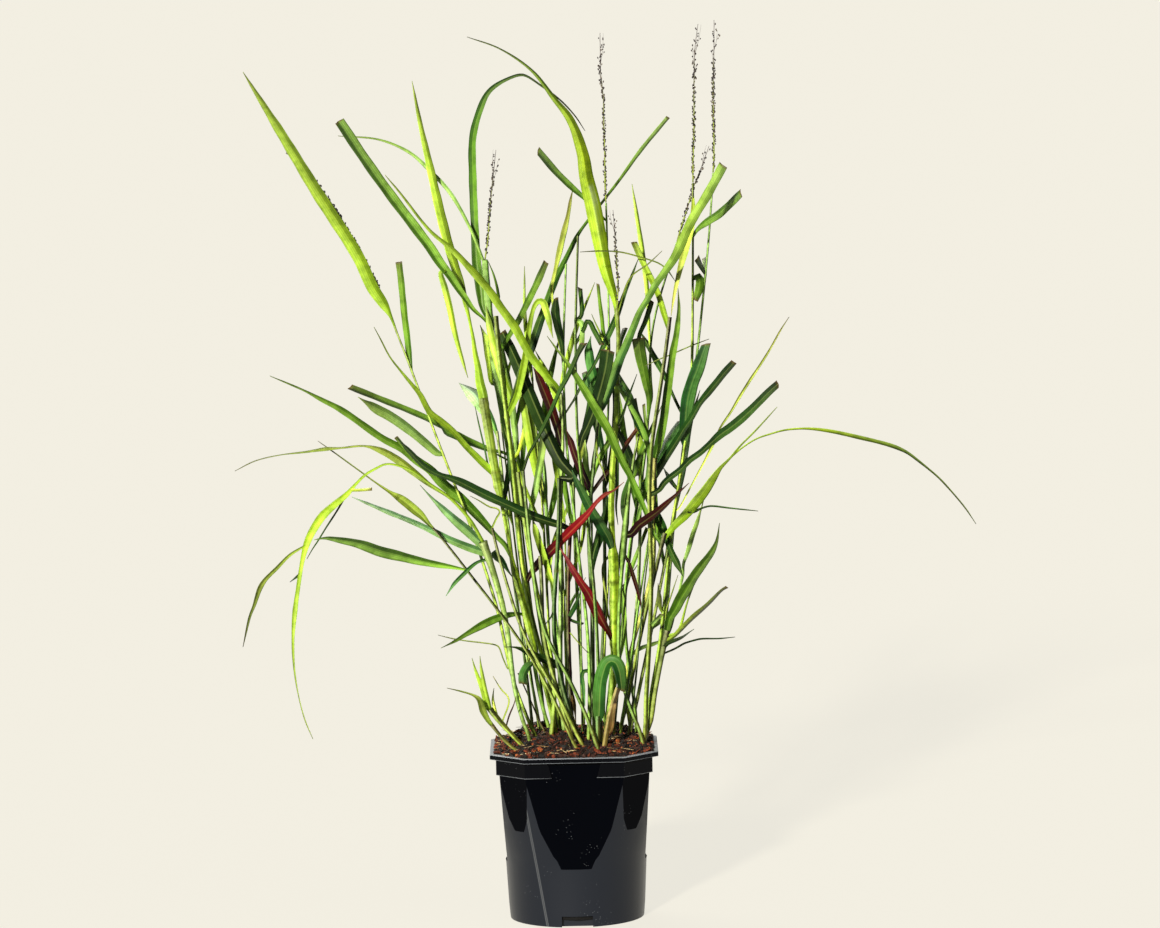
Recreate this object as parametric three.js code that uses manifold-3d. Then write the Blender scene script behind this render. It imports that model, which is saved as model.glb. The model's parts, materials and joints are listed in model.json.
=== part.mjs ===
// A clump of switchgrass (Panicum virgatum) in a square-shouldered 17 cm nursery pot.
// Millimetres, +Z up, -Y to the front. The origin is the middle of the pot's underside.
import * as THREE from 'three';
import { mergeVertices } from 'three/addons/utils/BufferGeometryUtils.js';
import Module from 'manifold-3d';

const wasm = await Module();
wasm.setup();

// ---------------------------------------------------------------- driving sizes
const pot = {
  height: 173,
  lip: { flat: 84, corner: 94.8, depth: 5 }, // half sizes across the flats and across the cut corners
  collar: { flat: 78, corner: 90, depth: 16, notch: 22, notchSlant: 5 },
  bore: { flat: 76.2, corner: 88.5, depth: 21 },
  wall: 1.8,
  // radius and height
  profile: [[67.4, 0], [68.6, 14], [70.8, 57], [72.6, 68], [79.7, 97], [85.2, 126], [90, 152], [90.5, 169]],
  flatFacet: { foot: 59, footIn: 69.3, topIn: 74.8 },
  cornerFacet: { foot: 96, footIn: 79, topIn: 87.4 },
  foot: { recess: 5, ring: 10.5, boss: 34, notches: 2, notchWide: 31, notchHigh: 11, notchDeep: 7.5 },
  drains: { count: 4, at: 45, radius: 5 },
};
const potSegments = 40;
const soil = { edge: 168, crown: 184, gap: 0.35, rings: 5, segments: 16 };
const stemFoot = { height: 138, reach: 66, inset: 8, mostRight: 63, easeFrom: 190 }; // where the stems stand
const bladeThickness = 0.7;
const bladeTip = 1.2;
const reachScale = 2.2; // how much further the blades run before and behind the clump than they are noted
const bladeTurn = 24; // degrees that a blade is turned about its own length
const stemSides = 5;
const headGap = 0.45; // a seed head stands this far above the stem that carries it
const headStem = 1.3; // thickness of a seed head's branch
const headBead = 1.15; // half thickness of a spikelet
const clearance = 2.1; // least room between two plants where they cross
const crossingMargin = 2.2;
const recheckEvery = 200;
const tight = 1.5;
const walkStep = 6;
const headStep = 10.5;
const shapeTolerance = 1.8;
const mergeTolerance = 0.1;

// ---------------------------------------------------------------- front elevation
// Stems and blades are set out on a front elevation drawn from eye height: across is measured to the right
// and up is measured above the table, both in the upright plane through the pot. A drawn point is carried
// along its line of sight to its own depth, so depths can change while the front view stays as drawn.
const eye = { aim: new THREE.Vector3(12, 0, 457), up: 464, distance: 5299, tilt: 6, roll: 1.2 };
const tilt = THREE.MathUtils.degToRad(eye.tilt);
const roll = THREE.MathUtils.degToRad(eye.roll);
const forward = new THREE.Vector3(0, Math.cos(tilt), -Math.sin(tilt));
const levelUp = new THREE.Vector3(0, Math.sin(tilt), Math.cos(tilt));
const sheetUp = levelUp.clone().multiplyScalar(Math.cos(roll)).add(new THREE.Vector3(Math.sin(roll), 0, 0));
const sheetRight = new THREE.Vector3(Math.cos(roll), 0, 0).addScaledVector(levelUp, -Math.sin(roll));
const eyePoint = eye.aim.clone().addScaledVector(forward, -eye.distance);

function sightLine(across, up) {
  return forward.clone().multiplyScalar(eye.distance)
    .addScaledVector(sheetRight, across)
    .addScaledVector(sheetUp, up - eye.up);
}

function at(across, up, depth) {
  const line = sightLine(across, up);
  return eyePoint.clone().addScaledVector(line, (depth - eyePoint.y) / line.y);
}

// ---------------------------------------------------------------- seeded draws
let seed = 20417;

function draw() {
  seed = (seed * 16807) % 2147483647;
  return seed / 2147483647;
}

// ---------------------------------------------------------------- the plants
// leaf(height where it leaves the stem, how far its end stands behind (+) or before (-) its root, end,
//   course of [across, up, width], index of the leaf it grows from when that is not the stem)
function leaf(from, reach, end, course, on = -1) {
  return { from, reach, end, course, on };
}

// stem(name, colour, [depth of the foot, depth of the top], [[up, thickness], ...],
//   course from the soil up, leaves)
function stem(name, colour, depths, thickness, course, leaves) {
  return { name, colour, depths, thickness, course, leaves };
}

// head(name, stem that carries it, how far its tip stands behind (+) the stem's top, course of its axis,
//   [[where a side branch leaves the axis, where it ends], ...] as shares of the axis)
function head(name, carrier, reach, course, branches) {
  return { name, carrier, reach, course, branches };
}

const colours = {
  bright: 0xa6d12c, light: 0xa9d66a, green: 0x4f8a1e, dark: 0x1f4a2a, blue: 0x3f8f4a, yellow: 0xc6cf4a,
  olive: 0x7d8a3a, purple: 0x3a2430, tan: 0xb08a55, seed: 0x4b3440,
};

const plants = [
  stem('culm_01', 'green', [0, -30], [[180, 4], [611, 2]],
    [[-43, 187], [-50, 205], [-58, 222], [-65, 238], [-70, 256], [-74, 275], [-78, 300], [-80, 312],
      [-85, 328], [-92, 350], [-98, 368], [-104, 387], [-111, 407], [-119, 428], [-128, 451],
      [-137, 472], [-147, 499], [-157, 530], [-170, 560], [-180, 589], [-190, 613]], [
    leaf(598, -70, 'tip', [[-189, 611, 3], [-197, 625, 10], [-207, 640, 12], [-222, 672, 12],
      [-262, 735, 12], [-300, 797, 9], [-337, 856]]),
    leaf(559, 26, 'cut', [[-171, 560, 4], [-171, 575, 6], [-172.5, 590], [-175, 610, 6.5],
      [-177, 630], [-179, 650], [-181, 666]]),
    leaf(471, -48, 'tip', [[-138, 471, 4], [-143, 475, 7], [-150, 481, 8], [-170, 498, 9],
      [-190, 512, 10], [-205, 520, 9], [-222, 531, 3]]),
    leaf(262, 30, 'tip', [[-71, 258, 1.5], [-77, 270], [-81, 281], [-84, 283], [-95, 285],
      [-112, 287], [-125, 289], [-142, 293]]),
  ]),
  stem('culm_02', 'light', [-15, -60], [[190, 4], [330, 6], [386, 8]],
    [[-51, 190], [-57, 205], [-64, 224], [-67, 245], [-69, 262], [-70, 285], [-73, 305], [-76, 318],
      [-80, 335], [-86, 355], [-92, 373], [-97, 386]], [
    leaf(380, 24, 'tip', [[-110, 395, 10], [-125, 408, 9], [-138, 420, 6], [-150, 432, 2],
      [-160, 443]]),
    leaf(375, 60, 'tip', [[-110, 380, 8], [-130, 388, 7], [-150, 398], [-170, 407, 5],
      [-190, 415, 5], [-228, 431, 2]]),
    leaf(367, -26, 'tip', [[-102, 366, 3], [-110, 360, 4], [-117, 353, 4], [-125, 345, 4],
      [-134, 332]]),
    leaf(384, 66, 'tip', [[-110, 408, 3], [-130, 430, 3], [-150, 443, 4], [-165, 455, 7],
      [-185, 470, 8], [-200, 478, 6], [-215, 482, 2], [-240, 480, 2], [-255, 479, 4], [-275, 476, 2],
      [-300, 473, 1], [-325, 467], [-345, 457]]),
    leaf(385, -84, 'tip', [[-110, 408, 3.5], [-130, 430], [-150, 444], [-170, 458],
      [-193, 464, 2], [-205, 459], [-215, 453], [-225, 443, 3], [-233, 434, 5], [-245, 424, 7],
      [-257, 413, 8], [-266, 400, 8], [-272, 388, 7], [-276, 375, 5], [-279, 360, 4], [-282, 340, 4],
      [-285, 318, 5], [-287, 290, 3], [-286, 262], [-282, 235, 1], [-275, 208], [-267, 189]]),
    leaf(0, 24, 'tip', [[-276, 384, 2], [-290, 373, 3], [-303, 360], [-315, 348, 4],
      [-320, 340, 5], [-326, 322, 3], [-330, 312], [-337, 281]], 4),
    leaf(0, 24, 'tip', [[-233, 431, 2], [-243, 417], [-254, 400], [-262, 387], [-268, 378],
      [-273, 369]], 4),
    leaf(0, 8, 'tip', [[-283, 355, 3], [-290, 346]], 4),
    leaf(0, -10, 'cut', [[-228, 435, 3], [-220, 438], [-208, 439]], 4),
  ]),
  stem('culm_03', 'olive', [-62, -40], [[171, 3.5], [400, 2.5]],
    [[0, 171], [-8, 188], [-15, 204], [-23, 223], [-31, 240], [-38, 252], [-46, 266], [-54, 279],
      [-64, 293], [-73, 306], [-86, 324], [-100, 341], [-113, 357], [-127, 376], [-140, 394],
      [-147, 400]], [
    leaf(398, 44, 'tip', [[-146, 398], [-152, 405, 4], [-158, 412, 7], [-165, 418, 9],
      [-172, 424, 9], [-180, 430, 8], [-190, 436, 3], [-205, 446, 1.5], [-216, 454], [-245, 475],
      [-262, 487]]),
    leaf(357, -52, 'tip', [[-115, 357, 2], [-128, 361, 4], [-140, 363, 6], [-160, 367, 8],
      [-180, 372, 10], [-200, 377, 11], [-220, 384, 9], [-240, 388, 6], [-255, 390], [-266, 388]]),
    leaf(268, -14, 'cut', [[-52, 262, 8], [-57, 253, 8], [-57, 244]]),
  ]),
  stem('culm_04', 'olive', [-50, -35], [[178, 4], [400, 3]],
    [[4, 178], [-5, 195], [-12, 215], [-21, 232], [-30, 247], [-38, 258], [-53, 285], [-57, 295],
      [-62, 308], [-66, 318], [-70, 337], [-76, 352], [-80, 366], [-84, 382], [-88, 400]], [
    leaf(398, 12, 'tip', [[-84, 409, 2], [-80, 418], [-90, 421], [-102, 428], [-110, 432]]),
    leaf(376, 14, 'tip', [[-87, 376, 4], [-82, 370, 8], [-78, 366], [-74, 360], [-67, 350]]),
  ]),
  stem('culm_05', 'bright', [5, 10], [[186, 5], [280, 5], [300, 8], [350, 8], [372, 4],
    [425, 4], [440, 9], [530, 10]],
    [[-23, 186], [-26, 202], [-29, 218], [-33, 238], [-37, 252], [-43, 268], [-47, 282], [-50, 296],
      [-53, 312], [-57, 326], [-61, 342], [-66, 357], [-69, 368], [-71, 385], [-73, 400], [-77, 420],
      [-81, 435], [-85, 455], [-88, 475], [-90, 490], [-93, 508], [-97, 530]], [
    leaf(373, -66, 'tip', [[-75, 383, 5], [-85, 393, 5], [-93, 402, 7], [-104, 414, 9],
      [-118, 428, 10], [-138, 445, 10], [-150, 458, 9], [-163, 467], [-180, 480, 7], [-197, 489, 7],
      [-239, 518, 6], [-260, 529, 4], [-275, 537, 2], [-310, 552]]),
    leaf(0, -14, 'cut', [[-150, 458, 6], [-158, 463, 6], [-167, 470, 6], [-175, 480, 4],
      [-184, 491]], 0),
    leaf(526, 60, 'tip', [[-97, 533, 9.5], [-100, 545, 9], [-102, 560, 6.5], [-105, 575, 5],
      [-107, 590, 3.5], [-109, 600, 3], [-111, 610, 3], [-114, 622, 4.5], [-117, 635, 6.5],
      [-120, 645, 8], [-125, 660, 9], [-131, 680, 9.5], [-140, 715, 9.5], [-150, 760, 7.5],
      [-160, 805, 4.5], [-168, 847]]),
    leaf(455, -60, 'tip', [[-95, 463, 7], [-100, 468, 7], [-107, 475], [-113, 481, 6],
      [-128, 498, 6], [-140, 508, 6], [-150, 516, 6], [-160, 534, 5], [-165, 540, 4], [-180, 558, 2],
      [-190, 571, 1.5], [-200, 590], [-206, 601]]),
    leaf(440, 16, 'tip', [[-91, 460, 2], [-95, 478], [-99, 495], [-102, 508], [-105, 522]]),
    leaf(312, -44, 'tip', [[-59, 314, 3], [-72, 313, 6], [-85, 309, 8], [-100, 302, 8],
      [-112, 295, 5], [-125, 287, 3], [-139, 280]]),
  ]),
  stem('culm_06', 'light', [25, 40], [[190, 3], [497, 3]],
    [[-38, 190], [-42, 215], [-47, 240], [-52, 265], [-58, 290], [-62, 315], [-65, 340], [-67, 365],
      [-69, 385], [-72, 405], [-75, 425], [-77, 445], [-79, 465], [-81, 485], [-83, 497]], [
    leaf(494, 34, 'tip', [[-88, 507, 6], [-97, 520, 12], [-107, 534, 14], [-117, 542, 8],
      [-121, 545]]),
  ]),
  stem('culm_07', 'dark', [35, 60], [[198, 4], [480, 5], [500, 7], [560, 8], [640, 8], [668, 6]],
    [[-31, 198], [-36, 214], [-40, 230], [-44, 250], [-46, 264], [-49, 285], [-50, 300], [-53, 330],
      [-57, 350], [-60, 370], [-62, 390], [-63, 410], [-65, 430], [-68, 450], [-70, 465], [-72, 480],
      [-74, 495], [-76, 510], [-79, 525], [-82, 540], [-84, 555], [-87, 575], [-90, 600], [-92, 625],
      [-94, 650], [-95, 668]], [
    leaf(604, -60, 'cut', [[-98, 611, 3], [-106, 618, 4], [-114, 629, 6], [-122, 640, 7],
      [-130, 652, 8], [-140, 665, 9], [-150, 680, 10], [-165, 700, 10], [-190, 733], [-215, 768],
      [-241, 807]]),
    leaf(0, -8, 'tip', [[-139, 656, 5], [-135, 640, 6.5], [-130, 620, 6.5], [-126, 600, 5.5],
      [-121, 580, 4.5], [-116, 563, 3], [-112, 550]], 0),
    leaf(610, 70, 'tip', [[-97, 620, 6], [-99, 635, 10], [-101, 650, 10], [-103, 662, 9.5],
      [-105, 700, 8], [-107, 750, 8], [-107, 790, 7.5], [-101, 815, 7], [-92, 835, 5.5], [-80, 845, 4],
      [-60, 853, 3], [-54, 852, 2.5], [-40, 843, 2], [-20, 828], [-5, 812], [5, 797]]),
    leaf(545, 30, 'tip', [[-88, 545, 4], [-90, 560, 7], [-92, 575, 8], [-95, 590, 7],
      [-100, 603, 3]]),
    leaf(628, -14, 'tip', [[-82, 628, 3], [-82, 635, 3], [-84, 645], [-87, 655], [-92, 667]]),
    leaf(660, 58, 'tip', [[-110, 700, 3], [-130, 735, 4], [-150, 757, 4], [-170, 775],
      [-200, 788, 2], [-242, 792]]),
    leaf(566, -40, 'cut', [[-85, 567, 3], [-80, 577], [-70, 594, 5], [-62, 607, 6], [-55, 621],
      [-48, 635], [-41, 650, 7], [-34, 666, 6]]),
    leaf(474, -64, 'cut', [[-78, 476, 3], [-85, 477, 4], [-95, 480, 6], [-105, 484, 7],
      [-115, 488, 8], [-125, 493, 9], [-133, 496, 7], [-133, 498, 6], [-150, 508], [-170, 517, 6],
      [-190, 525], [-230, 541]]),
    leaf(466, -30, 'tip', [[-71, 468, 2], [-78, 471], [-88, 476], [-97, 480]]),
  ]),
  stem('culm_08', 'bright', [18, 25], [[190, 4.5], [612, 5]],
    [[-17, 190], [-21, 208], [-25, 228], [-31, 248], [-37, 268], [-42, 288], [-48, 308], [-53, 330],
      [-57, 355], [-60, 385], [-63, 415], [-65, 445], [-68, 475], [-71, 500], [-75, 525], [-79, 550],
      [-81, 572], [-82, 592], [-84, 612]], [
    leaf(508, 50, 'cut', [[-69, 520, 6], [-66, 530], [-61, 545, 8], [-57, 560], [-48, 583, 9],
      [-44, 595], [-40, 607, 8], [-35, 620], [-31, 632], [-28, 640, 7], [-25, 648, 7], [-20, 658, 6],
      [-15, 668, 5], [-10, 678, 5], [-3, 692, 4], [3, 701, 3], [20, 723, 2.5], [40, 749, 3],
      [60, 777, 4], [88, 811]]),
    leaf(510, -30, 'tip', [[-64, 530, 6], [-61, 540], [-57, 558, 7], [-54, 575, 7],
      [-52, 590, 5], [-50, 605, 5], [-47, 618, 4], [-43, 626, 5], [-38, 627, 7], [-34, 618, 7],
      [-31, 608, 6], [-29, 598, 4], [-27, 590]]),
    leaf(512, 18, 'tip', [[-70, 530, 6], [-75, 545, 8], [-80, 560, 9], [-84, 575, 9], [-88, 590, 8],
      [-91, 605, 6], [-94, 622, 3]]),
    leaf(468, 24, 'tip', [[-62, 475, 3], [-59, 485], [-54, 505], [-51, 520], [-47, 500, 5],
      [-42, 470, 3], [-38, 445], [-34, 415], [-31, 390, 1.5]]),
    leaf(345, -46, 'tip', [[-50, 353, 5], [-45, 360, 8], [-38, 368, 9], [-30, 376, 10],
      [-22, 384, 9], [-14, 392, 9], [-6, 400, 9], [2, 408, 8], [10, 417, 5], [16, 425, 4], [26, 434, 4],
      [33, 437, 2], [44, 446]]),
    leaf(0, -8, 'tip', [[-52, 530, 4], [-46, 515], [-38, 503]], 3),
  ]),
  stem('culm_09', 'bright', [-12, -10], [[188, 5], [456, 4]],
    [[-29, 188], [-27, 205], [-25, 225], [-24, 245], [-26, 262], [-30, 280], [-35, 298], [-39, 315],
      [-43, 335], [-47, 355], [-51, 378], [-55, 400], [-58, 420], [-60, 438], [-62, 456]], [
  ]),
  stem('culm_10', 'green', [-60, -20], [[171, 4], [457, 3.4]],
    [[20, 171], [14, 192], [10, 206], [3, 220], [-3, 232], [-9, 246], [-15, 258], [-22, 270],
      [-31, 284], [-38, 298], [-42, 315], [-44, 335], [-46, 352], [-49, 375], [-52, 400], [-54, 425],
      [-57, 457]], [
    leaf(455, -14, 'cut', [[-52, 472, 3], [-45, 485, 3], [-38, 498, 4], [-31, 512, 4],
      [-20, 537, 4], [-13, 550, 5], [-7, 562, 5], [-2, 574, 5], [4, 585, 6]]),
  ]),
  stem('culm_11', 'olive', [-30, -30], [[186, 5], [372, 4]],
    [[-8, 186], [-13, 205], [-19, 228], [-26, 250], [-33, 270], [-38, 290], [-39, 308], [-37, 325],
      [-38, 342], [-39, 358], [-40, 372]], [
  ]),
  stem('culm_12', 'dark', [-40, -15], [[178, 5], [450, 4]],
    [[3, 178], [-6, 200], [-13, 225], [-20, 250], [-25, 272], [-28, 295], [-27, 315], [-25, 340],
      [-23, 365], [-21, 390], [-21, 410], [-21, 435], [-21, 450]], [
    leaf(448, 34, 'cut', [[-6, 450, 9], [-20, 468, 12], [-34, 496, 13], [-48, 528, 13], [-60, 558, 12],
      [-70, 580, 11], [-78, 596, 9]]),
    leaf(335, 22, 'tip', [[-27, 343, 4], [-30, 352, 5], [-33, 362, 6], [-36, 372, 6],
      [-39, 380, 7], [-42, 390, 7], [-45, 400, 6], [-48, 411, 5]]),
    leaf(320, -12, 'tip', [[-30, 309, 2], [-37, 302]]),
  ]),
  stem('culm_13', 'light', [10, -5], [[188, 6], [535, 3]],
    [[-14, 188], [-17, 210], [-20, 232], [-21, 255], [-20, 280], [-19, 305], [-19, 335], [-19, 365],
      [-20, 390], [-20, 420], [-19, 440], [-18, 460], [-17, 480], [-16, 495], [-17, 512], [-19, 535]], [
    leaf(531, -58, 'tip', [[-24, 540, 7.5], [-33, 550, 8], [-42, 562, 8], [-50, 573, 8], [-57, 585, 8],
      [-65, 600, 8.5], [-72, 610, 8.5], [-80, 621, 8], [-90, 636, 7.5], [-100, 648, 7.5],
      [-110, 659, 7], [-120, 670, 6], [-130, 680, 5], [-150, 697, 3], [-180, 735, 2], [-195, 753]]),
    leaf(482, -34, 'tip', [[-19, 485, 6], [-22, 498, 8], [-27, 514, 9], [-32, 528, 10], [-37, 540, 9],
      [-42, 552, 7], [-47, 561, 4]]),
  ]),
  stem('culm_14', 'yellow', [-35, 10], [[178, 4], [664, 2.2]],
    [[8, 178], [9, 200], [10, 225], [10, 250], [9, 275], [8, 300], [5, 325], [2, 345], [-1, 368],
      [-4, 395], [-6, 415], [-8, 435], [-11, 458], [-14, 480], [-15, 500], [-15, 525], [-17, 548],
      [-18, 572], [-16, 600], [-15, 625], [-15, 650], [-14, 664]], [
    leaf(570, 20, 'tip', [[-22, 590, 2], [-26, 615, 2], [-28, 640, 3], [-24, 660, 4],
      [-20, 678, 6], [-16, 695, 6], [-12, 712, 4], [-9, 730, 3], [-7, 739]]),
    leaf(560, -24, 'cut', [[-18, 583, 5], [-22, 600, 8], [-25, 617, 9], [-24, 630, 4]]),
    leaf(514, 34, 'tip', [[-10, 522, 2], [-5, 530], [3, 546, 3], [14, 563, 3], [19, 573, 4],
      [28, 592, 6], [37, 613, 6], [45, 636, 4], [50, 648, 3], [59, 671]]),
    leaf(259, -18, 'tip', [[4, 257, 4], [2, 253, 4], [3, 245, 4], [4, 235, 3], [5, 222]]),
  ]),
  stem('culm_15', 'purple', [-5, 5], [[184, 4.4], [405, 4]],
    [[-7, 184], [-8, 205], [-9, 230], [-10, 252], [-11, 275], [-12, 300], [-12, 330], [-12, 355],
      [-11, 375], [-10, 392], [-9, 405]], [
    leaf(400, -56, 'tip', [[-20, 403, 7], [-30, 406, 8], [-50, 413, 9], [-70, 422, 9],
      [-90, 431, 9], [-110, 441, 9], [-120, 446, 8], [-130, 450, 6], [-140, 453, 5], [-155, 461, 6],
      [-170, 476, 5], [-184, 491]]),
    leaf(254, -34, 'tip', [[-15, 258, 5], [-28, 266, 8], [-40, 271, 8], [-50, 275, 7],
      [-58, 279, 4], [-66, 281, 2], [-76, 281]]),
    leaf(308, -16, 'tip', [[-9, 312, 4], [-6, 320, 5], [-3, 327, 4], [1, 338]]),
    leaf(309, 10, 'cut', [[-5, 306, 3], [3, 304]]),
    leaf(300, -16, 'tip', [[-8, 293, 1.2], [-2, 286], [8, 275]]),
    leaf(238, -8, 'tip', [[-6, 224, 4], [-4, 205, 3]]),
  ]),
  stem('culm_16', 'dark', [-15, 15], [[178, 5], [512, 3]],
    [[16, 178], [13, 208], [12, 240], [13, 270], [13, 300], [13, 325], [11, 350], [9, 370], [7, 390],
      [8, 410], [11, 437], [14, 455], [16, 480], [17, 500], [18, 512]], [
    leaf(437, -18, 'tip', [[6, 447, 7], [2, 455, 7], [-2, 465, 8], [-6, 475, 7],
      [-10, 488, 6], [-14, 499, 3]]),
    leaf(425, 14, 'tip', [[10, 440, 6], [8, 450, 6], [6, 462, 7], [6, 475, 5], [5, 490]]),
    leaf(440, 24, 'tip', [[0, 465, 4], [2, 475, 4], [3, 485, 5], [5, 495]]),
    leaf(436, 20, 'cut', [[21, 448, 4], [29, 458]]),
    leaf(495, -14, 'tip', [[16, 487, 2], [18, 470], [24, 455], [26, 447]]),
    leaf(508, -60, 'cut', [[19, 515, 6], [24, 525, 7], [30, 540, 8], [35, 555, 9],
      [40, 570, 9], [46, 583, 8], [53, 600, 7], [60, 617, 6], [68, 630, 6], [75, 643, 7], [85, 657, 7],
      [95, 672, 9], [110, 705, 9], [128, 735, 9], [143, 763]]),
    leaf(508, 20, 'tip', [[16, 540, 8], [13, 553], [10, 568, 10], [9, 580, 8], [11, 592, 4]]),
    leaf(352, 30, 'tip', [[14, 375, 8], [19, 390, 9], [22, 402, 10], [26, 418, 6], [27, 440, 5]]),
  ]),
  stem('culm_17', 'olive', [-55, 35], [[176, 4], [692, 2.4]],
    [[22, 176], [21, 200], [19, 230], [18, 260], [18, 290], [16, 320], [14, 345], [11, 370], [9, 395],
      [6, 415], [4, 435], [1, 455], [-2, 475], [-4, 500], [-4, 530], [-4, 560], [-5, 590], [-5, 615],
      [-3, 640], [-3, 665], [-2, 692]], [
    leaf(478, -24, 'cut', [[2, 490, 7], [8, 503, 9], [14, 518, 11], [20, 538, 12], [25, 558, 13],
      [28, 578, 14]]),
    leaf(606, 14, 'cut', [[1, 612, 4.5], [0, 640]]),
    leaf(609, -12, 'cut', [[1, 606, 5], [2, 590, 5], [1, 580]]),
    leaf(585, -20, 'cut', [[3, 597, 4], [8, 608, 5], [14, 598, 5], [22, 583, 5]]),
  ]),
  stem('culm_18', 'bright', [15, 20], [[188, 6], [275, 8], [290, 11], [370, 11], [385, 7],
    [470, 6], [500, 5], [620, 4]],
    [[25, 188], [28, 205], [32, 225], [34, 245], [36, 262], [34, 280], [34, 300], [35, 325], [35, 350],
      [34, 373], [32, 380], [31, 395], [31, 425], [31, 445], [32, 465], [35, 480], [36, 500], [37, 520],
      [37, 540], [37, 560], [38, 575], [39, 590], [39, 605], [37, 620]], [
    leaf(598, 84, 'tip', [[36, 622, 5], [33, 635, 8], [28, 650, 11], [24, 665, 13], [20, 685, 14.5],
      [17, 700, 15.5], [12, 725, 16], [6, 750, 14.5], [2, 775, 12], [-10, 808, 8], [-26, 829, 5],
      [-48, 857, 3], [-80, 879, 1.5], [-113, 891]]),
    leaf(375, -30, 'tip', [[35, 376, 4], [29, 388, 8], [24, 397, 11], [18, 407, 10],
      [12, 417, 9], [6, 428, 9], [0, 440, 7], [-5, 450, 5], [-8, 458]]),
    leaf(502, 30, 'cut', [[38, 500, 5], [43, 487, 7], [48, 475, 8], [52, 466, 8], [57, 452, 7]]),
    leaf(498, -20, 'tip', [[41, 508, 3], [45, 520], [50, 535], [57, 554]]),
    leaf(468, -24, 'cut', [[40, 473, 4], [47, 485, 4], [57, 499, 4]]),
    leaf(286, -34, 'tip', [[28, 297, 5], [24, 304, 8], [20, 311, 10.5], [16, 319, 11], [12, 327, 10.5],
      [8, 335, 9], [4, 341, 8], [0, 347, 7], [-8, 360, 5.5], [-12, 367, 4.5], [-20, 380, 4]]),
    leaf(326, 20, 'tip', [[36, 333, 1.2], [42, 341], [52, 355], [60, 367]]),
    leaf(612, -26, 'tip', [[50, 650, 1.5], [68, 664], [82, 677]]),
    leaf(300, 18, 'cut', [[29, 310, 2], [26, 333], [23, 350], [23, 363], [26, 368], [30, 374]]),
    leaf(482, 10, 'tip', [[36, 475, 5], [37, 440], [36, 420], [38, 403]]),
    leaf(572, 12, 'cut', [[40, 585, 4], [45, 600, 5]]),
  ]),
  stem('culm_19', 'green', [-25, -20], [[181, 4], [360, 4], [372, 6], [408, 6], [430, 4], [494, 2.5]],
    [[66, 181], [60, 195], [54, 212], [47, 228], [41, 242], [39, 258], [38, 275], [38, 295], [39, 330],
      [41, 350], [43, 370], [45, 390], [46, 408], [48, 430], [51, 450], [53, 468], [56, 483],
      [59, 494]], [
    leaf(392, -48, 'tip', [[51, 394, 8], [58, 402, 9], [66, 408, 9], [78, 417, 7],
      [88, 426, 5], [97, 434, 3], [109, 445, 1.5]]),
    leaf(375, 22, 'tip', [[50, 363, 3], [53, 353, 4], [57, 340, 4], [61, 323, 2], [63, 312]]),
    leaf(406, 16, 'tip', [[44, 420, 7], [45, 432, 7], [49, 445, 6], [53, 463]]),
  ]),
  stem('culm_20', 'green', [45, 60], [[180, 3], [725, 2]],
    [[25, 180], [24, 210], [22, 240], [24, 270], [26, 300], [27, 330], [25, 360], [24, 400], [25, 440],
      [26, 480], [28, 520], [31, 550], [30, 580], [28, 610], [28, 640], [28, 670], [27, 700],
      [26, 725]], [
    leaf(580, -10, 'cut', [[24, 593, 4], [22, 610, 4], [20, 625], [18, 644, 3]]),
    leaf(709, -44, 'cut', [[20, 713, 3], [5, 729, 4], [-3, 736, 5.5], [-12, 744, 6.5], [-25, 757, 7],
      [-42, 777, 7]]),
  ]),
  stem('culm_21', 'light', [30, 35], [[184, 4], [686, 2]],
    [[57, 184], [57, 205], [56, 225], [52, 245], [47, 265], [43, 290], [43, 330], [46, 360], [50, 388],
      [54, 408], [58, 425], [61, 442], [64, 462], [67, 488], [70, 512], [69, 540], [69, 570], [70, 596],
      [73, 610], [80, 633], [88, 657], [97, 686]], [
    leaf(513, -16, 'cut', [[69, 530, 6], [66, 545, 8], [63, 560, 10], [60, 575, 12], [58, 590, 13]]),
    leaf(520, -24, 'cut', [[66, 545, 4], [62, 570], [59, 590, 4], [66, 608, 5], [72, 627, 5]]),
    leaf(515, 24, 'tip', [[72, 530, 2], [71, 550], [70, 580, 2], [69, 600, 3], [68, 625, 4],
      [66, 650, 5], [62, 680, 5], [57, 712, 4], [52, 744]]),
    leaf(440, -36, 'tip', [[69, 430, 8], [73, 420, 8], [77, 412, 9], [82, 402, 9], [87, 388, 6],
      [92, 375, 6], [98, 363, 7], [103, 351, 3]]),
    leaf(485, 30, 'cut', [[64, 492, 6], [60, 503, 9], [54, 518, 9], [48, 533, 9], [42, 545, 6],
      [36, 555]]),
    leaf(436, -50, 'cut', [[68, 442, 7], [76, 455, 8], [83, 466], [90, 477], [97, 488],
      [103, 498], [110, 508, 6], [120, 525, 6], [128, 535, 7], [137, 546], [145, 556, 7], [154, 566, 6]]),
    leaf(430, 46, 'cut', [[62, 438, 5], [68, 450, 6], [74, 461, 7], [80, 472, 8], [86, 484, 8],
      [93, 495, 8], [101, 507, 6]]),
    leaf(657, -24, 'tip', [[80, 664, 1.5], [60, 671], [40, 676], [20, 677], [0, 676]]),
    leaf(655, 18, 'tip', [[88, 657, 1.5], [95, 647]]),
  ]),
  stem('culm_22', 'olive', [-20, -5], [[181, 5], [611, 4]],
    [[66, 181], [64, 200], [65, 225], [68, 250], [69, 275], [70, 300], [71, 325], [72, 345], [72, 365],
      [70, 385], [69, 405], [69, 445], [69, 465], [71, 482], [74, 500], [77, 518], [80, 540], [83, 558],
      [86, 575], [88, 595], [90, 611]], [
    leaf(430, -78, 'cut', [[79, 438, 5], [84, 445, 6], [92, 452], [100, 458], [110, 468, 6],
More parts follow.
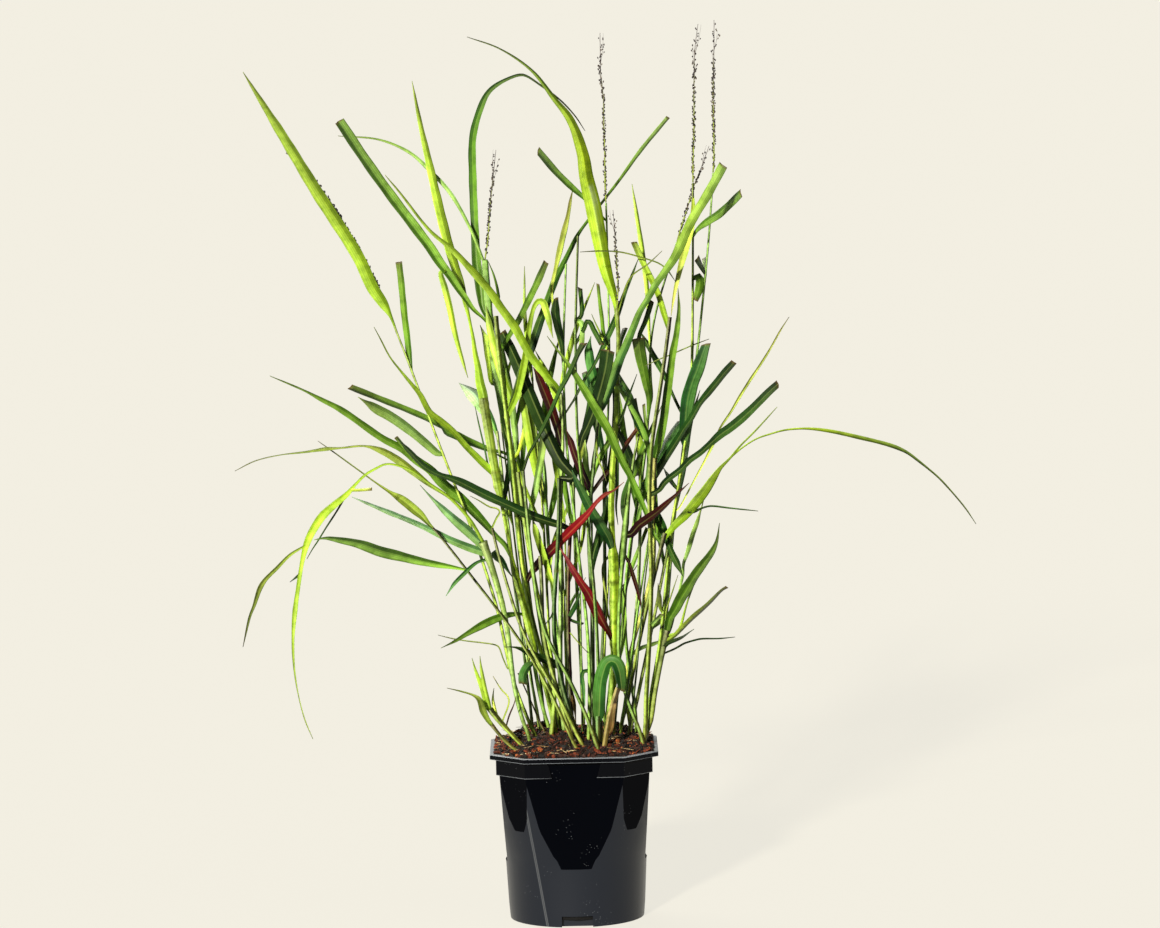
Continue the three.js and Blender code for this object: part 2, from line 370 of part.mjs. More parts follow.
      [120, 475], [130, 484, 6], [140, 493, 8], [150, 500, 9], [160, 508], [170, 517, 8], [180, 527],
      [190, 537, 7], [198, 544]]),
    leaf(597, 20, 'cut', [[84, 615, 6], [79, 632], [72, 648, 6], [62, 668, 6], [54, 686, 6]]),
    leaf(302, -12, 'cut', [[76, 308, 4], [82, 314]]),
    leaf(292, 12, 'cut', [[70, 298, 4], [76, 303, 4], [82, 308]]),
  ]),
  stem('culm_23', 'yellow', [52, 10], [[203, 4], [470, 4.6]],
    [[50, 203], [47, 220], [44, 238], [44, 255], [48, 270], [54, 287], [58, 303], [62, 318], [67, 334],
      [71, 350], [75, 365], [76, 380], [73, 395], [72, 412], [72, 435], [74, 458], [75, 470]], [
    leaf(468, -40, 'tip', [[78, 482, 8], [81, 495, 9], [84, 510, 8], [86, 525, 8],
      [89, 545, 8], [91, 560, 7], [93, 575, 7], [96, 590, 6], [98, 605, 5], [99, 620, 3],
      [98, 640, 1.5]]),
    leaf(270, 26, 'tip', [[50, 273, 3], [56, 277, 4], [63, 281], [70, 283, 4], [78, 286, 4],
      [86, 289]]),
  ]),
  stem('culm_24', 'olive', [50, -25], [[200, 4], [395, 4.4]],
    [[41, 200], [46, 218], [50, 238], [54, 260], [58, 283], [62, 300], [67, 322], [71, 338], [75, 355],
      [79, 372], [82, 386], [85, 395]], [
    leaf(386, -10, 'tip', [[75, 392, 3], [71, 402, 4], [68, 410], [62, 425, 5], [56, 438, 7],
      [50, 452, 6], [43, 465, 7], [36, 480, 8], [28, 498, 9], [18, 515, 9], [8, 532, 8], [0, 545, 7],
      [-8, 558, 5], [-15, 568, 3], [-22, 577], [-33, 592]]),
    leaf(390, -60, 'tip', [[95, 403, 7], [105, 413, 9], [115, 425, 10], [125, 438, 10],
      [133, 450, 7], [140, 460, 4], [150, 470, 2], [160, 482], [175, 497], [197, 521]]),
    leaf(391, 96, 'tip', [[100, 410, 2], [120, 436], [140, 459], [158, 477], [176, 489, 1.5],
      [190, 494], [205, 498], [222, 499.5, 2], [235, 499, 3], [250, 497], [265, 494, 4], [280, 490.5],
      [295, 487, 4], [308, 483.5], [318, 480, 4], [328, 475, 3], [338, 467.5], [348, 459.5, 2],
      [358, 451], [368, 440.5], [378, 429], [386, 419], [396, 404]]),
    leaf(0, -20, 'tip', [[108, 413, 2], [113, 416, 3], [122, 420, 2], [130, 422], [150, 420],
      [178, 417]], 1),
  ]),
  stem('culm_25', 'olive', [-10, 20], [[181, 5], [745, 2]],
    [[67, 181], [66, 200], [69, 225], [73, 245], [77, 262], [80, 280], [82, 298], [84, 318], [86, 340],
      [88, 360], [89, 378], [91, 398], [94, 415], [97, 432], [100, 448], [103, 465], [105, 482],
      [107, 500], [110, 520], [112, 545], [113, 570], [112, 600], [113, 640], [113, 690], [113, 745]], [
    leaf(483, -26, 'cut', [[104, 490, 9], [105, 500, 12], [106, 515, 13], [108, 530, 14],
      [112, 545, 13], [117, 558, 13], [121, 570, 12], [126, 584, 8]]),
    leaf(505, 26, 'tip', [[100, 518, 3], [92, 535, 3], [84, 553, 5], [78, 564, 7], [72, 575, 5],
      [66, 586, 6], [60, 597]]),
    leaf(415, 56, 'tip', [[99, 420, 1.5], [110, 440, 1.5], [117, 453], [124, 466, 2],
      [130, 478, 3], [135, 488, 3], [140, 500, 2], [150, 515], [160, 532, 3], [170, 548, 3], [180, 563],
      [190, 579], [200, 597], [209, 611]]),
    leaf(650, -12, 'cut', [[119, 651, 8], [119, 640, 9], [115, 628, 6]]),
    leaf(312, -16, 'tip', [[81, 318, 3], [79, 330, 6], [78, 345]]),
    leaf(580, -10, 'tip', [[90, 573, 1.2], [80, 569], [65, 562]]),
    leaf(580, 12, 'tip', [[129, 589, 1.2]]),
    leaf(690, -40, 'cut', [[117, 698, 4], [128, 707, 8], [140, 715, 8], [161, 735, 7]]),
    leaf(735, -30, 'tip', [[113, 712, 6], [109, 695, 8], [104, 675, 7.5], [99, 655, 5], [94, 632, 3],
      [91, 612]]),
  ]),
  stem('culm_26', 'green', [25, 50], [[190, 4], [755, 2]],
    [[70, 190], [71, 215], [75, 240], [79, 262], [84, 285], [86, 305], [88, 330], [90, 355], [91, 380],
      [93, 400], [95, 420], [98, 440], [102, 462], [105, 485], [108, 507], [111, 528], [114, 550],
      [117, 572], [119, 590], [121, 610], [124, 640], [127, 668], [129, 690], [132, 725], [133, 755]], [
    leaf(654, -12, 'cut', [[117, 670, 7]]),
    leaf(654, 12, 'cut', [[124, 670, 4]]),
    leaf(440, 18, 'tip', [[94, 443, 4], [88, 452, 5], [83, 461, 4]]),
  ]),
  stem('culm_27', 'olive', [-5, -30], [[184, 5], [298, 5]],
    [[68, 184], [70, 208], [74, 235], [79, 258], [84, 280], [87, 298]], [
    leaf(295, -44, 'tip', [[90, 310, 8], [95, 318, 10], [100, 328, 11], [106, 338, 11],
      [112, 348, 10], [118, 357, 9], [124, 365, 8], [130, 373, 7], [134, 380, 5], [137, 388, 3],
      [139.5, 405]]),
    leaf(290, -12, 'tip', [[97, 295, 3], [100, 300], [108, 328], [115, 345]]),
    leaf(286, -70, 'cut', [[94, 292, 4], [100, 298, 5], [112, 310, 5], [120, 317, 5],
      [128, 324, 4], [142, 338, 3], [147, 341]]),
    leaf(281, -50, 'tip', [[88, 285, 4], [95, 288, 4], [102, 291, 3], [108, 295], [114, 299]]),
    leaf(274, 56, 'tip', [[92, 278, 2], [98, 281], [104, 284.5, 2], [112, 287], [120, 289],
      [140, 289.5], [155, 291]]),
    leaf(284, 40, 'tip', [[91, 300, 2], [96, 322], [100, 340], [103, 356], [103, 363, 3],
      [107, 375, 4], [110, 385, 5], [113, 395, 5], [117, 406, 4], [120, 416, 2], [125, 433]]),
    leaf(296, 20, 'tip', [[86, 315, 1.5], [91, 332], [98, 353]]),
  ]),
  stem('shoot_folded', 'blue', [-50, -50], [[182, 4], [212, 5]], [[18, 184], [18, 198], [18, 212]], [
    leaf(206, -8, 'cut', [[19, 215, 12], [20, 240, 13], [23, 256, 13], [28, 266, 12], [34, 267, 12],
      [39, 259, 13], [41, 248, 11], [42, 237, 5]]),
  ]),
  stem('shoot_dry', 'tan', [-58, -54], [[178, 5], [240, 6]],
    [[24, 176], [25, 190], [28, 210], [33, 226], [38, 240]], [
    leaf(192, -6, 'cut', [[31, 198, 4], [33, 215, 5], [35, 225, 4]]),
  ]),
  stem('shoot_curled', 'olive', [-62, -58], [[172, 3], [204, 4]],
    [[-55, 172], [-68, 178], [-76, 186], [-83, 197], [-88, 203]], [
    leaf(201, -10, 'tip', [[-92, 208, 5], [-97, 218, 7], [-101, 229, 5], [-107, 233, 2], [-120, 237],
      [-133, 240, 1.2]]),
  ]),
  stem('shoot_young', 'bright', [-40, -36], [[176, 3.4], [200, 5], [220, 6]],
    [[-52, 176], [-60, 184], [-66, 192], [-75, 201], [-85, 210], [-90, 219]], [
    leaf(217, -14, 'tip', [[-92, 228, 4], [-96, 245, 4], [-99, 262, 3], [-100, 272]]),
    leaf(212, 16, 'tip', [[-93, 222, 5], [-98, 240, 5], [-104, 256, 3], [-108, 270]]),
    leaf(208, 6, 'tip', [[-87, 228, 3], [-86, 240]]),
    leaf(198, -8, 'tip', [[-71, 212, 1.6], [-66, 224], [-64, 232]]),
    leaf(205, 12, 'tip', [[-71, 229, 1.6], [-79, 239], [-87, 252]]),
  ]),
  stem('shoot_thin', 'purple', [15, 35], [[186, 2], [255, 1.4]],
    [[-32, 186], [-40, 208], [-50, 230], [-62, 255]], []),
  stem('culm_28', 'dark', [44, 60], [[186, 4], [470, 3]],
    [[-12, 186], [-14, 220], [-18, 260], [-24, 300], [-29, 340], [-33, 390], [-35, 430], [-37, 470]], [
    leaf(424, 10, 'cut', [[-40, 440, 5], [-46, 465, 7], [-51, 490, 8], [-56, 520, 7], [-60, 545]]),
    leaf(466, 22, 'tip', [[-38, 480, 5], [-37, 505, 7], [-33, 535, 7], [-27, 565, 5], [-20, 592]]),
  ]),
  stem('culm_29', 'green', [54, 46], [[182, 4], [450, 3.4]],
    [[4, 182], [3, 220], [2, 260], [-1, 300], [-4, 345], [-6, 390], [-7, 450]], [
    leaf(440, 16, 'cut', [[-4, 458, 6], [2, 480, 8], [8, 505, 9], [13, 535, 8], [16, 560]]),
    leaf(396, -8, 'tip', [[-9, 410, 4], [-15, 440, 6], [-20, 470, 6], [-23, 500, 4], [-25, 528]]),
  ]),
  stem('culm_30', 'dark', [42, 54], [[184, 4.4], [470, 3.4]],
    [[14, 184], [18, 220], [22, 260], [25, 300], [26, 345], [25, 390], [23, 430], [24, 470]], [
    leaf(440, 14, 'cut', [[29, 455, 6], [34, 480, 8], [37, 510, 9], [36, 545, 7]]),
    leaf(462, 26, 'cut', [[22, 480, 5], [16, 505, 8], [10, 530, 8], [5, 556, 7]]),
  ]),
  stem('culm_31', 'bright', [32, 50], [[186, 4], [450, 3.4]],
    [[-22, 186], [-27, 225], [-34, 268], [-42, 312], [-48, 356], [-54, 404], [-58, 450]], [
    leaf(440, 18, 'tip', [[-62, 470, 4], [-66, 505, 7], [-71, 540, 7], [-77, 575, 4], [-84, 612]]),
    leaf(396, -20, 'cut', [[-50, 415, 5], [-44, 442, 7], [-39, 470, 7], [-36, 492]]),
  ]),
  stem('culm_32', 'green', [40, 52], [[190, 4.4], [430, 3.4]],
    [[40, 190], [46, 225], [52, 265], [57, 310], [60, 350], [61, 390], [60, 430]], [
    leaf(402, 12, 'tip', [[57, 420, 4], [51, 450, 7], [46, 480, 7], [42, 510, 5], [39, 538]]),
    leaf(426, 20, 'cut', [[61, 445, 5], [60, 475, 7], [57, 505, 7], [53, 528]]),
  ]),
  stem('culm_33', 'olive', [30, 48], [[192, 4], [440, 3]],
    [[50, 192], [57, 230], [66, 272], [76, 318], [85, 362], [92, 402], [98, 440]], [
    leaf(408, 14, 'tip', [[97, 428, 4], [102, 456, 7], [106, 484, 7], [112, 512, 4], [120, 538]]),
    leaf(360, -18, 'tip', [[81, 380, 4], [76, 410, 6], [74, 440, 6], [76, 470, 3], [80, 494]]),
  ]),
];

const heads = [
  head('seed_head_1', 'culm_01', -16, [[-205, 648], [-235, 703], [-250, 727], [-262, 742],
    [-297, 785]], [[0.12, 0.3], [0.3, 0.5], [0.48, 0.66], [0.64, 0.82], [0.8, 0.97]]),
  head('seed_head_2', 'culm_07', 6, [[-92, 690], [-90, 720], [-84, 778]],
    [[0.1, 0.45], [0.25, 0.6], [0.4, 0.72], [0.55, 0.85], [0.7, 0.96]]),
  head('seed_head_3', 'culm_20', 4, [[25, 745], [25, 760], [24, 800], [23, 835], [21, 850], [20, 895]],
    [[0.1, 0.28], [0.26, 0.44], [0.4, 0.58], [0.55, 0.72], [0.68, 0.84], [0.82, 0.98]]),
  head('seed_head_4', 'culm_25', 6, [[113, 762], [114, 800], [114, 840], [115, 880], [118, 904]],
    [[0.08, 0.26], [0.22, 0.4], [0.36, 0.54], [0.52, 0.7], [0.66, 0.84], [0.82, 0.98]]),
  head('seed_head_5', 'culm_26', 6, [[134, 772], [133, 840], [134, 880], [134, 908]],
    [[0.1, 0.3], [0.22, 0.62], [0.34, 0.5], [0.48, 0.66], [0.62, 0.8], [0.78, 0.94]]),
  head('seed_head_6', 'culm_21', 8, [[100, 697], [108, 722], [115, 745], [122, 762], [129, 782]],
    [[0.12, 0.34], [0.3, 0.5], [0.44, 0.64], [0.6, 0.82], [0.76, 0.96]]),
  head('seed_head_7', 'culm_18', 6, [[38, 640], [37, 660], [36, 675], [35, 690], [34, 705], [33, 718]],
    [[0.15, 0.36], [0.3, 0.52], [0.46, 0.68], [0.62, 0.82], [0.78, 0.97]]),
];

// ---------------------------------------------------------------- laying out stems and blades
const strands = [];

// every course is walked in even steps; a width left out is read off between its neighbours
function walk(course, widths, depths, step = walkStep) {
  const drawnPoints = course.map(([a, u]) => new THREE.Vector3(a, u, 0));
  const curve = new THREE.CatmullRomCurve3(drawnPoints, false, 'centripetal');
  const count = Math.max(2, Math.round(curve.getLength() / step));
  return curve.getSpacedPoints(count).map((p, i) => ({
    a: p.x,
    u: p.y,
    share: i / count,
    width: widths(i / count, p.y),
    base: depths(i / count),
    shift: 0,
    twist: 0,
  }));
}

function readOff(table, x) {
  let i = 0;
  while (i < table.length - 2 && table[i + 1][0] < x) i += 1;
  const [x0, y0] = table[i];
  const [x1, y1] = table[i + 1];
  return THREE.MathUtils.lerp(y0, y1, THREE.MathUtils.clamp((x - x0) / (x1 - x0), 0, 1));
}

// how far along each drawn point lies, as a share of the whole course
function shares(course) {
  const far = [0];
  for (let i = 1; i < course.length; i += 1) {
    far.push(far[i - 1] + Math.hypot(course[i][0] - course[i - 1][0], course[i][1] - course[i - 1][1]));
  }
  return far.map((f) => f / far[far.length - 1]);
}

function drawn(point) {
  const away = point.clone().sub(eyePoint);
  const scale = eye.distance / away.dot(forward);
  return [away.dot(sheetRight) * scale, away.dot(sheetUp) * scale + eye.up];
}

// a stem grows in a steady line: small unevenness in its drawn points is taken out
function eased(course) {
  let points = course;
  for (let round = 0; round < 3; round += 1) {
    const old = points;
    points = old.map((point, i) => {
      if (i === 0 || i === old.length - 1) return point;
      const [before, after] = [old[i - 1], old[i + 1]];
      return [(before[0] + 2 * point[0] + after[0]) / 4, (before[1] + 2 * point[1] + after[1]) / 4];
    });
  }
  return points;
}

function addStem(plant) {
  const above = eased(plant.course).map(([a, u]) => {
    const most = stemFoot.mostRight + Math.max(0, u - stemFoot.easeFrom) * 0.6;
    return [Math.min(a, most), u];
  });
  const buried = at(above[0][0], above[0][1], plant.depths[0]);
  buried.x = Math.min(buried.x, stemFoot.mostRight);
  buried.z = stemFoot.height;
  const course = [drawn(buried), ...above];
  const points = walk(course, (share, up) => readOff(plant.thickness, up),
    (share) => THREE.MathUtils.lerp(plant.depths[0], plant.depths[1], share));
  strands.push({ node: plant.name, kind: 'stem', points, parent: null, root: 0 });
  return strands[strands.length - 1];
}

function addLeaf(plant, record, parent) {
  const [firstA, firstU] = record.course[0];
  const distance = record.on < 0
    ? (p) => Math.abs(p.u - record.from)
    : (p) => Math.hypot(p.a - firstA, p.u - firstU);
  let root = 0;
  parent.points.forEach((p, i) => {
    if (distance(p) < distance(parent.points[root])) root = i;
  });
  const start = parent.points[root];
  const rest = record.course.filter(([a, u], i) => Math.hypot(a - start.a, u - start.u) > 4 || i > 2);
  const course = [[start.a, start.u], ...rest];
  const far = shares(course);
  const firstWidth = record.course.find((p) => p.length > 2)[2];
  const widths = [[0, Math.min(firstWidth, start.width)]];
  rest.forEach((p, i) => {
    if (p.length > 2) widths.push([far[i + 1], p[2]]);
  });
  const lastWidth = widths[widths.length - 1];
  if (widths.length < 2) lastWidth[1] = firstWidth;
  if (lastWidth[0] < 1) widths.push([1, record.end === 'tip' ? bladeTip : lastWidth[1]]);
  if (record.end === 'tip') widths[widths.length - 1][1] = Math.min(bladeTip, widths[widths.length - 1][1]);
  const turn = THREE.MathUtils.degToRad(bladeTurn) * (draw() < 0.5 ? -1 : 1) * (0.8 + 0.5 * draw());
  const depths = (share) => record.reach * reachScale * share ** 1.3;
  const points = walk(course, (share) => readOff(widths, share), depths);
  points.forEach((p) => {
    p.twist = turn * THREE.MathUtils.smoothstep(p.share, 0, 0.5);
  });
  strands.push({ node: plant.name, kind: 'blade', points, parent, root });
  return strands[strands.length - 1];
}

function addHead(plant) {
  const carrier = strands.find((strand) => strand.node === plant.carrier);
  const top = carrier.points[carrier.points.length - 1];
  const [nextA, nextU] = plant.course[0];
  const share = headGap / Math.hypot(nextA - top.a, nextU - top.u);
  const start = [THREE.MathUtils.lerp(top.a, nextA, share), THREE.MathUtils.lerp(top.u, nextU, share)];
  const points = walk([start, ...plant.course], () => headStem, (along) => plant.reach * along, headStep);
  const axis = { node: plant.name, kind: 'head', points, parent: carrier, root: carrier.points.length - 1 };
  strands.push(axis);
  plant.branches.forEach(([from, to], k) => {
    const root = Math.round(from * (axis.points.length - 1));
    const leave = axis.points[root];
    const end = axis.points[Math.round(to * (axis.points.length - 1))];
    const side = (k % 2 ? 1 : -1) * (2.4 + 2.4 * draw());
    const along = new THREE.Vector2(end.a - leave.a, end.u - leave.u).normalize();
    const course = [[leave.a, leave.u],
      [(leave.a + end.a) / 2 + along.y * side * 0.8, (leave.u + end.u) / 2 - along.x * side * 0.8],
      [end.a + along.y * side, end.u - along.x * side]];
    strands.push({
      node: plant.name,
      kind: 'head',
      points: walk(course, () => headStem, (share) => (k % 3 - 1) * 7 * share, headStep),
      parent: axis,
      root,
    });
  });
}

plants.forEach((plant) => {
  const parts = [addStem(plant)];
  plant.leaves.forEach((record) => parts.push(addLeaf(plant, record, parts[record.on + 1])));
});
heads.forEach(addHead);

// ---------------------------------------------------------------- combing them apart
// Stems and blades of different plants that cross on the elevation are moved along the line of sight only,
// one before the other, until they pass with room between them.
function halfWidth(strand, p) {
  return strand.kind === 'head' ? headBead : p.width / 2;
}

function halfDepth(strand, p) {
  if (strand.kind === 'blade') return Math.tan(Math.abs(p.twist)) * p.width / 2 + bladeThickness / 2;
  return halfWidth(strand, p);
}

function depthOf(strand, i) {
  const p = strand.points[i];
  const from = strand.parent ? depthOf(strand.parent, strand.root) : 0;
  return from + p.base + p.shift;
}

function push(strand, i, by) {
  if (strand.parent && i === 0) {
    push(strand.parent, strand.root, by);
    return;
  }
  strand.points[i].shift += by;
}

function findCrossings() {
  const found = [];
  for (let s = 0; s < strands.length; s += 1) {
    for (let t = s + 1; t < strands.length; t += 1) {
      if (strands[s].node === strands[t].node || strands[t].parent === strands[s]) continue;
      found.push(...crossingRuns(strands[s], strands[t]));
    }
  }
  found.forEach((run) => {
    followParent(run, run.one, run.other, 0, found);
    followParent(run, run.other, run.one, 1, found);
  });
  return found;
}

// a blade that crosses a neighbour near its own root passes it on the same side as the stem it grows from
function followParent(run, blade, neighbour, side, found) {
  if (!blade.parent || run.pairs.every((pair) => pair[side] > 4)) return;
  const places = run.pairs.map((pair) => pair[1 - side]);
  const guide = found.find((other) => {
    if (other.one === blade.parent && other.other === neighbour) {
      return other.pairs.some((pair) => places.some((i) => Math.abs(i - pair[1]) < 5));
    }
    if (other.other === blade.parent && other.one === neighbour) {
      return other.pairs.some((pair) => places.some((i) => Math.abs(i - pair[0]) < 5));
    }
    return false;
  });
  if (!guide) return;
  const parentFirst = guide.one === blade.parent ? guide.order : -guide.order;
  run.order = side === 0 ? parentFirst : -parentFirst;
}

function crossingRuns(one, other) {
  const runs = [];
  let last = -9;
  one.points.forEach((p, i) => {
    other.points.forEach((q, j) => {
      const reach = halfWidth(one, p) + halfWidth(other, q) + crossingMargin;
      if (Math.abs(p.a - q.a) > reach || Math.abs(p.u - q.u) > reach) return;
      if (Math.hypot(p.a - q.a, p.u - q.u) > reach) return;
      if (i - last > 3) runs.push({ one, other, pairs: [], order: 0 });
      last = i;
      const room = halfDepth(one, p) + halfDepth(other, q) + clearance;
      runs[runs.length - 1].pairs.push([i, j, room]);
      runs[runs.length - 1].order += depthOf(one, i) - depthOf(other, j);
    });
  });
  return runs;
}

function comb(crossings, rounds) {
  for (let round = 0; round < rounds; round += 1) {
    if (round % recheckEvery === 0) recheck(crossings, round);
    strands.forEach((strand) => {
      const depths = strand.points.map((p, i) => depthOf(strand, i));
      strand.depths = depths;
    });
    crossings.forEach(({ one, other, pairs, order }) => {
      const sign = order < 0 ? -1 : 1;
      pairs.forEach(([i, j, room]) => {
        const short = room - sign * (one.depths[i] - other.depths[j]);
        if (short <= 0) return;
        const by = sign * Math.min(short, 3) * 0.2;
        push(one, i, by);
        push(other, j, -by);
      });
    });
    const ease = round < rounds * 0.8 ? 0.3 : 0.08;
    strands.forEach((strand) => smooth(strand, ease));
    strands.filter((strand) => strand.kind === 'stem').forEach(keepInPot);
  }
}

// a crossing that stays too tight is let through on the side where the two now lie
function recheck(crossings, round) {
  if (round === 0) return;
  crossings.forEach((run) => {
    const sign = run.order < 0 ? -1 : 1;
    const between = run.pairs.map(([i, j]) => depthOf(run.one, i) - depthOf(run.other, j));
    const short = Math.max(...run.pairs.map((pair, k) => pair[2] - sign * between[k]));
    if (short > tight) run.order = between.reduce((sum, d) => sum + d, 0);
  });
}

function smooth(strand, ease) {
  const old = strand.points.map((p) => p.shift);
  const last = old.length - 1;
  strand.points.forEach((p, i) => {
    const before = old[Math.max(0, i - 1)];
    const after = old[Math.min(last, i + 1)];
    p.shift += ease * ((before + after) / 2 - old[i]);
    if (strand.parent && i === 0) p.shift = 0;
  });
}

// the feet stay inside the pot
function keepInPot(strand) {
  strand.points.forEach((p, i) => {
    if (p.u > stemFoot.easeFrom) return;
    const x = Math.abs(at(p.a, p.u, 0).x);
    const limit = Math.min(stemFoot.reach, pot.bore.corner * Math.SQRT2 - x - stemFoot.inset);
    const depth = depthOf(strand, i);
    p.shift += THREE.MathUtils.clamp(depth, -limit, limit) - depth;
  });
}

comb(findCrossings(), 1200);

// ---------------------------------------------------------------- solids
function solid(geometry) {
  geometry.deleteAttribute('normal');
  geometry.deleteAttribute('uv');
  const merged = mergeVertices(geometry, 1e-4);
  const corners = merged.index.array;
  const kept = [];
  for (let i = 0; i < corners.length; i += 3) {
    const [a, b, c] = [corners[i], corners[i + 1], corners[i + 2]];
    if (a !== b && b !== c && c !== a) kept.push(a, b, c);
  }
  const mesh = new wasm.Mesh({
    numProp: 3,
    vertProperties: new Float32Array(merged.attributes.position.array),
    triVerts: new Uint32Array(kept),
  });
  mesh.merge();
  return new wasm.Manifold(mesh);
}

function surface(whole) {
  const manifold = whole.simplify(mergeTolerance);
  const mesh = manifold.getMesh();
  const geometry = new THREE.BufferGeometry();
  geometry.setAttribute('position', new THREE.BufferAttribute(new Float32Array(mesh.vertProperties), 3));
  geometry.setIndex(new THREE.BufferAttribute(new Uint32Array(mesh.triVerts), 1));
  return geometry;
}

// a closed skin through rings of corners; the two long faces of a blade are split along the same diagonals
function skin(rings) {
  const sides = rings[0].length;
  const positions = rings.flat().flatMap((p) => [p.x, p.y, p.z]);
  const index = [];
  for (let k = 0; k < rings.length - 1; k += 1) {
    for (let j = 0; j < sides; j += 1) {
      const a = k * sides + j;
      const b = k * sides + (j + 1) % sides;
      const c = a + sides;
      const d = b + sides;
      if (sides === 4 && j >= 2) index.push(a, b, c, b, d, c);
      else index.push(a, b, d, a, d, c);
    }
  }
  for (let j = 1; j < sides - 1; j += 1) {
    index.push(0, j + 1, j);
    const end = (rings.length - 1) * sides;
    index.push(end, end + j, end + j + 1);
  }
  const geometry = new THREE.BufferGeometry();
  geometry.setAttribute('position', new THREE.Float32BufferAttribute(positions, 3));
  geometry.setIndex(index);
  return geometry;
}

// keeps the rings that the shape needs: a ring is left out where the others already pass within the tolerance
function neededRings(places, tolerance, always = []) {
  const keep = new Set([0, places.length - 1, ...always]);
  const split = (from, to) => {
    let worst = 0;
    let where = -1;
    for (let i = from + 1; i < to; i += 1) {
      const share = (i - from) / (to - from);
      const straight = places[from].point.clone().lerp(places[to].point, share);
      const width = THREE.MathUtils.lerp(places[from].width, places[to].width, share);
      const off = Math.max(straight.distanceTo(places[i].point), Math.abs(width - places[i].width) * 0.7);
      if (off > worst) {
        worst = off;
        where = i;
      }
    }
    if (worst <= tolerance) return;
    keep.add(where);
    split(from, where);
    split(where, to);
  };
  const fixed = [...keep].sort((x, y) => x - y);
  fixed.slice(1).forEach((to, k) => split(fixed[k], to));
  return [...keep].sort((x, y) => x - y);
}

function placesOf(strand) {
  return strand.points.map((p, i) => ({
    point: at(p.a, p.u, depthOf(strand, i)),
    width: p.width,
    twist: p.twist,
  }));
}

function tangentAt(places, i) {
  const before = places[Math.max(0, i - 1)].point;
  const after = places[Math.min(places.length - 1, i + 1)].point;
  return after.clone().sub(before).normalize();
}

function roundRings(places, kept, radii, sides) {
  return kept.map((i, k) => {
    const along = tangentAt(places, i);
    const across = new THREE.Vector3().crossVectors(along, forward).normalize();
    const inward = new THREE.Vector3().crossVectors(along, across);
    const ring = [];
    for (let j = 0; j < sides; j += 1) {
      const angle = (j / sides) * 2 * Math.PI;
      ring.push(places[i].point.clone()
        .addScaledVector(across, Math.cos(angle) * radii[k])
        .addScaledVector(inward, Math.sin(angle) * radii[k]));
    }
    return ring;
  });
}

function buriedCount(places) {
  const first = places.findIndex((place) => place.point.z > soil.crown + 6);
  return first < 0 ? places.length - 1 : first;
}

// below the soil's surface the stem and its hole share their rings
function stemSolid(strand) {
  const places = placesOf(strand);
  const buried = buriedCount(places);
  const kept = neededRings(places.slice(0, buried + 1), shapeTolerance / 4);
  neededRings(places.slice(buried), shapeTolerance).slice(1).forEach((i) => kept.push(buried + i));
  const radii = kept.map((i) => places[i].width / 2);
  return solid(skin(roundRings(places, kept, radii, stemSides)));
}

function stemHole(strand) {
  const places = placesOf(strand);
  const buried = buriedCount(places);
  const kept = neededRings(places.slice(0, buried + 1), shapeTolerance / 4);
  const corner = 1 / Math.cos(Math.PI / stemSides);
  const radii = kept.map((i) => places[i].width / 2 + soil.gap * corner);
  const rings = roundRings(places, kept, radii, stemSides);
  rings[0].forEach((p) => p.addScaledVector(tangentAt(places, 0), -soil.gap));
  return solid(skin(rings));
}

function bladeSolid(strand) {
  const places = placesOf(strand);
  const grownFrom = strands.filter((other) => other.parent === strand).map((other) => other.root);
  const kept = neededRings(places, shapeTolerance, grownFrom);
  const rings = kept.map((i) => {
    const { point, width, twist } = places[i];
    const along = tangentAt(places, i);
    const across = new THREE.Vector3().crossVectors(along, forward).normalize();
    const inward = new THREE.Vector3().crossVectors(along, across);
    const wide = across.clone().multiplyScalar(Math.cos(twist)).addScaledVector(inward, Math.sin(twist));
    const thick = new THREE.Vector3().crossVectors(along, wide);
    const half = width / 2 / Math.cos(twist);
    return [[-1, -1], [1, -1], [1, 1], [-1, 1]].map(([x, y]) => point.clone()
      .addScaledVector(wide, x * half)
      .addScaledVector(thick, y * bladeThickness / 2));
  });
  return solid(skin(rings));
}

// a branch of the seed head: a fine stalk that swells at every spikelet
function headSolid(strand) {
  const places = placesOf(strand);
  const kept = places.map((p, i) => i);
  const radii = kept.map((i) => {
    if (i === 0 || i === kept.length - 1) return headStem / 2;
    return i % 2 ? headBead : headStem / 2;
  });
  return solid(skin(roundRings(places, kept, radii, 3)));
}

// ---------------------------------------------------------------- pot
function upright(geometry, bottom, height) {
  geometry.rotateX(Math.PI / 2);
  geometry.translate(0, 0, bottom + height / 2);
  return geometry;
}

// a square frustum, by its half sizes across the flats, turned by the given angle about the pot's axis
function squareFrustum(lower, higher, bottom, top, turnBy) {
  const geometry = new THREE.CylinderGeometry(higher * Math.SQRT2, lower * Math.SQRT2, top - bottom, 4);
  upright(geometry, bottom, top - bottom);
  geometry.rotateZ(turnBy + Math.PI / 4);
  return solid(geometry);
}

// an eight-sided slab with four broad flats to the sides and four narrower ones across the corners
function octagon(flat, corner, bottom, top) {
  const half = corner * Math.SQRT2 - flat;
  const points = [[flat, -half], [flat, half], [half, flat], [-half, flat], [-flat, half], [-flat, -half],
    [-half, -flat], [half, -flat]];
  const shape = new THREE.Shape(points.map(([x, y]) => new THREE.Vector2(x, y)));
  const geometry = new THREE.ExtrudeGeometry(shape, { depth: top - bottom, bevelEnabled: false });
  geometry.translate(0, 0, bottom);
  return solid(geometry);
}

